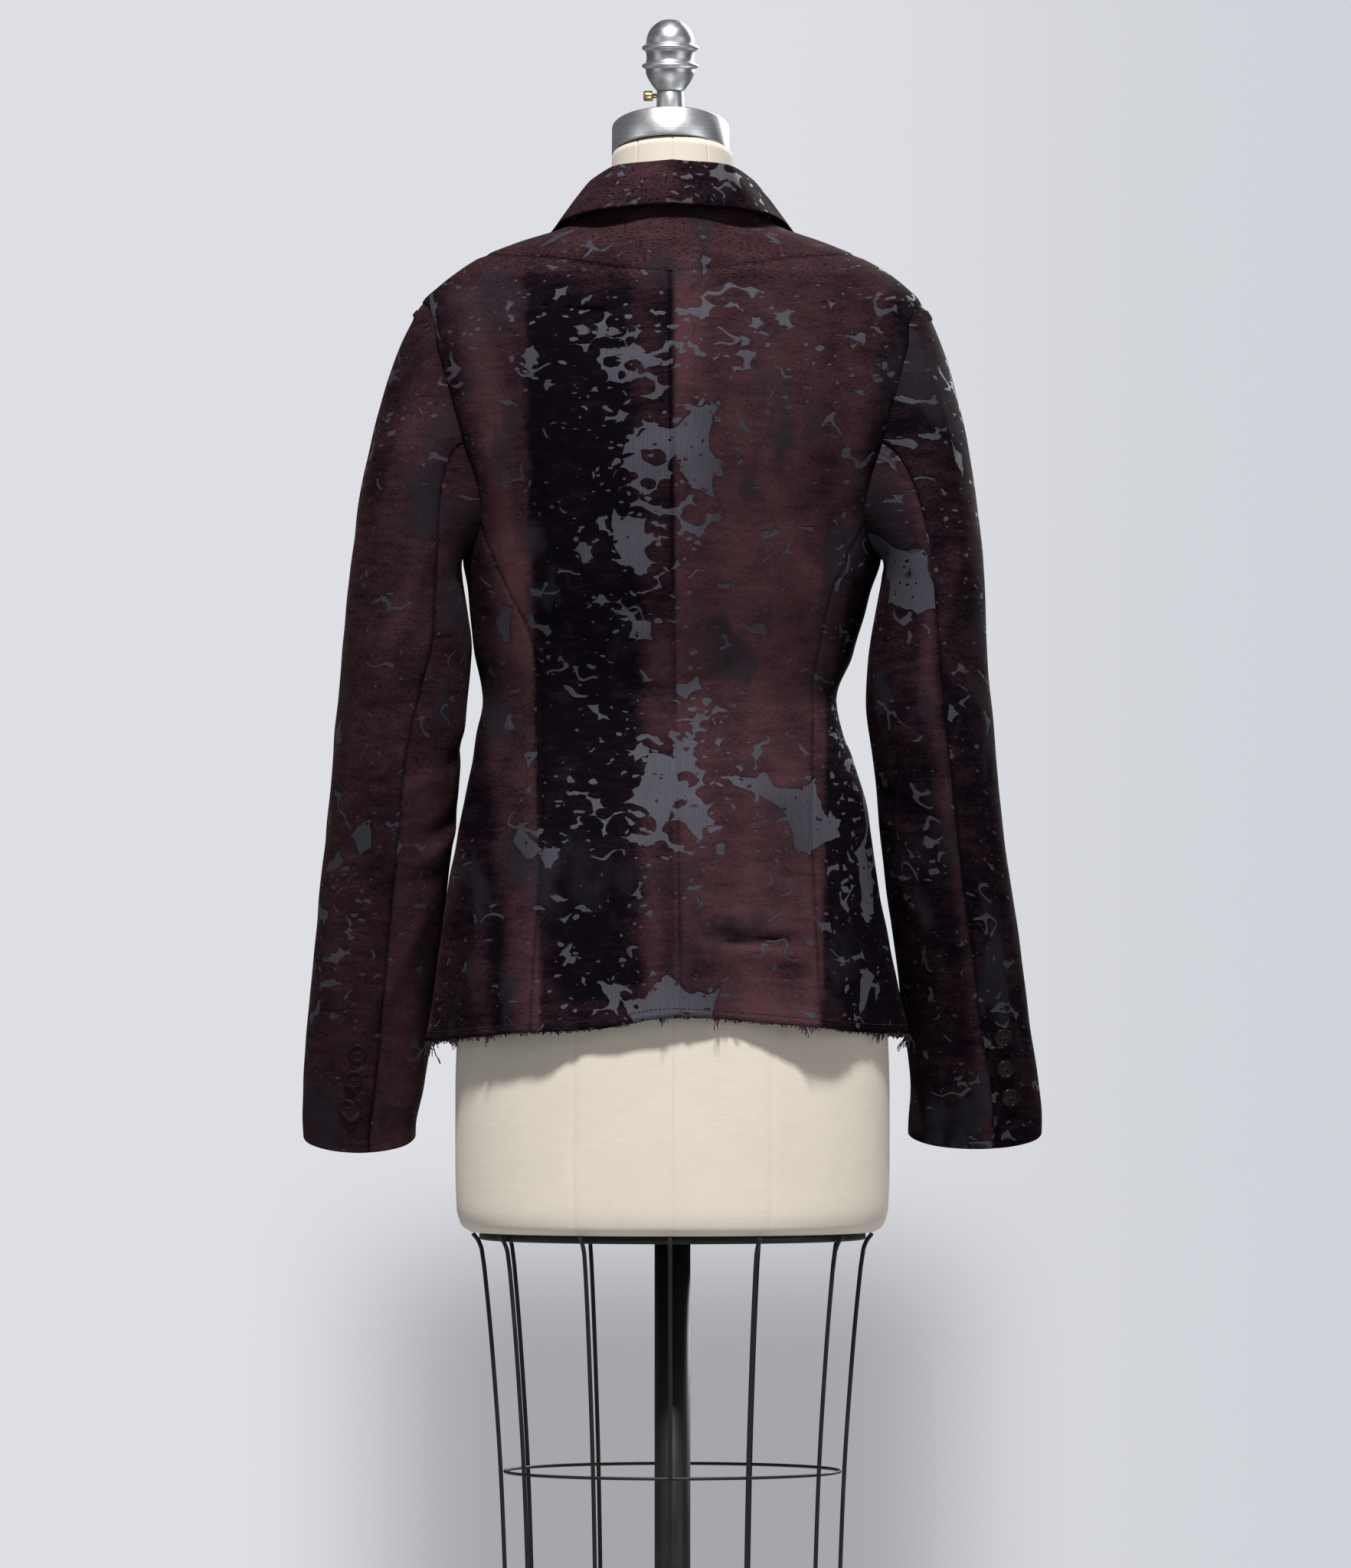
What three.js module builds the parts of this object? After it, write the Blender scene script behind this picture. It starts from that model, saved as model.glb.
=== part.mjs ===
// A velvet jacket with a raw hem on a limbless canvas dress form, with wire cage, pole and base.
// Millimetres, +Z up, origin on the floor under the pole. The jacket's back faces +Y and the
// wearer's left is +X.
import * as THREE from "three";

const DEG = Math.PI / 180;
const WALL = 2; // thickness of the cloth
const SEAM = 0.3; // space between two pieces at a seam
const MID_Y = -6; // line that the rings of the body turn about
const SHOULDER_TIP_Z = 1378;
const UNDERARM_Z = 1175;
const CHEST_Z = 1203; // where the princess seams meet the armholes
const RIDGE_YOKE_Z = 1416; // where the yoke seam crosses the shoulder
const BACK_YOKE_Z = 1400;
const BREAK_Z = 1115; // where the lapels begin to turn
const NECK_SIDE_Z = 1449;
const NECK_SIDE_TURN = 103 * DEG;
const OVERLAP = 14; // how far each front passes the centre line

// Rings of the jacket's outer face: half widths and depths by height.
const BODY = table(
  "z left right back front backPower frontPower",
  [780, 200, 192, 113, -126, 2.15, 2.1],
  [800, 194.5, 187, 112, -124, 2.15, 2.1],
  [850, 187, 176, 109, -122, 2.15, 2.1],
  [900, 179.5, 166, 105, -120, 2.15, 2.1],
  [950, 171.3, 158, 97, -118, 2.12, 2.1],
  [978, 166, 154.5, 90, -115, 2.1, 2.1],
  [1014, 159, 143.6, 80, -108, 2.08, 2.1],
  [1038, 155.5, 134.5, 74, -103, 2.06, 2.1],
  [1063, 150.5, 130, 70, -100, 2.05, 2.1],
  [1100, 157, 143, 75, -104, 2.06, 2.1],
  [1150, 162.5, 158, 88, -113, 2.1, 2.1],
  [1175, 166, 165, 92, -119, 2.1, 2.1],
  [1203, 168, 168, 95, -127, 2.1, 2.1],
  [1235, 178, 179, 99, -131, 2.15, 2.15],
  [1266, 192, 193, 101, -126, 2.2, 2.15],
  [1306, 202, 202, 101, -111, 2.2, 2.15],
  [1341, 206, 206, 97, -94, 2.2, 2.1],
  [1356, 203.5, 203.5, 94, -88, 2.1, 2.05],
  [1378, 198, 197, 88, -80, 2.0, 2.0],
  [1390, 186, 186, 84, -76, 1.9, 1.9],
  [1402, 171, 171, 79, -72, 1.85, 1.85],
  [1414, 152, 149, 75, -69, 1.8, 1.8],
  [1426, 122, 120, 71, -66, 1.75, 1.75],
  [1438.5, 84, 85, 66, -62, 1.75, 1.75],
  [1445, 76, 76, 63, -60, 1.85, 1.85],
  [1450, 71, 71, 60, -58, 2.0, 2.0],
  [1456, 64, 64, 57, -55, 2.0, 2.0],
);

// Largest folds of the jacket: where round the body (degrees from the centre back, + is the
// wearer's left), how wide, how far they stand out, and between which heights they fade in.
const FOLDS = [
  { turn: 52, width: 10, rise: 9, none: 985, full: 800 },
  { turn: 33, width: 8, rise: -4, none: 940, full: 800 },
  { turn: 74, width: 9, rise: -5, none: 960, full: 800 },
  { turn: -48, width: 11, rise: 7, none: 960, full: 800 },
  { turn: -22, width: 10, rise: -5, none: 930, full: 800 },
  { turn: -70, width: 9, rise: -5, none: 960, full: 800 },
  { turn: 112, width: 11, rise: 5, none: 960, full: 800 },
  { turn: -114, width: 12, rise: 6, none: 960, full: 800 },
  { turn: 138, width: 9, rise: -4, none: 940, full: 800 },
  { turn: -140, width: 10, rise: -4, none: 940, full: 800 },
];

// Height of the hem round the body.
const HEM = table(
  "turn z",
  [-200, 791],
  [-180, 791],
  [-120, 795],
  [-90, 799],
  [-60, 803],
  [-25, 812],
  [0, 815],
  [31, 805],
  [50, 802],
  [70, 797],
  [90, 794],
  [130, 791],
  [180, 791],
  [200, 791],
);

// Centre back seam and princess seams, as distances from the middle by height.
const CENTRE_BACK = table("z x", [780, -6.9], [813, -6.7], [1101, -1.8], [1400, 2.4], [1470, 2.4]);
const PRINCESS = table(
  "z left right",
  [780, 107, 110],
  [806, 106.6, 110],
  [954, 101.8, 110.2],
  [1073, 104.2, 111.4],
  [1106, 110, 116],
  [1128, 118, 119.8],
  [1148, 126, 125.5],
  [1167, 134.5, 134],
  [1203, 147, 152],
  [1210, 149, 155],
);

// Sleeves: outer edge, half width, depth middle and half depth by height.
const SLEEVE = {
  left: table(
    "z outer half midY deep",
    [700, 294.5, 45, -64, 34],
    [723, 294.5, 45, -61, 34],
    [760, 294, 48.5, -53, 37],
    [808, 290, 48.5, -42, 41],
    [857, 285, 49, -30, 45],
    [905, 280.6, 50.3, -19, 49],
    [954, 274.5, 50.6, -9, 53],
    [1002, 270, 51, -1, 56],
    [1050, 265, 50.8, 3, 58],
    [1099, 260, 50.8, 3, 61],
    [1158, 255, 44.5, 1, 65],
  ),
  right: table(
    "z outer half midY deep",
    [700, 294, 53, -64, 33],
    [723, 294, 53, -61, 33],
    [760, 291.5, 51, -53, 36],
    [808, 284, 50.5, -42, 40],
    [857, 277.6, 50, -30, 44],
    [905, 270, 49.7, -19, 48],
    [954, 263, 49.3, -9, 52],
    [1002, 258, 49, -1, 55],
    [1050, 253.5, 49.8, 3, 57],
    [1099, 248, 46.5, 3, 60],
    [1158, 246, 40.5, 1, 64],
  ),
};
const SLEEVE_TOP_Z = 1158;
const CUFF = { left: { z: 717, slope: -13 }, right: { z: 719, slope: -12 } };
// Turn of the hind-arm seam round each sleeve, by height.
const HIND_SEAM = {
  left: table("z turn", [700, 101], [894, 100], [1001, 98], [1114, 114], [1158, 124]),
  right: table("z turn", [700, 71], [774, 76], [954, 77], [1071, 77], [1158, 90]),
};
const FORE_SEAM_TURN = 232;

// Rings of the canvas form.
const FORM = table(
  "z half back front midY power tilt",
  [643, 160, 97, -104, -4, 2.2, 0],
  [648, 167, 103, -110, -4, 2.2, 0],
  [662, 171, 105, -112, -4, 2.2, 0],
  [700, 172, 105, -113, -5, 2.2, 0],
  [750, 172, 104, -112, -5, 2.2, 0],
  [800, 170.5, 102, -111, -6, 2.2, 0],
  [850, 165.5, 98, -109, -6, 2.15, 0],
  [900, 157, 92, -107, -6, 2.1, 0],
  [950, 146, 83, -103, -6, 2.1, 0],
  [1000, 133, 69, -95, -6, 2.1, 0],
  [1035, 121, 60, -88, -6, 2.1, 0],
  [1063, 117, 57, -85, -6, 2.1, 0],
  [1100, 123, 62, -90, -6, 2.1, 0],
  [1150, 143, 78, -103, -6, 2.1, 0],
  [1203, 153, 87, -119, -6, 2.15, 0],
  [1250, 166, 94, -121, -6, 2.15, 0],
  [1306, 182, 96, -104, -6, 2.15, 0],
  [1341, 188, 92.5, -89, -6, 2.1, 0],
  [1370, 188, 86, -79, -6, 2.0, 0],
  [1390, 180, 81, -73, -6, 1.9, 0],
);
const NECK = table(
  "step z half back front midY tilt",
  [0, 1446, 67, 54, -54, -6, 0],
  [1, 1452, 58, 50, -52, -6, 0],
  [2, 1464, 52.5, 44, -50, -6, 4],
  [3, 1480, 49, 39, -50, -6, 12],
  [4, 1494.3, 47.5, 37, -50, -6.5, 18],
);

/** Rows with named columns, eased by a shape-keeping cubic. */
function table(names, ...rows) {
  const keys = names.split(" ");
  const columns = new Map();
  const first = rows.map((row) => row[0]);
  keys.slice(1).forEach((name, i) => {
    const values = rows.map((row) => row[i + 1]);
    columns.set(name, { values, slopes: slopes(first, values) });
  });
  return { first, columns, keys };
}

/** Slopes at the rows that keep a cubic from overshooting. */
function slopes(x, y) {
  const d = x.slice(1).map((v, i) => (y[i + 1] - y[i]) / (v - x[i]));
  return x.map((v, i) => {
    if (i === 0) return d[0];
    if (i === x.length - 1) return d[i - 1];
    return d[i - 1] * d[i] <= 0 ? 0 : (2 * d[i - 1] * d[i]) / (d[i - 1] + d[i]);
  });
}

/** One column of a table at a key. */
function at(t, name, key) {
  const x = t.first;
  const { values: y, slopes: m } = t.columns.get(name);
  if (key <= x[0]) return y[0];
  const last = x.length - 1;
  if (key >= x[last]) return y[last];
  let i = 0;
  while (key > x[i + 1]) i++;
  const h = x[i + 1] - x[i];
  const s = (key - x[i]) / h;
  return (
    (1 + 2 * s) * (1 - s) ** 2 * y[i] +
    s * (1 - s) ** 2 * h * m[i] +
    s * s * (3 - 2 * s) * y[i + 1] +
    s * s * (s - 1) * h * m[i + 1]
  );
}

function lerp(a, b, t) {
  return a + (b - a) * t;
}

function ease(from, to, value) {
  const t = Math.min(1, Math.max(0, (value - from) / (to - from)));
  return t * t * (3 - 2 * t);
}

/** Distance from the middle line to a ring, in the direction of a turn. */
function reach(turn, half, deep, power) {
  const s = Math.abs(Math.sin(turn)) / half;
  const c = Math.abs(Math.cos(turn)) / deep;
  return (s ** power + c ** power) ** (-1 / power);
}

/** A point of the jacket's smooth body, without its folds. Turn 0 is the centre back. */
function plainPoint(turn, z, out = 0) {
  const half = at(BODY, Math.sin(turn) >= 0 ? "left" : "right", z);
  const isBack = Math.cos(turn) >= 0;
  const deep = isBack ? at(BODY, "back", z) - MID_Y : MID_Y - at(BODY, "front", z);
  const power = at(BODY, isBack ? "backPower" : "frontPower", z);
  const r = reach(turn, half, deep, power) + out;
  return new THREE.Vector3(r * Math.sin(turn), MID_Y + r * Math.cos(turn), z);
}

/** How far the folds stand out at a place on the body. */
function foldRise(turn, z) {
  let rise = 0;
  for (const fold of FOLDS) {
    let d = turn / DEG - fold.turn;
    d -= 360 * Math.round(d / 360);
    rise += fold.rise * Math.exp(-((d / fold.width) ** 2)) * ease(fold.none, fold.full, z);
  }
  return rise;
}

function bodyPoint(turn, z) {
  return plainPoint(turn, z, foldRise(turn, z));
}

/** The outward direction of the body there. */
function bodyNormal(turn, z) {
  const across = bodyPoint(turn + 0.01, z).sub(bodyPoint(turn - 0.01, z));
  const up = bodyPoint(turn, z + 1.5).sub(bodyPoint(turn, z - 1.5));
  return up.cross(across).normalize();
}

/** The turn on one side of the body at which a ring has a given distance from the middle. */
function turnAtX(side, z, x, low, high) {
  let a = low;
  let b = high;
  const rising = side * plainPoint(side * b, z).x > side * plainPoint(side * a, z).x;
  for (let i = 0; i < 40; i++) {
    const m = (a + b) / 2;
    if (side * plainPoint(side * m, z).x < x === rising) a = m;
    else b = m;
  }
  return (a + b) / 2;
}

/** The turn on one side of the body at which a ring has a given depth. */
function turnAtY(side, z, y) {
  let a = 0;
  let b = Math.PI;
  for (let i = 0; i < 40; i++) {
    const m = (a + b) / 2;
    if (plainPoint(side * m, z).y > y) a = m;
    else b = m;
  }
  return (a + b) / 2;
}

const hemZ = (side, turn) => at(HEM, "z", (side * turn) / DEG);
const yokeZ = (turn) => lerp(BACK_YOKE_Z, RIDGE_YOKE_Z, Math.abs(Math.sin(turn)) ** 2);

// The armhole's loop: 0 degrees is the shoulder tip, 90 the back, 180 the underarm, 270 the front.
const JUNCTION = Math.acos((CHEST_Z - (SHOULDER_TIP_Z + UNDERARM_Z) / 2) / 101.5) / DEG;
const UPPER_LOOP = [24, 48, 72, 97, 117];
const LOWER_STEPS = 4;
const LOOP = (() => {
  const half = [0, ...UPPER_LOOP, JUNCTION];
  for (let i = 1; i <= LOWER_STEPS; i++) half.push(lerp(JUNCTION, 180, i / LOWER_STEPS));
  const rest = half.slice(1, -1).reverse();
  return [...half, ...rest.map((a) => 360 - a)];
})();
const HIND_AT = LOOP.indexOf(97);
const FORE_AT = LOOP.findIndex((a) => Math.abs(a - (360 - JUNCTION)) < 1e-6);

/** Height and turn of a place on the armhole's loop. */
function armhole(side, angle) {
  const a = angle * DEG;
  const z = (SHOULDER_TIP_Z + UNDERARM_Z) / 2 + 101.5 * Math.cos(a);
  const wide = Math.sin(a) > 0 ? 60 : 62;
  const y = MID_Y + Math.sign(Math.sin(a)) * wide * Math.abs(Math.sin(a)) ** 0.75;
  return { z, turn: turnAtY(side, z, y) };
}

/** Turn of the princess seam, led into the armhole's corner at its top. */
function princessTurn(side, z) {
  const name = side > 0 ? "left" : "right";
  const raw = (h) => turnAtX(side, h, at(PRINCESS, name, h), 0, Math.PI / 2);
  const corner = armhole(side, JUNCTION).turn - raw(CHEST_Z);
  return raw(z) + corner * ease(1110, CHEST_Z, z);
}

/** Turn of the front edge: past the centre below, along the lapel's roll above. */
function edgeTurn(side, z) {
  const top = Math.abs(plainPoint(side * NECK_SIDE_TURN, NECK_SIDE_Z).x);
  const x = lerp(-OVERLAP, top, Math.max(0, (z - BREAK_Z) / (NECK_SIDE_Z - BREAK_Z)));
  return turnAtX(side, z, x, Math.PI / 2, Math.PI * 1.3);
}

/** How far the right front stands off where it lies over the left one. */
function lift(side, turn, z) {
  if (side > 0) return 0;
  const near = 1 - ease(12 * DEG, 34 * DEG, Math.PI - turn);
  return 3.2 * near * (1 - ease(1172, 1230, z));
}

/** A sheet as a list of points with outward directions, and of the cells between them. */
class Sheet {
  constructor() {
    this.points = [];
    this.normals = [];
    this.cells = [];
  }

  add(point, normal) {
    this.points.push(point);
    this.normals.push(normal);
    return this.points.length - 1;
  }

  /** Adds a block of cells, from rows of point numbers. */
  fill(rows) {
    for (let j = 0; j + 1 < rows.length; j++)
      for (let i = 0; i + 1 < rows[j].length; i++)
        this.cells.push([rows[j][i], rows[j][i + 1], rows[j + 1][i + 1], rows[j + 1][i]]);
  }

  /** The closed wall: the outer face, the inner face and the rim between them. */
  wall(thickness) {
    const n = this.points.length;
    const at3 = [...this.points, ...this.points.map((p, i) => p.clone().addScaledVector(this.normals[i], -thickness))];
    const faces = [];
    const edges = new Set();
    const outer = [];
    for (const [a, b, c, d] of this.cells) {
      const short = this.points[a].distanceTo(this.points[c]) <= this.points[b].distanceTo(this.points[d]);
      const pair = short ? [[a, b, c], [a, c, d]] : [[a, b, d], [b, c, d]];
      outer.push(...pair);
    }
    for (const f of outer)
      for (let k = 0; k < 3; k++) edges.add(f[k] + "_" + f[(k + 1) % 3]);
    for (const [a, b, c] of outer) {
      faces.push([a, b, c]);
      faces.push([a + n, c + n, b + n]);
    }
    for (const edge of edges) {
      const [a, b] = edge.split("_").map(Number);
      if (!edges.has(b + "_" + a)) faces.push([b, a, a + n], [b, a + n, b + n]);
    }
    return solid(at3, faces);
  }
}

/** A geometry from points and triangles, turned to face out. */
function solid(points, faces) {
  let volume = 0;
  for (const [a, b, c] of faces)
    volume += points[a].dot(new THREE.Vector3().crossVectors(points[b], points[c]));
  const position = new Float32Array(points.length * 3);
  points.forEach((p, i) => p.toArray(position, i * 3));
  const index = faces.flatMap((f) => (volume >= 0 ? f : [f[0], f[2], f[1]]));
  const geometry = new THREE.BufferGeometry();
  geometry.setAttribute("position", new THREE.BufferAttribute(position, 3));
  geometry.setIndex(index);
  return geometry;
}

/** A closed solid through rings of equal length, with flat ends. */
function loft(rings) {
  const count = rings[0].length;
  const points = rings.flat();
  const faces = [];
  for (let j = 0; j + 1 < rings.length; j++)
    for (let i = 0; i < count; i++) {
      const a = j * count + i;
      const b = j * count + ((i + 1) % count);
      faces.push([a, b, b + count], [a, b + count, a + count]);
    }
  const last = (rings.length - 1) * count;
  const middle = (ring) => ring.reduce((s, p) => s.add(p), new THREE.Vector3()).divideScalar(count);
  points.push(middle(rings[0]), middle(rings[rings.length - 1]));
  for (let i = 0; i < count; i++) {
    const k = (i + 1) % count;
    faces.push([k, i, points.length - 2], [last + i, last + k, points.length - 1]);
  }
  return solid(points, faces);
}

const group = new THREE.Group();
group.name = "velvet_jacket_on_form";

const CLOTH = new THREE.MeshStandardMaterial({ color: 0x33222a, roughness: 0.85 });
const BUTTON = new THREE.MeshStandardMaterial({ color: 0x17120f, roughness: 0.35 });
const THREAD = new THREE.MeshStandardMaterial({ color: 0x2b242b, roughness: 0.9 });
const CANVAS = new THREE.MeshStandardMaterial({ color: 0xddd5c8, roughness: 0.9 });
const ALUMINIUM = new THREE.MeshStandardMaterial({ color: 0xb9bbbf, roughness: 0.4, metalness: 1 });
const BRASS = new THREE.MeshStandardMaterial({ color: 0xb8a06a, roughness: 0.35, metalness: 1 });
const BLACK = new THREE.MeshStandardMaterial({ color: 0x151518, roughness: 0.45 });

function add(name, geometry, material) {
  const mesh = new THREE.Mesh(geometry, material);
  mesh.name = name;
  group.add(mesh);
  return mesh;
}

// Jacket body

const BACK_COLUMNS = 7;
const FRONT_COLUMNS = 6;
const LOWER_ROWS = 12;
const SHOULDER_ROWS = 3;
const SIDES = [
  ["left", 1],
  ["right", -1],
];

/** Heights of the upper rows at the armhole's edge, and their turns, from the chest line up. */
function upperRows(side, isBack) {
  const rows = [JUNCTION, ...[...UPPER_LOOP].reverse(), 0].map((a) => armhole(side, isBack ? a : 360 - a));
  for (let i = 1; i <= SHOULDER_ROWS; i++)
    rows.push({ z: lerp(SHOULDER_TIP_Z, RIDGE_YOKE_Z, i / SHOULDER_ROWS), turn: Math.PI / 2 });
  return rows;
}

/** A corner of a body piece: a place on the body, drawn back from its seams. */
function corner(side, turn, z, turnIn, down, extra = 0) {
  const r = plainPoint(side * turn, z).setZ(0).length();
  const t = turn + (turnIn * SEAM) / 2 / Math.max(60, r);
  const h = z - (down * SEAM) / 2;
  const normal = bodyNormal(side * t, h);
  return { point: bodyPoint(side * t, h).addScaledVector(normal, extra), normal };
}

/** The share of the way that a row lies above the hem. */
const lowerShare = (j) => j / LOWER_ROWS;

function backPanel(side) {
  const sheet = new Sheet();
  const rows = [];
  const place = (i, z, outer, down) => {
    const u = i / BACK_COLUMNS;
    const centre = (side * at(CENTRE_BACK, "x", z)) / (at(BODY, "back", z) - MID_Y);
    const turn = lerp(centre, outer, u);
    const pull = i === 0 ? 1 : i === BACK_COLUMNS ? -1 : 0;
    const { point, normal } = corner(side, turn, z, pull, down);
    return sheet.add(point, normal);
  };
  for (let j = 0; j <= LOWER_ROWS; j++) {
    const row = [];
    for (let i = 0; i <= BACK_COLUMNS; i++) {
      let z = CHEST_Z;
      for (let k = 0; k < 4; k++) {
        const turn = lerp(0, princessTurn(side, z), i / BACK_COLUMNS);
        z = lerp(hemZ(side, turn), CHEST_Z, lowerShare(j));
      }
      row.push(place(i, z, princessTurn(side, z), 0));
    }
    rows.push(row);
  }
  const upper = upperRows(side, true);
  for (let j = 1; j < upper.length; j++) {
    const share = (upper[j].z - CHEST_Z) / (RIDGE_YOKE_Z - CHEST_Z);
    const isTop = j === upper.length - 1;
    const row = [];
    for (let i = 0; i <= BACK_COLUMNS; i++) {
      const top = yokeZ((i / BACK_COLUMNS) * (Math.PI / 2));
      const z = lerp(CHEST_Z, top, share);
      row.push(place(i, z, upper[j].turn, isTop ? 1 : 0));
    }
    rows.push(row);
  }
  sheet.fill(rows);
  return sheet.wall(WALL);
}

/** The lower block between a seam line and the side seam, with the armhole's foot on top. */
function sideBlock(side, isBack, sheet, line, firstColumn) {
  const rows = [];
  for (let j = 0; j <= LOWER_ROWS; j++) {
    const v = lowerShare(j);
    const row = [];
    for (let i = 0; i <= LOWER_STEPS; i++) {
      if (firstColumn && i === 0) {
        row.push(firstColumn[j]);
        continue;
      }
      const angle = lerp(JUNCTION, 180, i / LOWER_STEPS);
      const foot = armhole(side, isBack ? angle : 360 - angle);
      const between = (h) => lerp(line(h), Math.PI / 2, i / LOWER_STEPS);
      const shift = foot.turn - between(foot.z);
      let z = foot.z;
      let turn = foot.turn;
      for (let k = 0; k < 4; k++) {
        turn = between(z) + shift * v ** 3;
        z = lerp(hemZ(side, turn), foot.z, v);
      }
      const away = isBack ? 1 : -1;
      const pull = i === 0 ? away : i === LOWER_STEPS ? -away : 0;
      const { point, normal } = corner(side, turn, z, pull, 0);
      row.push(sheet.add(point, normal));
    }
    rows.push(row);
  }
  sheet.fill(rows);
}

function sideBackPanel(side) {
  const sheet = new Sheet();
  sideBlock(side, true, sheet, (z) => princessTurn(side, z), null);
  return sheet.wall(WALL);
}

function frontPanel(side) {
  const sheet = new Sheet();
  const foreTurn = armhole(side, 360 - JUNCTION).turn;
  const rows = [];
  const place = (i, z, outer, down) => {
    const turn = lerp(edgeTurn(side, z), outer, i / FRONT_COLUMNS);
    const pull = i === FRONT_COLUMNS && outer <= Math.PI / 2 + 1e-9 && z > SHOULDER_TIP_Z ? 1 : 0;
    const { point, normal } = corner(side, turn, z, pull, down, lift(side, turn, z));
    return sheet.add(point, normal);
  };
  for (let j = 0; j <= LOWER_ROWS; j++) {
    const row = [];
    for (let i = 0; i <= FRONT_COLUMNS; i++) {
      let z = CHEST_Z;
      for (let k = 0; k < 4; k++) {
        const turn = lerp(edgeTurn(side, z), foreTurn, i / FRONT_COLUMNS);
        z = lerp(hemZ(side, turn), CHEST_Z, lowerShare(j));
      }
      row.push(place(i, z, foreTurn, 0));
    }
    rows.push(row);
  }
  const line = rows.map((row) => row[FRONT_COLUMNS]);
  sideBlock(side, false, sheet, () => foreTurn, line);
  const upper = upperRows(side, false);
  for (let j = 1; j < upper.length; j++) {
    const share = (upper[j].z - CHEST_Z) / (RIDGE_YOKE_Z - CHEST_Z);
    const isTop = j === upper.length - 1;
    const row = [];
    for (let i = 0; i <= FRONT_COLUMNS; i++) {
      let z = RIDGE_YOKE_Z;
      for (let k = 0; k < 4; k++) {
        const turn = lerp(edgeTurn(side, z), Math.PI / 2, i / FRONT_COLUMNS);
        z = lerp(CHEST_Z, yokeZ(turn), share);
      }
      row.push(place(i, z, upper[j].turn, isTop ? 1 : 0));
    }
    rows.push(row);
  }
  sheet.fill(rows);
  return sheet.wall(WALL);
}

const YOKE_ROWS = 5;
const NECK_TURNS = table("turn z", [0, 1453.5], [90, 1450], [103, NECK_SIDE_Z]);

/** The yoke runs from the right lapel's roll round the back to the left one. */
function yokePiece() {
  const sheet = new Sheet();
  const columns = [];
  for (let i = FRONT_COLUMNS; i >= 1; i--) columns.push([-1, "front", i / FRONT_COLUMNS]);
  for (let i = BACK_COLUMNS; i >= 0; i--) columns.push([-1, "back", i / BACK_COLUMNS]);
  for (let i = 1; i <= BACK_COLUMNS; i++) columns.push([1, "back", i / BACK_COLUMNS]);
  for (let i = 1; i <= FRONT_COLUMNS; i++) columns.push([1, "front", i / FRONT_COLUMNS]);
  const rows = [];
  for (let j = 0; j <= YOKE_ROWS; j++) {
    const v = j / YOKE_ROWS;
    rows.push(
      columns.map(([side, part, u]) => {
        let z = 1440;
        let turn = 0;
        for (let k = 0; k < 6; k++) {
          const centre = (side * at(CENTRE_BACK, "x", z)) / (at(BODY, "back", z) - MID_Y);
          turn =
            part === "back"
              ? lerp(u < 0.01 ? centre : centre * (1 - u), Math.PI / 2, u)
              : lerp(Math.PI / 2, edgeTurn(side, z), u);
          z = lerp(yokeZ(turn), at(NECK_TURNS, "z", turn / DEG), v);
        }
        const down = j === 0 ? -1 : j === YOKE_ROWS ? 1 : 0;
        const { point, normal } = corner(side, turn, z, 0, down);
        return sheet.add(point, normal);
      }),
    );
  }
  sheet.fill(rows);
  return sheet.wall(WALL);
}

for (const [name, side] of SIDES) {
  add("back_" + name, backPanel(side), CLOTH);
  add("side_back_" + name, sideBackPanel(side), CLOTH);
  add("front_" + name, frontPanel(side), CLOTH);
}
add("yoke", yokePiece(), CLOTH);

// Lapels

const LAPEL_WIDTH = table("z wide", [1186, 3], [1230, 26], [1300, 56], [1360, 76], [1400, 84]);
const LAPEL_ROWS = 10;
const LAPEL_COLUMNS = 5;

function lapel(side) {
  const sheet = new Sheet();
  const rows = [];
  for (let j = 0; j <= LAPEL_ROWS; j++) {
    const row = [];
    for (let i = 0; i <= LAPEL_COLUMNS; i++) {
      const u = i / LAPEL_COLUMNS;
      const z = lerp(1186, 1396 - 16 * u, j / LAPEL_ROWS);
      const edge = Math.abs(bodyPoint(side * edgeTurn(side, z), z).x);
      const x = edge + u * at(LAPEL_WIDTH, "wide", z);
      const turn = turnAtX(side, z, x, Math.PI / 2, Math.PI * 1.2);
      const normal = bodyNormal(side * turn, z);
      const out = WALL + 1.3 + lift(side, turn, z);
      row.push(sheet.add(bodyPoint(side * turn, z).addScaledVector(normal, out), normal));
    }
    rows.push(row);
  }
  sheet.fill(rows);
  return sheet.wall(WALL);
}

for (const [name, side] of SIDES) add("lapel_" + name, lapel(side), CLOTH);

// Collar: stand and fall in one sheet, from the centre back (share 0) to its front end (share 1).

const COLLAR_COLUMNS = 10;
const COLLAR_FRONT = 0.62; // share at which the collar reaches the lapels' roll
const COLLAR_BACK = {
  seam: [[0, 0, 57.5, 1454], [0.25, 38, 45, 1453], [0.5, 62.5, 6, 1451.5]],
  roll: [[0, 0, 58, 1486.5], [0.25, 40, 45, 1483.5], [0.5, 60.5, 3, 1475]],
  bulge: [[0, 0, 70, 1474], [0.25, 50, 56, 1470], [0.5, 71.5, 5, 1460]],
  fall: [[0, 0, 79, 1456.5], [0.25, 59, 62, 1452], [0.5, 84.5, 8, 1442.5]],
};
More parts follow.
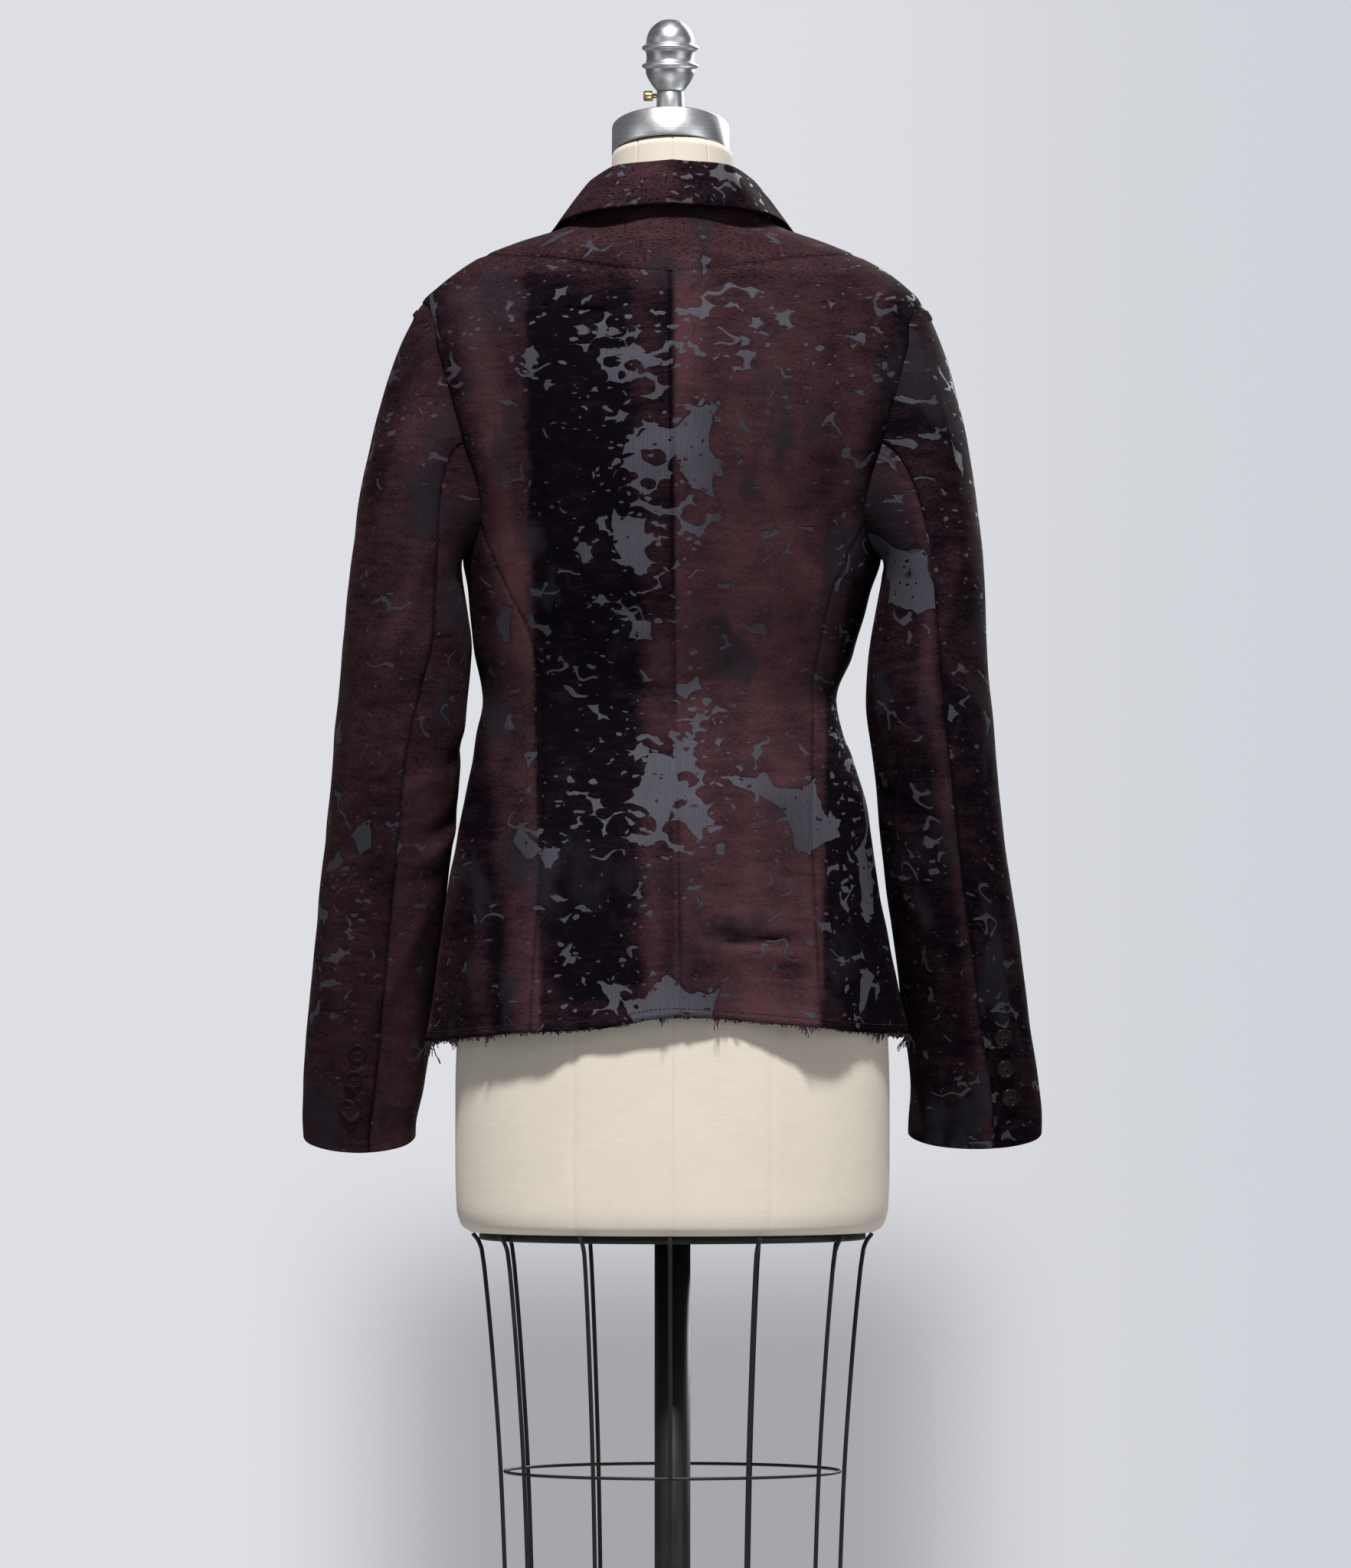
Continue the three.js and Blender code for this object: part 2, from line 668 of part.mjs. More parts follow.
// Over the fronts: how far each line lies from the roll, how far it drops, how high it stands off.
const COLLAR_OVER = {
  seam: [[0.62, -0.6, 0, 2.6], [0.8, -0.6, 0, 2.6], [1, -0.6, 0, 2.6]],
  roll: [[0.62, 0, 0, 8.5], [0.8, 0, 0, 8], [1, 1, 0, 6.5]],
  bulge: [[0.62, 12, 0.6, 8.5], [0.8, 22, 0.3, 8.5], [1, 26, 0.1, 6.5]],
  fall: [[0.62, 31, 0.6, 5], [0.8, 46, 0.35, 5], [1, 52, 0.1, 5]],
};

/** A row of the collar's front part, from its place over the right or left front. */
function collarOver([share, far, drop, high]) {
  const z = lerp(NECK_SIDE_Z, 1405, (share - COLLAR_FRONT) / (1 - COLLAR_FRONT));
  const h = z - far * drop;
  const x = plainPoint(edgeTurn(1, z), z).x + far * Math.sqrt(1 - drop * drop);
  const turn = turnAtX(1, h, x, NECK_SIDE_TURN * 0.8, Math.PI * 1.1);
  const place = plainPoint(turn, h).addScaledVector(bodyNormal(turn, h), high);
  return [share, place.x, place.y, place.z];
}

const COLLAR = Object.fromEntries(
  Object.entries(COLLAR_BACK).map(([line, rows]) => [
    line,
    table("share x y z", ...rows, ...COLLAR_OVER[line].map(collarOver)),
  ]),
);

function collarPiece() {
  const places = [];
  for (let i = -COLLAR_COLUMNS; i <= COLLAR_COLUMNS; i++) {
    const side = i < 0 ? -1 : 1;
    const share = Math.abs(i) / COLLAR_COLUMNS;
    const [seam, roll, bulge, fall] = ["seam", "roll", "bulge", "fall"].map(
      (line) => new THREE.Vector3(...["x", "y", "z"].map((c) => at(COLLAR[line], c, share))),
    );
    const column = [
      seam,
      seam.clone().lerp(roll, 0.5),
      seam.clone().lerp(roll, 0.88),
      roll.clone().lerp(bulge, 0.12).add(new THREE.Vector3(0, 0, 1.5)),
      roll.clone().lerp(bulge, 0.5).add(new THREE.Vector3(0, 0, 2)),
      bulge,
      bulge.clone().lerp(fall, 0.5),
      fall,
    ];
    for (const p of column) p.x *= side;
    places.push(column);
  }
  const sheet = new Sheet();
  const rows = places[0].map((_, j) => places.map((column) => column[j]));
  const numbers = rows.map((row, j) =>
    row.map((p, i) => {
      const along = row[Math.min(i + 1, row.length - 1)].clone().sub(row[Math.max(i - 1, 0)]);
      const over = rows[Math.min(j + 1, rows.length - 1)][i].clone().sub(rows[Math.max(j - 1, 0)][i]);
      return sheet.add(p, over.cross(along).normalize());
    }),
  );
  sheet.fill(numbers);
  return sheet.wall(1.6);
}

add("collar", collarPiece(), CLOTH);

// Sleeves

const CAP_ROWS = 6;
const TUBE_ROWS = 11;

/** A ring of the sleeve below its cap. */
function sleevePoint(name, side, turn, level, share) {
  const t = SLEEVE[name];
  const half = at(t, "half", level);
  const middle = at(t, "outer", level) - half;
  const tilt = CUFF[name].slope * share * share;
  return new THREE.Vector3(
    side * (middle + half * Math.cos(turn * DEG)),
    at(t, "midY", level) + at(t, "deep", level) * Math.sin(turn * DEG),
    level + tilt * Math.sin(turn * DEG),
  );
}

/** Turns round the sleeve of the columns of its grid at a level. */
function sleeveTurns(name, level, share) {
  const hind = at(HIND_SEAM[name], "turn", level);
  const even = ease(0, 0.4, share);
  return LOOP.map((angle, i) => {
    const signed = i > FORE_AT || i === 0 ? angle - 360 * (i > FORE_AT ? 1 : 0) : angle;
    const isUnder = i >= HIND_AT && i <= FORE_AT;
    const u = isUnder
      ? (i - HIND_AT) / (FORE_AT - HIND_AT)
      : ((i + LOOP.length - FORE_AT) % LOOP.length) / (LOOP.length - FORE_AT + HIND_AT);
    const spread = isUnder ? lerp(hind, FORE_SEAM_TURN, u) : lerp(FORE_SEAM_TURN - 360, hind, u);
    if (isUnder) return spread;
    const backShift = (hind - 97) * ease(20, 97, signed);
    const foreShift = (FORE_SEAM_TURN - 360 + JUNCTION) * ease(-20, -JUNCTION, signed);
    return lerp(signed + backShift + foreShift, spread, even);
  });
}

/** The whole sleeve as rings of points, from the armhole to the cuff. */
function sleeveRings(name, side) {
  const rings = [];
  const firstTurns = sleeveTurns(name, SLEEVE_TOP_Z, 0);
  const start = LOOP.map((angle) => armhole(side, angle));
  const foot = firstTurns.map((turn) => sleevePoint(name, side, turn, SLEEVE_TOP_Z, 0));
  for (let j = 0; j < CAP_ROWS; j++) {
    const v = j / CAP_ROWS;
    rings.push(
      LOOP.map((angle, i) => {
        const a = angle * DEG;
        const p0 = bodyPoint(side * start[i].turn, start[i].z);
        const p3 = foot[i];
        const long = p0.distanceTo(p3);
        const up = (1 + Math.cos(a)) / 2;
        const away = new THREE.Vector3(
          side * lerp(0.93, 0.55, up ** 2),
          0.42 * Math.sin(a),
          lerp(-0.25, -0.84, up ** 2),
        ).normalize();
        const p1 = p0.clone().addScaledVector(away, Math.max(4, long * lerp(0.24, 0.2, up)));
        const p2 = p3.clone().add(new THREE.Vector3(side * lerp(0, -5, up), 0, long * lerp(0.3, 0.4, up)));
        if (j === 0) {
          const normal = bodyNormal(side * start[i].turn, start[i].z);
          const n = LOOP.length;
          const [next, last] = [start[(i + 1) % n], start[(i + n - 1) % n]];
          const along = bodyPoint(side * next.turn, next.z).sub(bodyPoint(side * last.turn, last.z));
          const inward = normal.cross(along).multiplyScalar(-side).normalize();
          return p0.addScaledVector(inward, SEAM);
        }
        return new THREE.CubicBezierCurve3(p0, p1, p2, p3).getPoint(v);
      }),
    );
  }
  for (let j = 0; j <= TUBE_ROWS; j++) {
    const share = j / TUBE_ROWS;
    const level = lerp(SLEEVE_TOP_Z, CUFF[name].z, share);
    rings.push(sleeveTurns(name, level, share).map((turn) => sleevePoint(name, side, turn, level, share)));
  }
  return rings;
}

/** Outward directions of the rings. The first ring leans with the body, as the pieces meet there. */
function ringNormals(rings, side) {
  const n = LOOP.length;
  return rings.map((ring, j) =>
    ring.map((p, i) => {
      if (j === 0) {
        const start = armhole(side, LOOP[i]);
        return bodyNormal(side * start.turn, start.z);
      }
      const round = ring[(i + 1) % n].clone().sub(ring[(i + n - 1) % n]);
      const down = rings[Math.min(j + 1, rings.length - 1)][i].clone().sub(rings[j - 1][i]);
      return round.cross(down).multiplyScalar(-side).normalize();
    }),
  );
}

/** One of a sleeve's two pieces, between two columns of its rings. */
function sleevePiece(rings, normals, from, count) {
  const sheet = new Sheet();
  const n = LOOP.length;
  const numbers = rings.map((ring, j) => {
    const row = [];
    for (let k = 0; k <= count; k++) {
      const i = (from + k) % n;
      const p = ring[i].clone();
      const inner = k === 0 ? ring[(i + 1) % n] : k === count ? ring[(i + n - 1) % n] : null;
      if (inner) p.addScaledVector(inner.clone().sub(p).normalize(), SEAM / 2 + 0.16);
      row.push(sheet.add(p, normals[j][i]));
    }
    return row;
  });
  sheet.fill(numbers);
  return sheet.wall(WALL);
}

/** A flat round button, with a raised rim, on the plane of a place on the cloth. */
function button(place, normal, radius, thick) {
  const turn = new THREE.Quaternion().setFromUnitVectors(new THREE.Vector3(0, 0, 1), normal);
  const profile = [
    [radius - 0.7, 0],
    [radius, 1],
    [radius - 0.5, thick],
    [radius - 1.9, thick],
    [radius - 2.6, thick - 0.7],
  ];
  const rings = profile.map(([r, h]) => {
    const ring = [];
    for (let i = 0; i < 12; i++) {
      const a = (i / 12) * Math.PI * 2;
      ring.push(new THREE.Vector3(r * Math.cos(a), r * Math.sin(a), h + 0.4).applyQuaternion(turn).add(place));
    }
    return ring;
  });
  return loft(rings);
}

/** Place and outward direction on the cells of a grid of rings. */
function onRings(rings, row, column, side) {
  const n = LOOP.length;
  const j = Math.floor(row);
  const i = Math.floor(column);
  const [a, b] = [rings[j][i % n], rings[j][(i + 1) % n]];
  const [d, c] = [rings[j + 1][i % n], rings[j + 1][(i + 1) % n]];
  const top = a.clone().lerp(b, column - i);
  const low = d.clone().lerp(c, column - i);
  const normal = c.clone().sub(a).cross(d.clone().sub(b)).multiplyScalar(-side).normalize();
  return { place: top.lerp(low, row - j), normal };
}

const CUFF_BUTTONS = {
  left: [
    { z: 783.5, x: 249.6 },
    { z: 762.5, x: 253 },
    { z: 740.5, x: 257 },
  ],
  right: [
    { z: 797, x: 260.8 },
    { z: 772, x: 263 },
    { z: 748, x: 267.5 },
  ],
};

const sleeves = {};
for (const [name, side] of SIDES) {
  const rings = sleeveRings(name, side);
  const normals = ringNormals(rings, side);
  sleeves[name] = rings;
  add("top_sleeve_" + name, sleevePiece(rings, normals, FORE_AT, LOOP.length - FORE_AT + HIND_AT), CLOTH);
  add("under_sleeve_" + name, sleevePiece(rings, normals, HIND_AT, FORE_AT - HIND_AT), CLOTH);
  CUFF_BUTTONS[name].forEach(({ z, x }, k) => {
    let best = null;
    for (let row = CAP_ROWS + 6; row < rings.length - 1; row += 0.05)
      for (let column = 0; column < HIND_AT + 0.001; column += 0.05) {
        const spot = onRings(rings, row, column, side);
        if (spot.place.y < at(SLEEVE[name], "midY", z)) continue;
        const off = Math.hypot(spot.place.z - z, Math.abs(spot.place.x) - x);
        if (!best || off < best.off) best = { off, ...spot };
      }
    add("cuff_button_" + name + "_" + (k + 1), button(best.place, best.normal, 7.5, 3), BUTTON);
  });
}

// Front buttons lie on the right front, over the centre line.
[1096, 1006].forEach((z, k) => {
  const turn = Math.PI;
  const normal = bodyNormal(-turn, z);
  const place = bodyPoint(-turn, z).addScaledVector(normal, 3.2);
  add("front_button_" + (k + 1), button(place, normal, 10, 3.4), BUTTON);
});

// Frayed hem: one narrow strip under the cloth's edge, its strands drawn down from it.

const FRAY_CELLS = 84;
const FRAY_SPAN = 150 * DEG;

function hash(i) {
  const s = Math.sin(i * 127.1 + 11.7) * 43758.5453;
  return s - Math.floor(s);
}

/** How thick the fraying is, by turn: clumps at the side backs and right of the middle. */
function frayAmount(turn) {
  const clumps = [
    [74, 12, 1],
    [38, 6, 0.7],
    [-24, 16, 0.7],
    [-68, 10, 1],
  ];
  const near = clumps.map(([c, w, a]) => a * Math.exp(-(((turn / DEG - c) / w) ** 2)));
  return 0.3 + 0.7 * Math.max(...near);
}

function hemFringe() {
  const points = [];
  const faces = [];
  const put = (p) => points.push(p) - 1;
  const columns = [];
  for (let i = 0; i <= FRAY_CELLS; i++) {
    const turns = [lerp(-FRAY_SPAN, FRAY_SPAN, i / FRAY_CELLS)];
    if (i < FRAY_CELLS) turns.push(turns[0] + 0.009);
    for (const turn of turns) {
      const z = hemZ(1, turn) - 4 * SEAM;
      const normal = bodyNormal(turn, z);
      const face = bodyPoint(turn, z).addScaledVector(normal, -0.5);
      const low = bodyPoint(turn, z - 1.2).addScaledVector(normal, -0.5);
      columns.push({
        turn,
        corners: [
          put(face),
          put(low),
          put(low.clone().addScaledVector(normal, -0.8)),
          put(face.clone().addScaledVector(normal, -0.8)),
        ],
      });
    }
  }
  columns.slice(0, -1).forEach(({ corners: a, turn }, k) => {
    const b = columns[k + 1].corners;
    faces.push([a[0], a[1], b[1]], [a[0], b[1], b[0]]);
    faces.push([a[2], a[3], b[3]], [a[2], b[3], b[2]]);
    faces.push([a[3], a[0], b[0]], [a[3], b[0], b[3]]);
    const isStrand = k % 2 === 0 && hash(k) < 0.35 + 0.65 * frayAmount(turn);
    if (!isStrand) {
      faces.push([a[1], a[2], b[2]], [a[1], b[2], b[1]]);
      return;
    }
    const long = 5 + 21 * frayAmount(turn) * hash(k + 3) ** 1.5;
    const normal = bodyNormal(turn, 805);
    const tip = points[a[1]].clone().lerp(points[b[2]], 0.5);
    const across = new THREE.Vector3(Math.cos(turn), -Math.sin(turn), 0);
    tip.z -= long;
    tip.addScaledVector(across, (hash(k + 5) - 0.5) * 0.5 * long);
    tip.addScaledVector(normal, (hash(k + 7) - 0.35) * 0.25 * long);
    const t = put(tip);
    faces.push([a[1], a[2], t], [a[2], b[2], t], [b[2], b[1], t], [b[1], a[1], t]);
  });
  const first = columns[0].corners;
  const last = columns[columns.length - 1].corners;
  faces.push([first[0], first[3], first[2]], [first[0], first[2], first[1]]);
  faces.push([last[0], last[1], last[2]], [last[0], last[2], last[3]]);
  return solid(points, faces);
}

add("hem_fringe", hemFringe(), THREAD);

// Canvas form

const FORM_COLUMNS = 28;

const FORM_REST = 1.3; // space under the yoke at the form's corners, less between them

/** The form lies just under the yoke, which it carries, and has its own shape below. */
function formRing(z, half, back, front, midY, power, tilt) {
  const ring = [];
  for (let i = 0; i < FORM_COLUMNS; i++) {
    const turn = (i / FORM_COLUMNS) * 2 * Math.PI;
    const deep = Math.cos(turn) >= 0 ? back - midY : midY - front;
    const r = reach(turn, half, deep, power);
    const lean = r * Math.cos(turn);
    const own = new THREE.Vector3(
      r * Math.sin(turn),
      midY + lean * Math.cos(tilt * DEG),
      z + lean * Math.sin(tilt * DEG),
    );
    ring.push(own);
  }
  return ring;
}

function formSolid() {
  const rings = FORM.first
    .filter((z) => z < 1385)
    .map((z) => {
      const v = ["half", "back", "front", "midY", "power", "tilt"].map((c) => at(FORM, c, z));
      return formRing(z, ...v);
    });
  for (const z of [1392, 1402, 1412, 1422, 1431, 1439]) {
    const ring = [];
    for (let i = 0; i < FORM_COLUMNS; i++) {
      const turn = (i / FORM_COLUMNS) * 2 * Math.PI;
      const normal = bodyNormal(turn, z);
      ring.push(plainPoint(turn, z).addScaledVector(normal, -WALL - FORM_REST));
    }
    rings.push(ring);
  }
  for (const step of NECK.first) {
    const v = ["z", "half", "back", "front", "midY"].map((c) => at(NECK, c, step));
    rings.push(formRing(...v, 2, at(NECK, "tilt", step)));
  }
  return loft(rings);
}

add("form_torso", formSolid(), CANVAS);

// Neck cap, finial, plate, pole, cage and base

/** A solid of revolution about +Z from radius and height pairs. */
function turned(profile, sides, centre = [0, 0], phase = 0) {
  return loft(
    profile.map(([r, z]) => {
      const ring = [];
      for (let i = 0; i < sides; i++) {
        const a = phase + (i / sides) * Math.PI * 2;
        ring.push(new THREE.Vector3(centre[0] + r * Math.cos(a), centre[1] + r * Math.sin(a), z));
      }
      return ring;
    }),
  );
}

const CAP_TILT = 18 * DEG;
const CAP_BASE = new THREE.Vector3(1.6, -6.8, 1495);
const CAP_HEIGHT = 24.4;
const cap = turned(
  [
    [45.6, 0],
    [46.4, 0.8],
    [46.4, 22.4],
    [45.6, 23.6],
    [40, CAP_HEIGHT],
  ],
  36,
);
cap.rotateX(CAP_TILT);
cap.translate(CAP_BASE.x, CAP_BASE.y, CAP_BASE.z);
add("neck_cap", cap, ALUMINIUM);

const FINIAL_Y = -12;
const stem = turned([[10.9, 1519], [10.9, 1546]], 24, [1.8, FINIAL_Y]);
const stemPlaces = stem.getAttribute("position");
for (let i = 0; i < stemPlaces.count; i++) {
  if (stemPlaces.getZ(i) > 1530) continue;
  const behind = stemPlaces.getY(i) - CAP_BASE.y + CAP_HEIGHT * Math.sin(CAP_TILT);
  stemPlaces.setZ(i, CAP_BASE.z + CAP_HEIGHT * Math.cos(CAP_TILT) + behind * Math.tan(CAP_TILT) + 0.3);
}
add("finial_stem", stem, ALUMINIUM);
add(
  "finial",
  turned(
    [
      [10.6, 1546.3],
      [13, 1549],
      [17.5, 1556],
      [19.3, 1561],
      [19.3, 1564],
      [22.5, 1565],
      [22.5, 1567],
      [19.3, 1568.5],
      [18.9, 1575],
      [19.5, 1578],
      [22.5, 1579.5],
      [22.5, 1581.5],
      [19.3, 1583],
      [18.6, 1589],
      [15.5, 1596],
      [9.5, 1601],
      [3, 1603],
    ],
    18,
    [1.8, FINIAL_Y],
  ),
  ALUMINIUM,
);
const screw = new THREE.BoxGeometry(10, 8, 6.6);
screw.translate(18.1, FINIAL_Y, 1542.2);
add("set_screw", screw, BRASS);

const plate = loft(
  [
    [636.6, 0.985],
    [637.4, 1],
    [641.4, 1],
    [642.4, 0.985],
  ].map(([z, scale]) => {
    const ring = [];
    for (let i = 0; i < 40; i++) {
      const a = (i / 40) * Math.PI * 2;
      const r = reach(a, 153 * scale, 98 * scale, 2.1);
      ring.push(new THREE.Vector3(r * Math.sin(a), -4 + r * Math.cos(a), z));
    }
    return ring;
  }),
);
add("torso_plate", plate, BLACK);

const POLE_RADIUS = 14.2;
const BASE_TOP = 14;
add("pole", turned([[POLE_RADIUS, BASE_TOP + 0.3], [POLE_RADIUS, 636.3]], 24), BLACK);

const CAGE = table(
  "z half deep",
  [300, 130.5, 97],
  [381, 133, 98],
  [453, 136, 100],
  [540, 142, 102],
  [600, 147.5, 104],
  [628, 151, 105],
  [636, 154, 108],
  [641, 158, 112],
);
const WIRE_TURNS = [0, 26.5, 58.5, 90, 121.5, 153.5, 180, 206.5, 238.5, 270, 301.5, 333.5];
const WIRE_RADIUS = 1.7;
const RING_RADIUS = 1.3;

/** A wire hangs from the plate's rim down to the lower ring. */
function cageWire(turn) {
  const levels = [300, 381, 453, 540, 600, 628, 636, 641.5];
  return loft(
    levels.map((z) => {
      const ring = [];
      for (let k = 0; k < 4; k++) {
        const a = (k / 4) * Math.PI * 2;
        const x = at(CAGE, "half", z) * Math.sin(turn) + WIRE_RADIUS * Math.cos(a);
        const y = -4 + at(CAGE, "deep", z) * Math.cos(turn) + WIRE_RADIUS * Math.sin(a);
        ring.push(new THREE.Vector3(x, y, z));
      }
      return ring;
    }),
  );
}

WIRE_TURNS.forEach((turn, i) => {
  add("cage_wire_" + String(i + 1).padStart(2, "0"), cageWire(turn * DEG + 0.012), BLACK);
});

/** A ring that runs just inside the wires. */
function cageRing(z) {
  const steps = 48;
  const inset = WIRE_RADIUS + RING_RADIUS + 0.35;
  const points = [];
  const faces = [];
  for (let i = 0; i < steps; i++) {
    const turn = (i / steps) * Math.PI * 2 + 0.012;
    for (let k = 0; k < 4; k++) {
      const a = (k / 4) * Math.PI * 2;
      const out = RING_RADIUS * Math.cos(a) - inset;
      const x = (at(CAGE, "half", z) + out) * Math.sin(turn);
      const y = -4 + (at(CAGE, "deep", z) + out) * Math.cos(turn);
      points.push(new THREE.Vector3(x, y, z + RING_RADIUS * Math.sin(a)));
      const [p, q] = [i * 4 + k, i * 4 + ((k + 1) % 4)];
      const next = (n) => (n + 4) % (steps * 4);
      faces.push([p, q, next(q)], [p, next(q), next(p)]);
    }
  }
  return solid(points, faces);
}

add("cage_ring_upper", cageRing(453), BLACK);
add("cage_ring_lower", cageRing(304), BLACK);

add("base_disc", turned([[189, 0], [190, 1], [190, 9], [187, 12], [40, BASE_TOP]], 48), BLACK);
const collarRing = new THREE.LatheGeometry(
  [
    [POLE_RADIUS + 0.35, BASE_TOP + 0.3],
    [30, BASE_TOP + 0.3],
    [30, 26],
    [24, 38],
    [POLE_RADIUS + 0.35, 38],
    [POLE_RADIUS + 0.35, BASE_TOP + 0.3],
  ].map(([r, z]) => new THREE.Vector2(r, z)),
  32,
);
collarRing.rotateX(Math.PI / 2);
add("base_collar", collarRing, BLACK);

export default group;
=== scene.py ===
"""Burnt-out velvet jacket with a raw hem on a canvas dress form: cloth, form, stand and studio."""

import logging
import math
from dataclasses import dataclass, field
from enum import Enum
from typing import Sequence

import bpy
import numpy as np
from mathutils import Matrix, Vector


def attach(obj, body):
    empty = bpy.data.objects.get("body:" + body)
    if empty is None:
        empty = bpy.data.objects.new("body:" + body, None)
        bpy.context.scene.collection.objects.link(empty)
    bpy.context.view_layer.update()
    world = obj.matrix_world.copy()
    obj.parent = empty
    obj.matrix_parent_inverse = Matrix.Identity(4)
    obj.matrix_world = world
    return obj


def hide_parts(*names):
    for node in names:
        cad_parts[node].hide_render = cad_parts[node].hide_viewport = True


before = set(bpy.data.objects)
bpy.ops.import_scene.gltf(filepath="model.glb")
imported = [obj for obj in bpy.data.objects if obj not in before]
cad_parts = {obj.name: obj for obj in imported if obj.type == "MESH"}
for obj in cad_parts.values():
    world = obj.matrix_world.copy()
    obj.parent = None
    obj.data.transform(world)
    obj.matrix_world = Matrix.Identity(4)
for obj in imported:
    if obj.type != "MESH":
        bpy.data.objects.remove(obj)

Array = np.ndarray
Row = Sequence[float]
Node = bpy.types.Node
Item = bpy.types.Object
Material = bpy.types.Material
Socket = bpy.types.NodeSocket
Tree = bpy.types.NodeTree
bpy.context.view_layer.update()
BODY = "root"
MM = 0.001
DEG = math.pi / 180
SEAM_LAP = 0.06
LOG = logging.getLogger("jacket")


# Number helpers


@dataclass
class Table:
    """Rows with named columns, eased by a shape-keeping cubic."""

    names: str
    rows: Sequence[Sequence[float]]
    keys: Array = field(init=False)
    columns: dict[str, tuple[Array, Array]] = field(init=False)

    def __post_init__(self) -> None:
        """Works out each column's slopes."""
        data = np.array(self.rows, float)
        self.keys = data[:, 0]
        self.columns = {}
        for i, name in enumerate(self.names.split()[1:]):
            values = data[:, i + 1]
            step = np.diff(values) / np.diff(self.keys)
            slopes = np.empty_like(values)
            slopes[0], slopes[-1] = step[0], step[-1]
            product = step[:-1] * step[1:]
            total = step[:-1] + step[1:]
            slopes[1:-1] = np.where(product > 0, 2 * product / np.where(total == 0, 1, total), 0)
            self.columns[name] = (values, slopes)

    def at(self, name: str, key: Array | float) -> Array:
        """Reads a column between its rows.

        Args:
            name: the column.
            key: one place or many, in the first column's terms.

        Returns:
            The eased values, shaped as the keys.
        """
        values, slopes = self.columns[name]
        key = np.clip(np.asarray(key, float), self.keys[0], self.keys[-1])
        i = np.clip(np.searchsorted(self.keys, key, side="right") - 1, 0, len(self.keys) - 2)
        h = self.keys[i + 1] - self.keys[i]
        s = (key - self.keys[i]) / h
        return (
            (1 + 2 * s) * (1 - s) ** 2 * values[i]
            + s * (1 - s) ** 2 * h * slopes[i]
            + s * s * (3 - 2 * s) * values[i + 1]
            + s * s * (s - 1) * h * slopes[i + 1]
        )


def lerp(a: Array | float, b: Array | float, t: Array | float) -> Array:
    """A value part of the way from a to b."""
    return a + (b - a) * t


def ease(start: float, end: float, value: Array | float) -> Array:
    """A smooth step from 0 at start to 1 at end."""
    t = np.clip((np.asarray(value, float) - start) / (end - start), 0, 1)
    return t * t * (3 - 2 * t)


def unit(v: Array) -> Array:
    """Directions of length 1."""
    return v / np.maximum(np.linalg.norm(v, axis=-1, keepdims=True), 1e-9)


def grid_normals(points: Array, outward: Array) -> Array:
    """Directions at right angles to a grid of points.

    Args:
        points: rows by columns by 3.
        outward: roughly outward directions, of the same shape.

    Returns:
        Unit directions on the outward side.
    """
    across = np.gradient(points, axis=1)
    along = np.gradient(points, axis=0)
    n = unit(np.cross(across, along))
    flip = np.sign(np.sum(n * outward, axis=-1, keepdims=True))
    return n * np.where(flip == 0, 1, flip)


def spaced(count: int, width: float, start: bool = True, end: bool = True) -> Array:
    """Shares from 0 to 1, crowded where an edge is sewn.

    Args:
        count: even steps between the edges.
        width: the real width, in millimetres.
        start: whether the first edge is crowded.
        end: whether the last edge is crowded.

    Returns:
        The rising shares.
    """
    near = np.array([0.8, 1.8, 3.2, 5.0]) / width
    parts = [np.linspace(0, 1, count + 1)]
    inner = parts[0]
    if start:
        inner = inner[(inner == 0) | (inner > near[-1] * 1.3)]
        inner = np.union1d(inner, near)
    if end:
        inner = inner[(inner == 1) | (inner < 1 - near[-1] * 1.3)]
        inner = np.union1d(inner, 1 - near)
    return inner


def wrapped(degrees: Array) -> Array:
    """Degrees brought to the range from -180 to 180."""
    return degrees - 360 * np.round(degrees / 360)


def bell(value: Array, middle: float, width: float) -> Array:
    """A soft hump of height 1 round a middle."""
    return np.exp(-(((value - middle) / width) ** 2))


def waves(a: Array, b: Array, seed: int, length: float, count: int = 7) -> Array:
    """Soft uneven undulation over two coordinates, from -1 to 1.

    Args:
        a: first coordinate, in millimetres.
        b: second coordinate, in millimetres.
        seed: which pattern.
        length: typical wave length, in millimetres.
        count: how many waves are added.

    Returns:
        The height at each place.
    """
    rng = np.random.default_rng(seed)
    total = np.zeros(np.broadcast(a, b).shape)
    for _ in range(count):
        turn = rng.uniform(0, math.pi)
        k = 2 * math.pi / (length * rng.uniform(0.7, 1.6))
        phase = rng.uniform(0, 2 * math.pi)
        total = total + np.sin(k * (a * math.cos(turn) + b * math.sin(turn)) + phase)
    return total / math.sqrt(count) / 1.4


# The jacket's shape, as in the solids


class Side(Enum):
    """The wearer's side, with the sign of its X."""

    LEFT = 1
    RIGHT = -1

    @property
    def word(self) -> str:
        """The side's name in lower case."""
        return self.name.lower()


@dataclass(frozen=True)
class Crease:
    """A long soft ridge or valley in the cloth.

    turn is in degrees round the piece, z in millimetres, lean in degrees from the vertical.
    """

    turn: float
    z: float
    lean: float
    length: float
    width: float
    rise: float


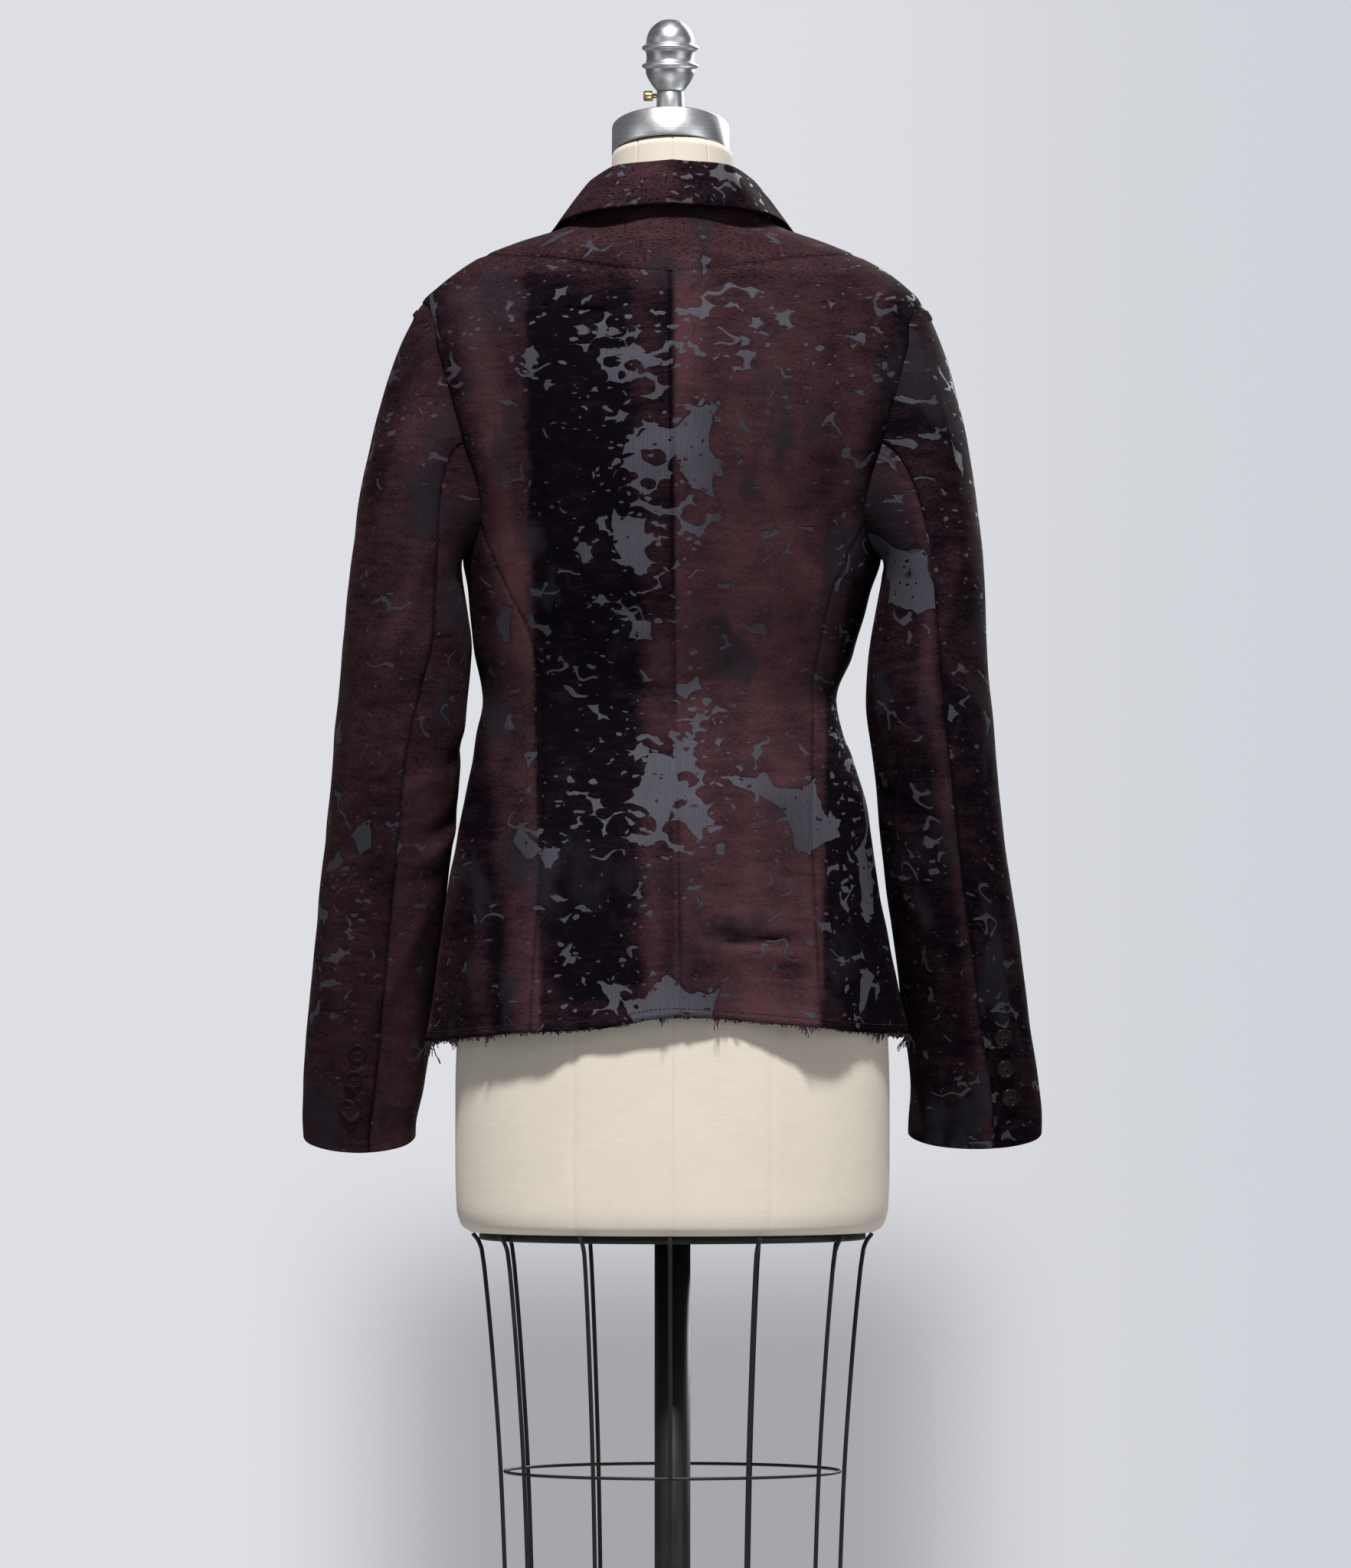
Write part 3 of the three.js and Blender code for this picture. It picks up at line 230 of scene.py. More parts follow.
def crease_rise(creases: Sequence[Crease], degrees: Array, z: Array, scale: float) -> Array:
    """How far a set of creases stands out.

    Args:
        creases: the ridges and valleys.
        degrees: turns round the piece.
        z: heights, in millimetres.
        scale: millimetres round the piece in one degree.

    Returns:
        The height at each place, in millimetres.
    """
    rise = np.zeros(np.broadcast(degrees, z).shape)
    for crease in creases:
        d = wrapped(degrees - crease.turn) * scale
        h = z - crease.z
        a = crease.lean * DEG
        along = h * math.cos(a) + d * math.sin(a)
        off = d * math.cos(a) - h * math.sin(a)
        rise = rise + crease.rise * np.exp(-((off / crease.width) ** 2) - (along / crease.length) ** 4)
    return rise


@dataclass
class BodyShape:
    """The rings of the jacket's body and the lines that its pieces meet on."""

    mid_y: float = -6
    tip_z: float = 1378
    underarm_z: float = 1175
    chest_z: float = 1203
    ridge_z: float = 1416
    back_yoke_z: float = 1400
    break_z: float = 1115
    neck_z: float = 1449
    neck_turn: float = 103 * DEG
    overlap: float = 14
    crease_radius: float = 132
    rings: Table = field(
        default_factory=lambda: Table(
            "z left right back front backPower frontPower",
            [
                (780, 200, 192, 113, -126, 2.15, 2.1), (800, 194.5, 187, 112, -124, 2.15, 2.1),
                (850, 187, 176, 109, -122, 2.15, 2.1), (900, 179.5, 166, 105, -120, 2.15, 2.1),
                (950, 171.3, 158, 97, -118, 2.12, 2.1), (978, 166, 154.5, 90, -115, 2.1, 2.1),
                (1014, 159, 143.6, 80, -108, 2.08, 2.1), (1038, 155.5, 134.5, 74, -103, 2.06, 2.1),
                (1063, 150.5, 130, 70, -100, 2.05, 2.1), (1100, 157, 143, 75, -104, 2.06, 2.1),
                (1150, 162.5, 158, 88, -113, 2.1, 2.1), (1175, 166, 165, 92, -119, 2.1, 2.1),
                (1203, 168, 168, 95, -127, 2.1, 2.1), (1235, 178, 179, 99, -131, 2.15, 2.15),
                (1266, 192, 193, 101, -126, 2.2, 2.15), (1306, 202, 202, 101, -111, 2.2, 2.15),
                (1341, 206, 206, 97, -94, 2.2, 2.1), (1356, 203.5, 203.5, 94, -88, 2.1, 2.05),
                (1378, 198, 197, 88, -80, 2.0, 2.0), (1390, 186, 186, 84, -76, 1.9, 1.9),
                (1402, 171, 171, 79, -72, 1.85, 1.85), (1414, 152, 149, 75, -69, 1.8, 1.8),
                (1426, 122, 120, 71, -66, 1.75, 1.75), (1438.5, 84, 85, 66, -62, 1.75, 1.75),
                (1445, 76, 76, 63, -60, 1.85, 1.85), (1450, 71, 71, 60, -58, 2.0, 2.0),
                (1456, 64, 64, 57, -55, 2.0, 2.0),
            ],
        )
    )
    # turn, width (degrees), rise, height where it fades out, height where it is full
    folds: Sequence[tuple[float, float, float, float, float]] = (
        (52, 10, 9, 985, 800), (33, 8, -4, 940, 800), (74, 9, -5, 960, 800), (-48, 11, 7, 960, 800),
        (-22, 10, -5, 930, 800), (-70, 9, -5, 960, 800), (112, 11, 5, 960, 800), (-114, 12, 6, 960, 800),
        (138, 9, -4, 940, 800), (-140, 10, -4, 940, 800),
    )
    hem: Table = field(
        default_factory=lambda: Table(
            "turn z",
            [
                (-200, 791), (-180, 791), (-120, 795), (-90, 799), (-60, 803), (-25, 812), (0, 815), (31, 805),
                (50, 802), (70, 797), (90, 794), (130, 791), (180, 791), (200, 791),
            ],
        )
    )
    centre_back: Table = field(
        default_factory=lambda: Table(
            "z x", [(780, -6.9), (813, -6.7), (1101, -1.8), (1400, 2.4), (1470, 2.4)]
        )
    )
    princess: Table = field(
        default_factory=lambda: Table(
            "z left right",
            [
                (780, 107, 110), (806, 106.6, 110), (954, 101.8, 110.2), (1073, 104.2, 111.4), (1106, 110, 116),
                (1128, 118, 119.8), (1148, 126, 125.5), (1167, 134.5, 134), (1203, 147, 152), (1210, 149, 155),
            ],
        )
    )
    neck_line: Table = field(
        default_factory=lambda: Table("turn z", [(0, 1453.5), (90, 1450), (103, 1449)])
    )
    creases: Sequence[Crease] = (
        Crease(-28, 877, 86, 34, 4.5, -4.4), Crease(-29, 865, 84, 36, 8, 3.4), Crease(-18, 900, 76, 30, 8, 2.2),
        Crease(60, 1285, -6, 70, 9, 2.2), Crease(50, 1275, -6, 75, 7, -1.8), Crease(63, 1150, -22, 60, 9, 2.0),
        Crease(54, 1120, -24, 60, 8, -1.6), Crease(-61, 1290, 8, 70, 10, 1.8),
        Crease(-52, 1250, 12, 70, 9, -1.4), Crease(-66, 1120, 26, 46, 8, 1.6),
        Crease(24, 1075, 78, 36, 8, -1.4), Crease(22, 1060, 74, 36, 9, 1.3),
        Crease(-26, 1085, -76, 38, 9, -1.3), Crease(-25, 1066, -78, 34, 9, 1.2),
        Crease(18, 960, 10, 90, 14, 1.2), Crease(-14, 990, -8, 80, 13, 1.2),
        Crease(70, 1010, -18, 60, 10, -1.8), Crease(80, 940, -10, 80, 12, 2.0),
        Crease(-78, 985, 16, 70, 11, 1.8), Crease(30, 1370, 60, 40, 10, 1.2),
        Crease(-34, 1362, -58, 44, 11, 1.4), Crease(128, 1290, 30, 50, 10, 1.6),
        Crease(-128, 1270, -34, 55, 10, 1.6), Crease(112, 1120, 40, 48, 9, 1.7),
        Crease(-110, 1130, -42, 52, 9, 1.7), Crease(150, 1075, 74, 44, 9, -1.5),
        Crease(-148, 1062, -72, 46, 9, -1.5), Crease(140, 930, 12, 80, 12, 1.6),
        Crease(-136, 950, -10, 80, 12, 1.6), Crease(160, 1200, 50, 40, 9, 1.2),
        Crease(-40, 852, 84, 20, 9, -1.8), Crease(-2, 1350, 3, 46, 5, 1.2), Crease(4, 1330, -2, 60, 5, -0.9),
        Crease(38, 1372, 66, 30, 7, -1.4), Crease(-44, 1240, 24, 60, 8, -1.2),
        Crease(-48, 1190, 22, 60, 7, 1.3), Crease(46, 880, 6, 90, 9, 2.2), Crease(58, 860, 4, 90, 8, -2.0),
        Crease(66, 850, -4, 90, 8, 1.8), Crease(10, 850, 14, 60, 10, 1.4), Crease(-50, 860, -8, 70, 9, 1.6),
        Crease(20, 1130, 82, 26, 6, -1.2), Crease(-20, 1052, 84, 30, 6, 1.1),
    )
    arcs: tuple[Array, Array, Array, Array] = field(init=False)

    def __post_init__(self) -> None:
        """Measures the cloth's own coordinates once."""
        turns = np.linspace(-1.12 * math.pi, 1.12 * math.pi, 225)
        levels = np.linspace(780, 1456, 136)
        points = self.plain(turns[None, :], levels[:, None])
        u = np.cumsum(np.linalg.norm(np.diff(points, axis=1, prepend=points[:, :1]), axis=-1), axis=1)
        u -= u[:, [112]]
        v = np.cumsum(np.linalg.norm(np.diff(points, axis=0, prepend=points[:1]), axis=-1), axis=0)
        self.arcs = (turns, levels, u, v)

    def cloth_place(self, turn: Array, z: Array) -> Array:
        """The place on the flat cloth, in metres, of places on the body."""
        turns, levels, u, v = self.arcs
        i = np.clip((turn - turns[0]) / (turns[1] - turns[0]), 0, len(turns) - 1.001)
        j = np.clip((z - levels[0]) / (levels[1] - levels[0]), 0, len(levels) - 1.001)
        i0, j0 = i.astype(int), j.astype(int)
        a, b = i - i0, j - j0
        parts = []
        for grid in (u, v):
            low = lerp(grid[j0, i0], grid[j0, i0 + 1], a)
            high = lerp(grid[j0 + 1, i0], grid[j0 + 1, i0 + 1], a)
            parts.append(lerp(low, high, b) * MM)
        return np.stack(parts, axis=-1)

    def plain(self, turn: Array, z: Array, out: Array | float = 0) -> Array:
        """Points of the smooth body, without folds. Turn 0 is the centre back."""
        turn, z = np.broadcast_arrays(np.asarray(turn, float), np.asarray(z, float))
        s, c = np.sin(turn), np.cos(turn)
        half = np.where(s >= 0, self.rings.at("left", z), self.rings.at("right", z))
        back = self.rings.at("back", z) - self.mid_y
        front = self.mid_y - self.rings.at("front", z)
        deep = np.where(c >= 0, back, front)
        power = np.where(c >= 0, self.rings.at("backPower", z), self.rings.at("frontPower", z))
        r = (np.abs(s / half) ** power + np.abs(c / deep) ** power) ** (-1 / power) + out
        return np.stack([r * s, self.mid_y + r * c, z], axis=-1)

    def fold_rise(self, turn: Array, z: Array) -> Array:
        """How far the large folds stand out."""
        rise = np.zeros(np.broadcast(turn, z).shape)
        for at, width, high, none, full in self.folds:
            rise = rise + high * bell(wrapped(np.asarray(turn) / DEG - at), 0, width) * ease(none, full, z)
        return rise

    def fine_rise(self, turn: Array, z: Array) -> Array:
        """How far the small creases stand out."""
        rise = 0.55 * waves(turn * 135, z, 5, 95) + 0.3 * waves(turn * 135, z, 8, 38)
        degrees = wrapped(np.asarray(turn) / DEG)
        open_hem = bell(z, 790, 30) * ease(-62, -50, degrees) * (1 - ease(43, 50, degrees))
        rise = rise + 7 * open_hem - 1.1 * bell(degrees, 0, 1.2) * ease(780, 830, z)
        ripple = np.sin(z / 5.2 + 1.4 * np.sin(z / 23)) * np.exp(-((np.abs(degrees) - 2.6) / 2.2) ** 2)
        rise = rise + 0.34 * ripple * ease(1060, 1160, z)
        rise = rise + crease_rise(self.creases, degrees, z, self.crease_radius * DEG)
        return rise * (1 - 0.75 * ease(1396, 1420, z))

    def point(self, turn: Array, z: Array) -> Array:
        """Points of the body with its large folds."""
        return self.plain(turn, z, self.fold_rise(turn, z))

    def normal(self, turn: Array, z: Array) -> Array:
        """Outward directions of the body."""
        across = self.point(turn + 0.01, z) - self.point(turn - 0.01, z)
        up = self.point(turn, z + 1.5) - self.point(turn, z - 1.5)
        return unit(np.cross(up, across))

    def turn_at_x(self, side: int, z: Array, x: Array, low: float, high: float) -> Array:
        """The turn on one side at which a ring has a distance x from the middle."""
        z, x = np.broadcast_arrays(np.asarray(z, float), np.asarray(x, float))
        a, b = np.full(z.shape, float(low)), np.full(z.shape, float(high))
        rising = side * self.plain(side * b, z)[..., 0] > side * self.plain(side * a, z)[..., 0]
        for _ in range(30):
            m = (a + b) / 2
            up = (side * self.plain(side * m, z)[..., 0] < x) == rising
            a, b = np.where(up, m, a), np.where(up, b, m)
        return (a + b) / 2

    def turn_at_y(self, side: int, z: Array, y: Array) -> Array:
        """The turn on one side at which a ring has a depth y."""
        z, y = np.broadcast_arrays(np.asarray(z, float), np.asarray(y, float))
        a, b = np.zeros(z.shape), np.full(z.shape, math.pi)
        for _ in range(30):
            m = (a + b) / 2
            up = self.plain(side * m, z)[..., 1] > y
            a, b = np.where(up, m, a), np.where(up, b, m)
        return (a + b) / 2

    def hem_z(self, side: int, turn: Array) -> Array:
        """Height of the raw hem."""
        return self.hem.at("z", side * turn / DEG)

    def yoke_z(self, turn: Array) -> Array:
        """Height of the yoke's seam."""
        return lerp(self.back_yoke_z, self.ridge_z, np.abs(np.sin(turn)) ** 2)

    @property
    def junction(self) -> float:
        """Angle on the armhole where the princess seam ends, in degrees."""
        return math.acos((self.chest_z - (self.tip_z + self.underarm_z) / 2) / 101.5) / DEG

    def armhole(self, side: int, angle: Array) -> tuple[Array, Array]:
        """Height and turn on the armhole: 0 is the tip, 90 the back, 180 the underarm."""
        a = np.asarray(angle, float) * DEG
        z = (self.tip_z + self.underarm_z) / 2 + 101.5 * np.cos(a)
        s = np.sin(a)
        wide = np.where(s > 0, 60, 62)
        y = self.mid_y + np.sign(s) * wide * np.abs(s) ** 0.75
        return z, self.turn_at_y(side, z, y)

    def princess_turn(self, side: int, z: Array) -> Array:
        """Turn of the princess seam, led into the armhole's corner."""
        name = "left" if side > 0 else "right"
        raw = self.turn_at_x(side, z, self.princess.at(name, z), 0, math.pi / 2)
        top = self.turn_at_x(side, self.chest_z, self.princess.at(name, self.chest_z), 0, math.pi / 2)
        corner = self.armhole(side, self.junction)[1] - top
        return raw + corner * ease(1110, self.chest_z, z)

    def edge_turn(self, side: int, z: Array) -> Array:
        """Turn of the front edge, and of the lapel's roll above it."""
        top = abs(float(self.plain(side * self.neck_turn, self.neck_z)[0]))
        share = np.maximum(0, (np.asarray(z, float) - self.break_z) / (self.neck_z - self.break_z))
        return self.turn_at_x(side, z, lerp(-self.overlap, top, share), math.pi / 2, math.pi * 1.3)

    def lift(self, side: int, turn: Array, z: Array) -> Array:
        """How far the right front stands off over the left one."""
        if side > 0:
            return np.zeros(np.broadcast(turn, z).shape)
        near = 1 - ease(12 * DEG, 34 * DEG, math.pi - turn)
        return 3.2 * near * (1 - ease(1172, 1230, z))

    def seam_turn(self, side: int, z: Array) -> Array:
        """Turn of the centre back seam."""
        return side * self.centre_back.at("x", z) / (self.rings.at("back", z) - self.mid_y)


@dataclass
class SleeveShape:
    """The rings of one sleeve, from the armhole to the cuff."""

    body: BodyShape
    side: Side
    top_z: float = 1158
    fore_turn: float = 232
    columns: int = 20
    hind_at: int = 4
    fore_at: int = 14

    def __post_init__(self) -> None:
        """Chooses the tables of this side."""
        loop = [0, 24, 48, 72, 97, 117]
        j = self.body.junction
        loop += [lerp(j, 180, i / 4) for i in range(5)]
        loop += [360 - a for a in reversed(loop[1:-1])]
        self.loop = np.array([*loop, 360.0])
        if self.side is Side.LEFT:
            rows = [
                (700, 294.5, 45, -64, 34), (723, 294.5, 45, -61, 34), (760, 294, 48.5, -53, 37),
                (808, 290, 50, -42, 41), (857, 285, 49.9, -30, 45), (905, 280.6, 50.7, -19, 49),
                (954, 274.5, 50.6, -9, 53), (1002, 270, 51, -1, 56), (1050, 265, 50.8, 3, 58),
                (1099, 260, 50.8, 3, 61), (1158, 255, 44.5, 1, 65),
            ]
            hind = [(700, 101), (894, 100), (1001, 98), (1114, 114), (1158, 124)]
            self.cuff_z, self.slope = 717.0, -13.0
        else:
            rows = [
                (700, 294, 53, -64, 33), (723, 294, 53, -61, 33), (760, 291.5, 51, -53, 36),
                (808, 284, 50.5, -42, 40), (857, 277.6, 50, -30, 44), (905, 270, 49.7, -19, 48),
                (954, 263, 49.3, -9, 52), (1002, 258, 49, -1, 55), (1050, 253.5, 49.8, 3, 57),
                (1099, 248, 46.5, 3, 60), (1158, 246, 40.5, 1, 64),
            ]
            hind = [(700, 71), (774, 76), (954, 77), (1071, 77), (1158, 90)]
            self.cuff_z, self.slope = 719.0, -12.0
        self.rings = Table("z outer half midY deep", rows)
        self.hind = Table("z turn", hind)

    def tube(self, turn: Array, level: Array, share: Array) -> Array:
        """Points of the sleeve below its head."""
        half = self.rings.at("half", level)
        middle = self.rings.at("outer", level) - half
        x = self.side.value * (middle + half * np.cos(turn * DEG))
        y = self.rings.at("midY", level) + self.rings.at("deep", level) * np.sin(turn * DEG)
        z = level + self.slope * share * share * np.sin(turn * DEG)
        return np.stack(np.broadcast_arrays(x, y, z), axis=-1)

    def turns(self, index: Array, level: Array, share: Array) -> Array:
        """Turns round the sleeve of the columns of its grid."""
        index, level, share = np.broadcast_arrays(index, level, share)
        n = self.columns
        hind = self.hind.at("turn", level)
        wrapped = np.mod(index, n)
        angle = np.interp(wrapped, np.arange(n + 1), self.loop)
        signed = np.where(wrapped > self.fore_at, angle - 360, angle)
        under = (wrapped >= self.hind_at) & (wrapped <= self.fore_at)
        span = self.fore_at - self.hind_at
        lower = lerp(hind, self.fore_turn, (wrapped - self.hind_at) / span)
        u = np.mod(wrapped + n - self.fore_at, n) / (n - span)
        upper = lerp(self.fore_turn - 360, hind, u)
        shift = (hind - 97) * ease(20, 97, signed)
        j = self.body.junction
        shift = shift + (self.fore_turn - 360 + j) * ease(-20, -j, signed)
        return np.where(under, lower, lerp(signed + shift, upper, ease(0, 0.4, share)))

    def head(self, index: Array, v: Array) -> Array:
        """Points of the sleeve's head, from the armhole (v 0) to its first full ring (v 1)."""
        side = self.side.value
        angle = np.interp(np.mod(index, self.columns), np.arange(self.columns + 1), self.loop)
        z, turn = self.body.armhole(side, angle)
        p0 = self.body.point(side * turn, z)
        p3 = self.tube(self.turns(index, np.full(index.shape, self.top_z), 0), self.top_z, 0)
        long = np.linalg.norm(p3 - p0, axis=-1, keepdims=True)
        up = ((1 + np.cos(angle * DEG)) / 2)[..., None]
        away = unit(
            np.concatenate(
                [
                    side * lerp(0.93, 0.55, up**2),
                    0.42 * np.sin(angle * DEG)[..., None],
                    lerp(-0.25, -0.84, up**2),
                ],
                axis=-1,
            )
        )
        p1 = p0 + away * np.maximum(4, long * lerp(0.24, 0.2, up))
        down = np.concatenate([side * lerp(0, -5, up), 0 * up, long * lerp(0.3, 0.4, up)], axis=-1)
        p2 = p3 + down
        v = np.asarray(v)[..., None]
        return (1 - v) ** 3 * p0 + 3 * (1 - v) ** 2 * v * p1 + 3 * (1 - v) * v * v * p2 + v**3 * p3

    def middle(self, z: Array) -> Array:
        """Points of the sleeve's middle line."""
        x = self.side.value * (self.rings.at("outer", z) - self.rings.at("half", z))
        return np.stack([x, self.rings.at("midY", z), z], axis=-1)


# Sheets of cloth


@dataclass
class ClothSheet:
    """A sheet of cloth gathered from grids, made into a closed thin wall."""

    name: str
    wall: float = 1.8
    points: list[Array] = field(default_factory=list)
    normals: list[Array] = field(default_factory=list)
    places: list[Array] = field(default_factory=list)
    naps_and_light: list[Array] = field(default_factory=list)
    burns: list[Array] = field(default_factory=list)
    quads: list[Array] = field(default_factory=list)
    count: int = 0

    def add_grid(
        self, points: Array, normals: Array, places: Array, nap_and_light: Array, burn: Array, first: Array | None = None
    ) -> Array:
        """Adds a grid of the cloth's outer face.

        Args:
            points: rows by columns by 3, in millimetres.
            normals: outward directions of the same shape.
            places: places on the flat cloth, in metres.
            nap_and_light: how light the pile is, from 0 to 1: its nap with painted highlight and painted shade.
            burn: how much of the pile is burnt out there.
            first: numbers of points that already stand for the first column.

        Returns:
            The numbers of the grid's points, rows by columns.
        """
        rows, columns = points.shape[:2]
        numbers = np.full((rows, columns), -1)
        keep = np.ones((rows, columns), bool)
        if first is not None:
            numbers[:, 0] = first
            keep[:, 0] = False
        numbers[keep] = self.count + np.arange(int(keep.sum()))
        self.count += int(keep.sum())
        self.points.append(points[keep])
        self.normals.append(normals[keep])
        self.places.append(places[keep])
        self.naps_and_light.append(nap_and_light[keep])
        self.burns.append(burn[keep])
        quads = np.stack([numbers[:-1, :-1], numbers[:-1, 1:], numbers[1:, 1:], numbers[1:, :-1]], axis=-1)
        self.quads.append(quads.reshape(-1, 4))
        return numbers

    def build(self, material: Material) -> Item:
        """Closes the wall and makes the object.

        Args:
            material: the cloth's finish.

        Returns:
            The new object, at the origin.
        """
        outer = np.concatenate(self.points)
        normal = np.concatenate(self.normals)
        place = np.concatenate(self.places)
        quads = np.concatenate(self.quads)
        a, b, c, d = (outer[quads[:, k]] for k in range(4))
        facing = np.sum(np.cross(c - a, d - b) * normal[quads[:, 0]], axis=1).sum()
        if facing < 0:
            quads = quads[:, ::-1]
        n = len(outer)
        inner = outer - normal * self.wall
        edges = np.concatenate([quads[:, [0, 1]], quads[:, [1, 2]], quads[:, [2, 3]], quads[:, [3, 0]]])
        keys = edges[:, 0].astype(np.int64) * n + edges[:, 1]
        twins = edges[:, 1].astype(np.int64) * n + edges[:, 0]
        rim = edges[~np.isin(keys, twins)]
        walls = np.stack([rim[:, 1], rim[:, 0], rim[:, 0] + n, rim[:, 1] + n], axis=1)
        faces = np.concatenate([quads, quads[:, ::-1] + n, walls])
        smooth = np.concatenate([np.ones(2 * len(quads), bool), np.zeros(len(walls), bool)])
        mesh = bpy.data.meshes.new(self.name)
        vertices = np.concatenate([outer, inner]) * MM
        mesh.from_pydata(vertices.tolist(), [], faces.tolist())
        mesh.polygons.foreach_set("use_smooth", smooth)
        layer = mesh.uv_layers.new(name="cloth")
        loops = np.empty(len(mesh.loops), int)
        mesh.loops.foreach_get("vertex_index", loops)
        layer.data.foreach_set("uv", place[loops % n].ravel())
        for label, values in (("nap_and_light", self.naps_and_light), ("burn", self.burns)):
            attribute = mesh.attributes.new(label, "FLOAT", "POINT")
            flat = np.concatenate(values)
            attribute.data.foreach_set("value", np.concatenate([flat, flat]))
        mesh.materials.append(material)
        mesh.update()
        return new_item(self.name, mesh)


def new_item(name: str, data: bpy.types.ID) -> Item:
    """A new object of the scene, at the origin."""
    item = bpy.data.objects.new(name, data)
    bpy.context.scene.collection.objects.link(item)
    return item


def run_nodes(item: Item, tree: Tree, **values: object) -> Item:
    """Runs a node tree on an object.

    Args:
        item: the object that the tree starts from.
        tree: the geometry nodes.
        values: settings of the tree, by the names of its sockets.

    Returns:
        The result as a plain mesh.
    """
    modifier = item.modifiers.new(tree.name, "NODES")
    modifier.node_group = tree
    by_name = {s.name: s.identifier for s in tree.interface.items_tree if s.in_out == "INPUT"}
    for name, value in values.items():
        modifier[by_name[name]] = value
    return bake(item)


def edge_dip(points: Array, edges: str, deep: float = 0.9, wide: float = 2.4) -> Array:
    """How far a grid turns in at its sewn edges.

    Args:
        points: rows by columns by 3.
        edges: any of the letters s (first column), e (last column), b (first row), t (last row).
        deep: depth at the edge, in millimetres.
        wide: width of the turn, in millimetres.

    Returns:
        The depth at each point, zero or less.
    """
    rise = np.zeros(points.shape[:2])
    for axis, low, high in ((1, "s", "e"), (0, "b", "t")):
        step = np.linalg.norm(np.diff(points, axis=axis), axis=-1)
        run = np.cumsum(step, axis=axis)
        zero = np.zeros_like(np.take(run, [0], axis=axis))
        run = np.concatenate([zero, run], axis=axis)
        end = np.take(run, [-1], axis=axis)
        if low in edges:
            rise -= deep * bell(run, 0, wide)
        if high in edges:
            rise -= deep * bell(end, run, wide)
    return rise


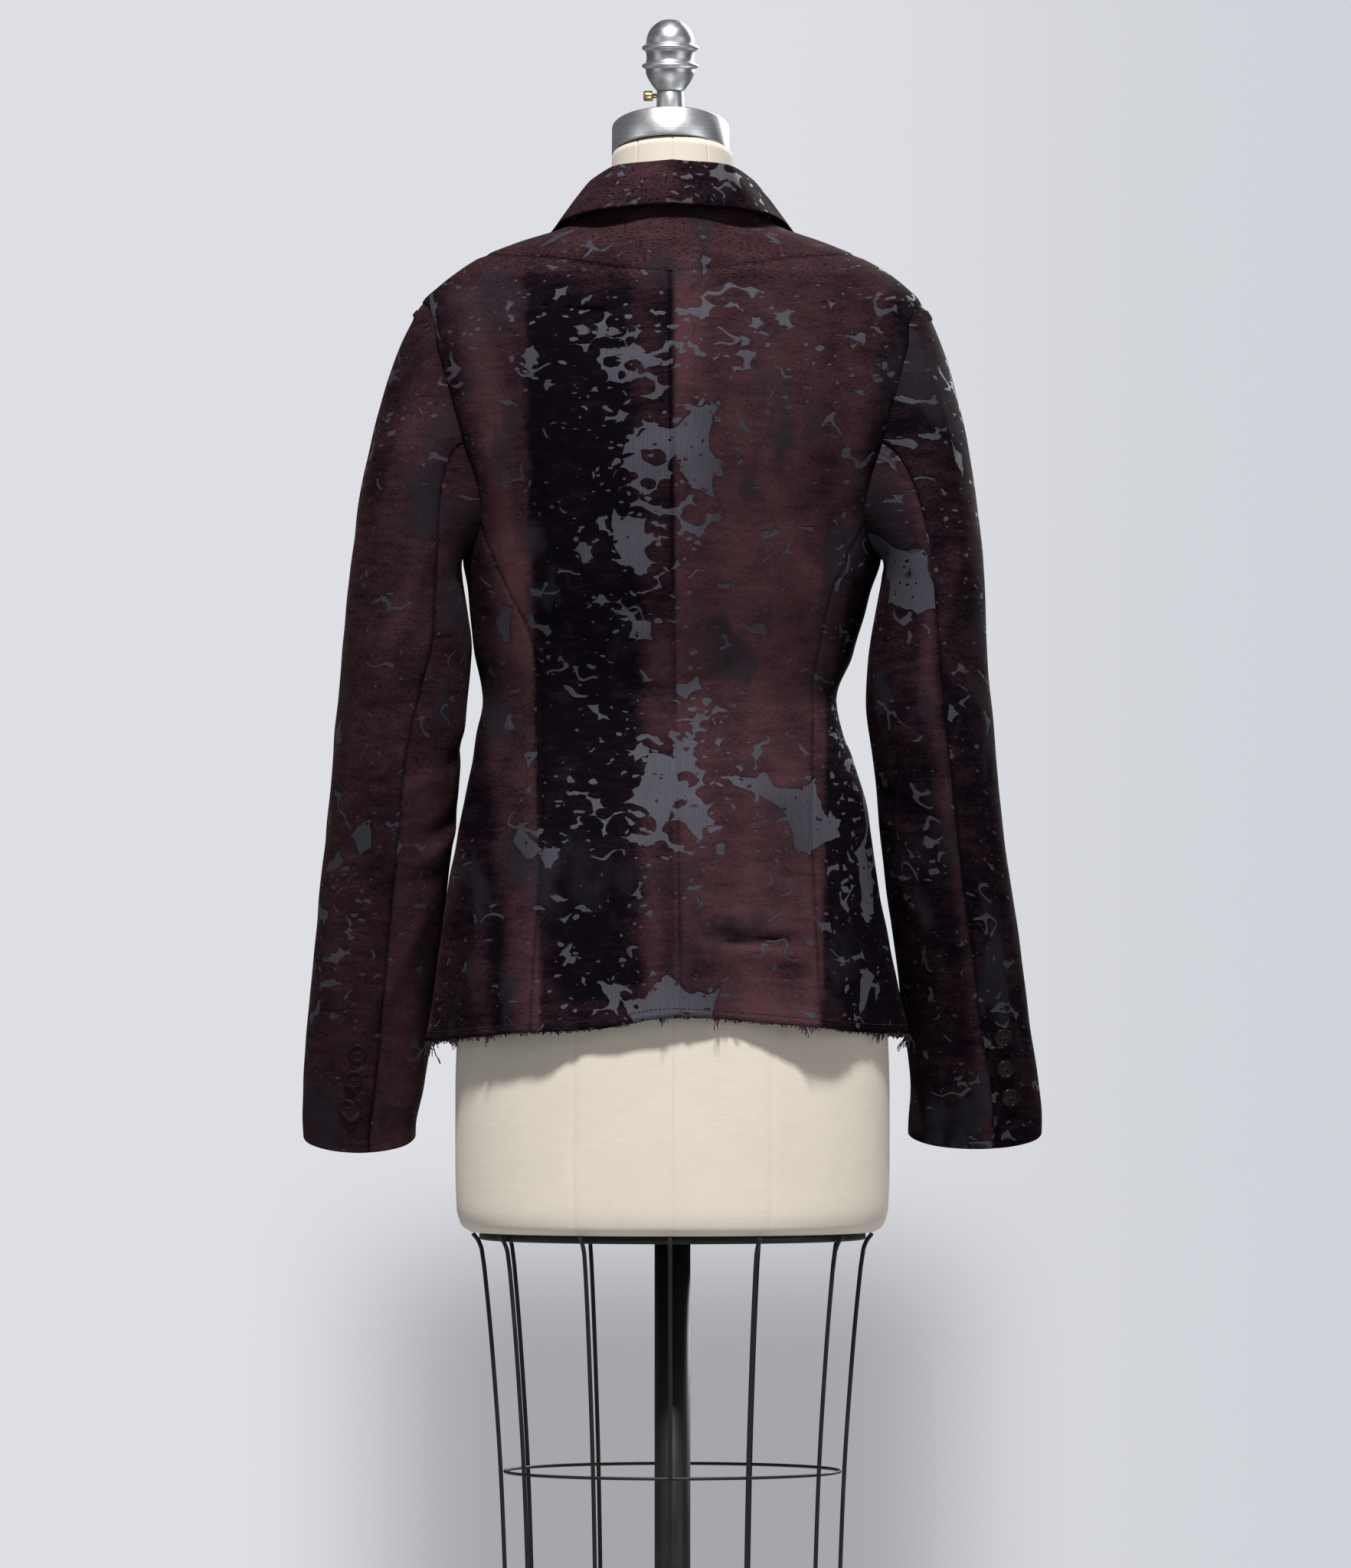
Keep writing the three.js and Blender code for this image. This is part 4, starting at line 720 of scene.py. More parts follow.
@dataclass
class PileMap:
    """Where the pile's nap is brushed light or dark, with painted highlight and painted shade, and where it is burnt
    out more.
    """

    # x from, x to, lean, z from, z to, softness at x from, at x to, in z, change: bands of nap with painted
    # highlight and painted shade on the back
    back_nap_and_light: Sequence[tuple[float, float, float, float, float, float, float, float, float]] = (
        (-118, -1, 0, 700, 1402, 8, 2.5, 24, 0.16), (-100, -40, 0, 1000, 1300, 26, 20, 60, 0.08),
        (-22, -6, -0.02, 1310, 1400, 6, 4, 20, 0.26), (-84, -60, 0.06, 760, 960, 12, 10, 40, 0.26),
        (-30, -12, 0, 760, 930, 8, 8, 30, 0.04), (-88, -44, -0.01, 874, 878, 12, 10, 3, -0.75),
        (-100, -30, 0, 884, 900, 20, 14, 8, 0.16), (-96, -36, 0, 856, 869, 16, 12, 6, 0.2),
        (-104, -74, 0, 842, 858, 12, 10, 9, -0.26), (-34, -10, 0, 790, 866, 10, 6, 16, -0.24),
        (6, 20, 0.05, 800, 960, 6, 6, 30, 0.2), (-70, -50, 0.1, 1060, 1200, 10, 12, 40, 0.16),
        (-1, 18, 0, 700, 1060, 2, 10, 60, -0.06), (-1, 22, 0, 1120, 1400, 3, 12, 30, -0.24),
        (17, 101, 0.02, 700, 1400, 11, 2.5, 40, -0.5), (100, 160, 0, 1290, 1402, 6, 20, 30, -0.14),
        (-14, -1, 0, 1290, 1402, 3, 2, 16, 0.16), (100, 130, 0.15, 1085, 1372, 3, 10, 34, 0.16),
        (108, 120, 0.15, 1085, 1372, 4, 6, 34, 0.3), (136, 220, 0.12, 1085, 1415, 9, 20, 40, -0.26),
        (101, 112, 0.02, 700, 1080, 2.5, 6, 40, 0.08), (130, 142, 0.16, 720, 1050, 5, 5, 40, 0.1),
        (112, 200, 0.1, 700, 1080, 6, 8, 60, -0.19), (117, 130, 0.1, 700, 1060, 6, 8, 60, -0.24),
        (146, 158, 0.05, 700, 1040, 6, 8, 60, -0.24), (-230, -115, -0.02, 700, 1062, 20, 2.5, 24, -0.52),
        (-230, -122, -0.16, 1060, 1408, 20, 9, 24, -0.38), (-160, -40, 0, 1345, 1402, 24, 24, 18, -0.12),
        (-170, 170, 0, 1398, 1500, 20, 20, 4, 0.19),
    )
    # x, z, half width, half height, change: spots of nap with painted highlight and painted shade on the front
    front_nap_and_light: Sequence[tuple[float, float, float, float, float]] = (
        (60, 1250, 40, 120, 0.4), (-70, 1180, 40, 160, 0.35), (30, 950, 50, 120, -0.25),
        (-40, 900, 50, 110, 0.25), (120, 1050, 30, 180, 0.2), (-120, 980, 30, 180, -0.2),
    )
    burns: Sequence[tuple[float, float, float, float, float]] = (
        (10, 1345, 90, 38, 0.42), (22, 1230, 40, 90, 0.52), (-75, 1180, 42, 110, -0.4), (5, 1000, 58, 54, 0.66),
        (-70, 900, 50, 80, -0.36), (75, 880, 30, 70, 0.1), (150, 920, 36, 150, -0.24),
        (120, 1180, 30, 120, -0.2), (-135, 950, 30, 140, 0.25), (0, 1420, 120, 24, -0.1),
        (-120, 1330, 40, 50, 0.1), (40, 830, 80, 24, 0.2),
    )

    def spots(self, rows: Sequence[tuple[float, float, float, float, float]], x: Array, z: Array) -> Array:
        """The sum of soft spots at places."""
        total = np.zeros(np.broadcast(x, z).shape)
        for at_x, at_z, wide, high, change in rows:
            total = total + change * np.exp(-(((x - at_x) / wide) ** 2) - ((z - at_z) / high) ** 2)
        return total

    def bands(self, x: Array, z: Array) -> Array:
        """The sum of the back's bands of nap, painted highlight and painted shade, at places."""
        total = np.zeros(np.broadcast(x, z).shape)
        for x0, x1, lean, z0, z1, soft0, soft1, soft_z, change in self.back_nap_and_light:
            shifted = x - lean * (z - z0)
            across = ease(x0 - soft0, x0 + soft0, shifted) * (1 - ease(x1 - soft1, x1 + soft1, shifted))
            along = ease(z0 - soft_z, z0 + soft_z, z) * (1 - ease(z1 - soft_z, z1 + soft_z, z))
            total = total + change * across * along
        return total

    def body(self, points: Array) -> tuple[Array, Array]:
        """Nap, with painted highlight and painted shade, and burn of places on the jacket's body.

        Args:
            points: places in millimetres.

        Returns:
            The nap with its painted highlight and shade, and the burn, each from 0 to 1.
        """
        x, y, z = points[..., 0], points[..., 1], points[..., 2]
        back = ease(-40, 20, y)
        # Bands and spots of painted highlight and painted shade, and a random change of nap
        nap_and_light = 0.42 + back * (0.08 + self.bands(x, z)) + (1 - back) * (0.08 + self.spots(self.front_nap_and_light, x, z))
        nap_and_light = nap_and_light + 0.07 * waves(x + y, z, 21, 90) + 0.05 * waves(x + y, z, 22, 30)
        burn = 0.42 + self.spots(self.burns, x * np.where(y > -20, 1, -1), z)
        return np.clip(nap_and_light, 0, 1), np.clip(burn, 0, 1)

    def sleeve(self, side: Side, turn: Array, level: Array) -> tuple[Array, Array]:
        """Nap, with painted highlight and painted shade, and burn of places on a sleeve."""
        # Bands of painted highlight and painted shade round the sleeve, and a random change of nap
        if side is Side.LEFT:
            nap_and_light = 0.4 + 0.36 * bell(turn, 48, 36) * ease(960, 1080, level)
            nap_and_light = nap_and_light + 0.34 * bell(turn, 128, 30) * (1 - ease(960, 1060, level))
            nap_and_light = nap_and_light + 0.28 * bell(turn, 52, 30) * (1 - ease(760, 930, level))
            nap_and_light = nap_and_light - 0.34 * bell(turn, 72, 13) * ease(900, 960, level) * (1 - ease(1060, 1130, level))
            nap_and_light = nap_and_light + 0.13 * bell(turn, 70, 36) * ease(1120, 1180, level) * (1 - ease(1260, 1330, level))
            nap_and_light = nap_and_light - 0.24 * bell(turn, 34, 22) * ease(1050, 1080, level) * (1 - ease(1110, 1140, level))
        else:
            nap_and_light = 0.1 + 0.12 * ease(900, 1150, level)
            nap_and_light = nap_and_light + 0.36 * np.exp(-(((turn - lerp(80, 93, ease(900, 1150, level))) / 9) ** 2))
        nap_and_light = nap_and_light + 0.25 * np.exp(-(((turn + 60) / 40) ** 2))
        nap_and_light = nap_and_light + 0.1 * waves(turn * 0.9, level, 31 + side.value, 80)
        burn = (0.27 if side is Side.LEFT else 0.37) + 0.16 * waves(turn * 0.9, level, 41 + side.value, 200, 4)
        return np.clip(nap_and_light, 0, 1), np.clip(burn, 0, 1)


# Finishes


class Nodes:
    """A short hand for building a material's node tree."""

    def __init__(self, name: str) -> None:
        """Starts an empty material with a shader and an output."""
        self.material = bpy.data.materials.new(name)
        self.material.use_nodes = True
        self.tree = self.material.node_tree
        self.tree.nodes.clear()
        self.shader = self.tree.nodes.new("ShaderNodeBsdfPrincipled")
        out = self.tree.nodes.new("ShaderNodeOutputMaterial")
        self.tree.links.new(self.shader.outputs[0], out.inputs[0])

    def new(self, kind: str, **settings: object) -> bpy.types.Node:
        """Adds a node and sets its plain properties."""
        node = self.tree.nodes.new("ShaderNode" + kind)
        for key, value in settings.items():
            setattr(node, key, value)
        return node

    def feed(self, socket: Socket, value: object) -> None:
        """Links or sets one input."""
        if isinstance(value, Socket):
            self.tree.links.new(value, socket)
        else:
            socket.default_value = value

    def math(self, how: str, *values: object, clamp: bool = False) -> Socket:
        """A Math node's result."""
        node = self.new("Math", operation=how, use_clamp=clamp)
        for socket, value in zip(node.inputs, values):
            self.feed(socket, value)
        return node.outputs[0]

    def ramp(self, value: object, low: float, high: float, to_low: float = 0, to_high: float = 1) -> Socket:
        """A clamped change of range."""
        node = self.new("MapRange")
        for key, item in zip((0, 1, 2, 3, 4), (value, low, high, to_low, to_high)):
            self.feed(node.inputs[key], item)
        return node.outputs[0]

    def mix(self, share: object, a: object, b: object) -> Socket:
        """A mix of two colours."""
        node = self.new("Mix", data_type="RGBA")
        self.feed(node.inputs[0], share)
        self.feed(node.inputs[6], a)
        self.feed(node.inputs[7], b)
        return node.outputs[2]

    def noise(self, where: object, scale: float, detail: float = 2, rough: float = 0.5, twist: float = 0) -> Socket:
        """A noise texture's value."""
        node = self.new("TexNoise")
        self.feed(node.inputs["Vector"], where)
        for key, value in (("Scale", scale), ("Detail", detail), ("Roughness", rough), ("Distortion", twist)):
            node.inputs[key].default_value = value
        return node.outputs[0]

    def cells(self, where: object, scale: float, kind: str = "F1", random: float = 1) -> Socket:
        """A cell texture's distance."""
        node = self.new("TexVoronoi", feature=kind)
        self.feed(node.inputs["Vector"], where)
        node.inputs["Scale"].default_value = scale
        node.inputs["Randomness"].default_value = random
        return node.outputs["Distance"]

    def mapped(self, where: object, scale: Row, place: Row = (0, 0, 0), turn: float = 0) -> Socket:
        """Coordinates scaled, moved and turned about Z."""
        node = self.new("Mapping")
        self.feed(node.inputs["Vector"], where)
        node.inputs["Scale"].default_value = scale
        node.inputs["Location"].default_value = place
        node.inputs["Rotation"].default_value = (0, 0, turn)
        return node.outputs[0]

    def bump(self, height: object, distance: float, strength: float = 1) -> Socket:
        """A bumped normal."""
        node = self.new("Bump")
        node.inputs["Strength"].default_value = strength
        node.inputs["Distance"].default_value = distance
        self.feed(node.inputs["Height"], height)
        return node.outputs[0]

    def set(self, **values: object) -> None:
        """Feeds the shader's inputs by name, with _ for spaces."""
        for key, value in values.items():
            self.feed(self.shader.inputs[key.replace("_", " ")], value)

    def object_place(self) -> Socket:
        """The piece's own object coordinates."""
        return self.new("TexCoord").outputs["Object"]


@dataclass(frozen=True)
class VelvetFinish:
    """Burnt-out velvet: dark brown pile, painted lighter or darker for its nap and for painted highlight and shade,
    over a grey ribbed ground.
    """

    # lit and dark: the pile's painted-highlight and painted-shade colours
    lit: tuple[float, float, float, float] = (0.053, 0.0235, 0.0275, 1)
    dark: tuple[float, float, float, float] = (0.0022, 0.0014, 0.0030, 1)
    ground: tuple[float, float, float, float] = (0.072, 0.069, 0.086, 1)
    ground_dark: tuple[float, float, float, float] = (0.022, 0.021, 0.028, 1)

    def build(self) -> Material:
        """Makes the material.

        Returns:
            The velvet.
        """
        n = Nodes("burnt_out_velvet")
        cloth = n.new("UVMap", uv_map="cloth").outputs[0]
        # nap_and_light: the pile's nap with painted highlight and painted shade
        nap_and_light = n.new("Attribute", attribute_name="nap_and_light").outputs["Fac"]
        burn = n.new("Attribute", attribute_name="burn").outputs["Fac"]

        # Burnt-out shapes: hollow-sided stars between rounds, small stars, strokes, flecks and round holes.
        wobble = n.new("TexNoise")
        n.feed(wobble.inputs["Vector"], cloth)
        wobble.inputs["Scale"].default_value = 60
        wobble.inputs["Detail"].default_value = 3
        bend = n.new("VectorMath", operation="MULTIPLY_ADD")
        n.feed(bend.inputs[0], wobble.outputs["Color"])
        bend.inputs[1].default_value = (0.012, 0.012, 0)
        n.feed(bend.inputs[2], cloth)
        twisted = bend.outputs[0]
        zone = n.noise(n.mapped(cloth, (1, 0.8, 1), (5.5, 1.4, 0)), 12, 2, 0.5)
        level = n.math("ADD", n.math("MULTIPLY_ADD", burn, 0.5, -0.36), n.math("MULTIPLY_ADD", zone, 1.0, -0.5))
        star = n.cells(n.mapped(twisted, (1, 0.84, 1), (3.1, 7.7, 0)), 26)
        large = n.math("ADD", star, n.math("ADD", level, -0.04))
        holes = n.ramp(n.cells(n.mapped(twisted, (1, 1.3, 1), (4.4, 3.9, 0)), 120), 0.17, 0.2)
        torn = n.math("MULTIPLY", n.ramp(large, 0.70, 0.712), holes)
        small = n.cells(n.mapped(twisted, (1, 1.3, 1), (11.3, 2.2, 0)), 66)
        small = n.math("ADD", small, n.math("MULTIPLY", level, 0.9))
        branches = n.ramp(small, 0.74, 0.76)
        wave = n.noise(n.mapped(cloth, (1, 1.2, 1), (2.2, 8.8, 0)), 30, 1, 0.5)
        near = n.noise(n.mapped(cloth, (1, 1, 1), (6.1, 0.4, 0)), 26, 2, 0.5)
        lines = n.ramp(n.math("ABSOLUTE", n.math("SUBTRACT", wave, 0.5)), 0.024, 0.014)
        strokes = n.math("MULTIPLY", lines, n.ramp(near, 0.6, 0.62))
        fleck = n.cells(n.mapped(twisted, (1, 1.8, 1), (0.4, 0.9, 0), 0.5), 105, "SMOOTH_F1")
        some = n.noise(n.mapped(cloth, (1, 1, 1), (9.1, 6.3, 0)), 30, 2, 0.5)
        size = n.math("ADD", n.math("MULTIPLY_ADD", some, 0.9, -0.432), n.math("MULTIPLY_ADD", burn, 0.22, -0.117))
        flecks = n.ramp(n.math("SUBTRACT", fleck, size), 0.115, 0.10)
        mask = n.math("MAXIMUM", n.math("MAXIMUM", torn, branches), n.math("MAXIMUM", strokes, flecks), clamp=True)
        faint = n.noise(n.mapped(cloth, (1, 0.6, 1), (1.7, 3.3, 0)), 17, 3, 0.55)
        ghost = n.math("MULTIPLY", n.ramp(faint, 0.54, 0.62), n.ramp(burn, 0.6, 0.3, 0, 0.75))

        # Pile: short cross streaks, crushed spots and a slow change of nap, with its painted highlight and painted
        # shade.
        streak = n.noise(n.mapped(cloth, (240, 1500, 1)), 1, 3, 0.6)
        broad = n.noise(n.mapped(cloth, (40, 170, 1), (2, 5, 0), 0.12), 1, 4, 0.65)
        crushed = n.noise(n.mapped(cloth, (1, 1, 1), (7, 7, 0)), 300, 2, 0.6)
        shade = n.math("ADD", nap_and_light, n.math("MULTIPLY_ADD", broad, 0.72, -0.36))
        shade = n.math("ADD", shade, n.math("MULTIPLY_ADD", streak, 0.5, -0.25))
        high = n.new("SeparateXYZ")
        n.feed(high.inputs[0], n.object_place())
        crush = n.ramp(high.outputs[2], 1.38, 1.41, 0.26, 0.7)
        marks = n.ramp(n.noise(n.mapped(cloth, (300, 760, 1), (3, 1, 0)), 1, 3, 0.65), 0.52, 0.64)
        cloud = n.noise(n.mapped(cloth, (1, 1.2, 1), (8, 2, 0)), 52, 3, 0.6)
        shade = n.math("ADD", shade, n.math("MULTIPLY_ADD", cloud, 0.5, -0.25))
        shade = n.math("SUBTRACT", shade, n.math("MULTIPLY", marks, crush))
        shade = n.math("ADD", shade, n.math("MULTIPLY", n.math("SUBTRACT", crushed, 0.5), 0.22), clamp=True)
        # Painted light: the pile goes from its painted-shade colour to its painted-highlight colour
        pile = n.mix(n.math("POWER", shade, 1.25), self.dark, self.lit)
        rib = n.new("TexWave", wave_type="BANDS", bands_direction="X")
        n.feed(rib.inputs["Vector"], cloth)
        rib.inputs["Scale"].default_value = 210
        rib.inputs["Distortion"].default_value = 1.2
        rib.inputs["Detail"].default_value = 1
        rib.inputs["Detail Scale"].default_value = 0.3
        ribs = rib.outputs["Fac"]
        uneven = n.noise(n.mapped(cloth, (700, 40, 1)), 1, 2, 0.6)
        tone = n.math("ADD", n.math("MULTIPLY", ribs, 0.5), n.math("MULTIPLY", uneven, 0.55), clamp=True)
        ground = n.mix(tone, self.ground_dark, self.ground)
        ground = n.mix(n.ramp(burn, 0.3, 0.6, 0.5, 1), self.dark, ground)
        pile = n.mix(ghost, pile, n.mix(0.45, self.dark, ground))
        rim = n.ramp(large, 0.64, 0.70, 0, 0.35)
        pile = n.mix(rim, pile, self.dark)
        n.set(Base_Color=n.mix(mask, pile, ground))
        n.set(Roughness=n.math("MULTIPLY_ADD", mask, -0.3, 0.86))
        n.set(Specular_IOR_Level=n.math("MULTIPLY_ADD", mask, 0.1, 0.02))
        n.set(Sheen_Weight=n.math("MULTIPLY_ADD", shade, 0.05, 0.004))
        n.shader.inputs["Sheen Roughness"].default_value = 0.35
        n.shader.inputs["Sheen Tint"].default_value = (0.75, 0.45, 0.45, 1)
        height = n.math("ADD", n.math("MULTIPLY", mask, -1.0), n.math("MULTIPLY", crushed, 0.28))
        height = n.math("ADD", height, n.math("MULTIPLY", n.math("MULTIPLY", ribs, mask), 0.16))
        height = n.math("ADD", height, n.math("MULTIPLY", streak, 0.18))
        n.set(Normal=n.bump(height, 0.0009, 0.75))
        return n.material


@dataclass(frozen=True)
class CanvasFinish:
    """Cream cotton canvas, stretched over the form."""

    light: tuple[float, float, float, float] = (0.60, 0.545, 0.463, 1)
    shade: tuple[float, float, float, float] = (0.54, 0.487, 0.407, 1)

    def build(self) -> Material:
        """Makes the material."""
        n = Nodes("cream_canvas")
        cloth = n.new("UVMap", uv_map="cloth").outputs[0]
        warp = n.new("TexWave", wave_type="BANDS", bands_direction="X")
        weft = n.new("TexWave", wave_type="BANDS", bands_direction="Y")
        for wave in (warp, weft):
            n.feed(wave.inputs["Vector"], cloth)
            wave.inputs["Scale"].default_value = 320
            wave.inputs["Distortion"].default_value = 1.5
            wave.inputs["Detail"].default_value = 1
        weave = n.math("MULTIPLY", warp.outputs["Fac"], weft.outputs["Fac"])
        slub = n.noise(n.mapped(cloth, (40, 420, 1)), 1, 3, 0.6)
        cloud = n.noise(cloth, 14, 3, 0.6)
        tone = n.math("ADD", n.math("MULTIPLY", slub, 0.5), n.math("MULTIPLY", cloud, 0.5), clamp=True)
        n.set(Base_Color=n.mix(n.ramp(tone, 0.3, 0.7), self.shade, self.light))
        n.set(Roughness=0.9)
        n.shader.inputs["Specular IOR Level"].default_value = 0.25
        n.shader.inputs["Sheen Weight"].default_value = 0.08
        height = n.math("ADD", n.math("MULTIPLY", weave, 0.5), n.math("MULTIPLY", slub, 0.5))
        n.set(Normal=n.bump(height, 0.00025, 0.5))
        return n.material


class Metal(Enum):
    """Named bare metals: colour, roughness, streak direction."""

    BRUSHED = ("brushed_aluminium", (0.78, 0.79, 0.805, 1), 0.36, (3, 3, 900))
    CAST = ("cast_aluminium", (0.6, 0.61, 0.625, 1), 0.38, (120, 120, 120))
    BRASS = ("aged_brass", (0.42, 0.31, 0.15, 1), 0.34, (200, 200, 200))


@dataclass(frozen=True)
class MetalFinish:
    """Bare metal with its grain."""

    metal: Metal

    def build(self) -> Material:
        """Makes the material."""
        name, colour, rough, grain = self.metal.value
        n = Nodes(name)
        place = n.object_place()
        streaks = n.noise(n.mapped(place, grain), 1, 3, 0.65)
        spots = n.noise(place, 60, 3, 0.6)
        darker = tuple(c * 0.72 for c in colour[:3]) + (1,)
        n.set(Base_Color=n.mix(n.ramp(streaks, 0.3, 0.7), darker, colour))
        n.set(Roughness=n.math("MULTIPLY_ADD", spots, 0.22, rough - 0.08))
        n.shader.inputs["Metallic"].default_value = 1.0
        n.set(Normal=n.bump(n.math("ADD", streaks, n.math("MULTIPLY", spots, 0.6)), 0.0002, 0.45))
        return n.material


@dataclass(frozen=True)
class PaintFinish:
    """Satin black paint on steel."""

    colour: tuple[float, float, float, float] = (0.006, 0.006, 0.0075, 1)

    def build(self) -> Material:
        """Makes the material."""
        n = Nodes("satin_black_paint")
        place = n.object_place()
        peel = n.noise(place, 420, 2, 0.5)
        wear = n.noise(place, 22, 4, 0.6)
        n.set(Base_Color=n.mix(n.ramp(wear, 0.55, 0.8, 0, 0.5), self.colour, (0.016, 0.016, 0.018, 1)))
        n.set(Roughness=n.math("MULTIPLY_ADD", wear, 0.2, 0.36))
        n.shader.inputs["Specular IOR Level"].default_value = 0.3
        n.set(Normal=n.bump(peel, 0.0001, 0.3))
        return n.material


@dataclass(frozen=True)
class ButtonFinish:
    """Dark polished button, faintly marbled."""

    name: str = "dark_button"
    glint: float = 0.5
    colour: tuple[float, float, float, float] = (0.009, 0.0045, 0.005, 1)
    vein: tuple[float, float, float, float] = (0.022, 0.010, 0.010, 1)
    rough: float = 0.22

    def build(self) -> Material:
        """Makes the material."""
        n = Nodes(self.name)
        place = n.object_place()
        marble = n.noise(place, 160, 3, 0.6, 1.5)
        n.set(Base_Color=n.mix(n.ramp(marble, 0.4, 0.75), self.colour, self.vein))
        n.set(Roughness=n.math("MULTIPLY_ADD", marble, 0.12, self.rough - 0.04))
        n.shader.inputs["Specular IOR Level"].default_value = self.glint
        n.set(Normal=n.bump(marble, 0.00008, 0.4))
        return n.material


@dataclass(frozen=True)
class ThreadFinish:
    """Matt sewing or frayed thread."""

    name: str = "dark_thread"
    colour: tuple[float, float, float, float] = (0.011, 0.006, 0.009, 1)
    pale: tuple[float, float, float, float] = (0.032, 0.017, 0.02, 1)

    def build(self) -> Material:
        """Makes the material."""
        n = Nodes(self.name)
        place = n.object_place()
        ply = n.noise(place, 260, 2, 0.6)
        n.set(Base_Color=n.mix(n.ramp(ply, 0.35, 0.7), self.colour, self.pale))
        n.set(Roughness=0.8)
        n.shader.inputs["Specular IOR Level"].default_value = 0.2
        n.set(Normal=n.bump(ply, 0.0001, 0.5))
        return n.material


# Shared making


def finish(item: Item, slot: str, *nodes: str) -> Item:
    """Ties a piece to the frame.

    Args:
        item: the finished piece.
        slot: not used.
        nodes: the solids that it stands for.

    Returns:
        The same piece.
    """
    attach(item, BODY)
    if nodes:
        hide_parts(*nodes)
    LOG.info("%s: %d faces", item.name, len(item.data.polygons))
    return item


def lofted(
    name: str,
    rings: Array,
    material: Material,
    places: Array | None = None,
) -> Item:
    """A smooth closed solid through rings of equal length.

    Args:
        name: the piece's name.
        rings: rings by corners by 3, in millimetres, from bottom to top.
        material: the finish.
        places: optional flat places, in metres, of the same rings.

    Returns:
        The new object.
    """
    count, sides = rings.shape[:2]
    points = rings.reshape(-1, 3)
    ends = np.stack([rings[0].mean(axis=0), rings[-1].mean(axis=0)])
    points = np.concatenate([points, ends])
    i = np.arange(sides)
    k = (i + 1) % sides
    faces: list[list[int]] = []
    for j in range(count - 1):
        a = j * sides
        faces += np.stack([a + i, a + k, a + sides + k, a + sides + i], axis=1).tolist()
    top = (count - 1) * sides
    low, high = count * sides, count * sides + 1
    caps = [[int(q), int(p), low] for p, q in zip(i, k)]
    caps += [[top + int(p), top + int(q), high] for p, q in zip(i, k)]
    mesh = bpy.data.meshes.new(name)
    mesh.from_pydata((points * MM).tolist(), [], faces + caps)
    shaded = np.ones(len(faces) + len(caps), bool)
    shaded[len(faces) :] = False
    mesh.polygons.foreach_set("use_smooth", shaded)
    if places is not None:
        flat = np.concatenate([places.reshape(-1, 2), places[0].mean(axis=0)[None], places[-1].mean(axis=0)[None]])
        layer = mesh.uv_layers.new(name="cloth")
        loops = np.empty(len(mesh.loops), int)
        mesh.loops.foreach_get("vertex_index", loops)
        layer.data.foreach_set("uv", flat[loops].ravel())
    mesh.materials.append(material)
    mesh.update()
    return new_item(name, mesh)


def turned(
    name: str, profile: Sequence[tuple[float, float]], material: Material, sides: int = 64
) -> Item:
    """A solid of revolution about Z.

    Args:
        name: the piece's name.
        profile: radius and height pairs, in millimetres, from bottom to top.
        material: the finish.
        sides: corners round it.

    Returns:
        The new object.
    """
    rows = np.array(profile, float)
    a = np.linspace(0, 2 * math.pi, sides, endpoint=False)
    rings = np.stack(
        [np.outer(rows[:, 0], np.cos(a)), np.outer(rows[:, 0], np.sin(a)), np.repeat(rows[:, 1:], sides, axis=1)],
        axis=-1,
    )
    return lofted(name, rings, material)


def bake(item: Item) -> Item:
    """Turns an object with modifiers into a plain mesh, and drops the modifiers."""
    graph = bpy.context.evaluated_depsgraph_get()
    mesh = bpy.data.meshes.new_from_object(item.evaluated_get(graph), depsgraph=graph)
    materials = [m for m in item.data.materials if m]
    item.modifiers.clear()
    if item.type == "MESH":
        old = item.data
        item.data = mesh
        bpy.data.meshes.remove(old)
        plain = item
    else:
        name = item.name
        bpy.data.objects.remove(item)
        plain = new_item(name, mesh)
    if not mesh.materials and materials:
        mesh.materials.append(materials[0])
    return plain


def place_piece(item: Item, matrix: Matrix) -> None:
    """Moves a mesh's points, so that its object stays at the origin."""
    item.data.transform(matrix)
    item.data.update()


# The jacket


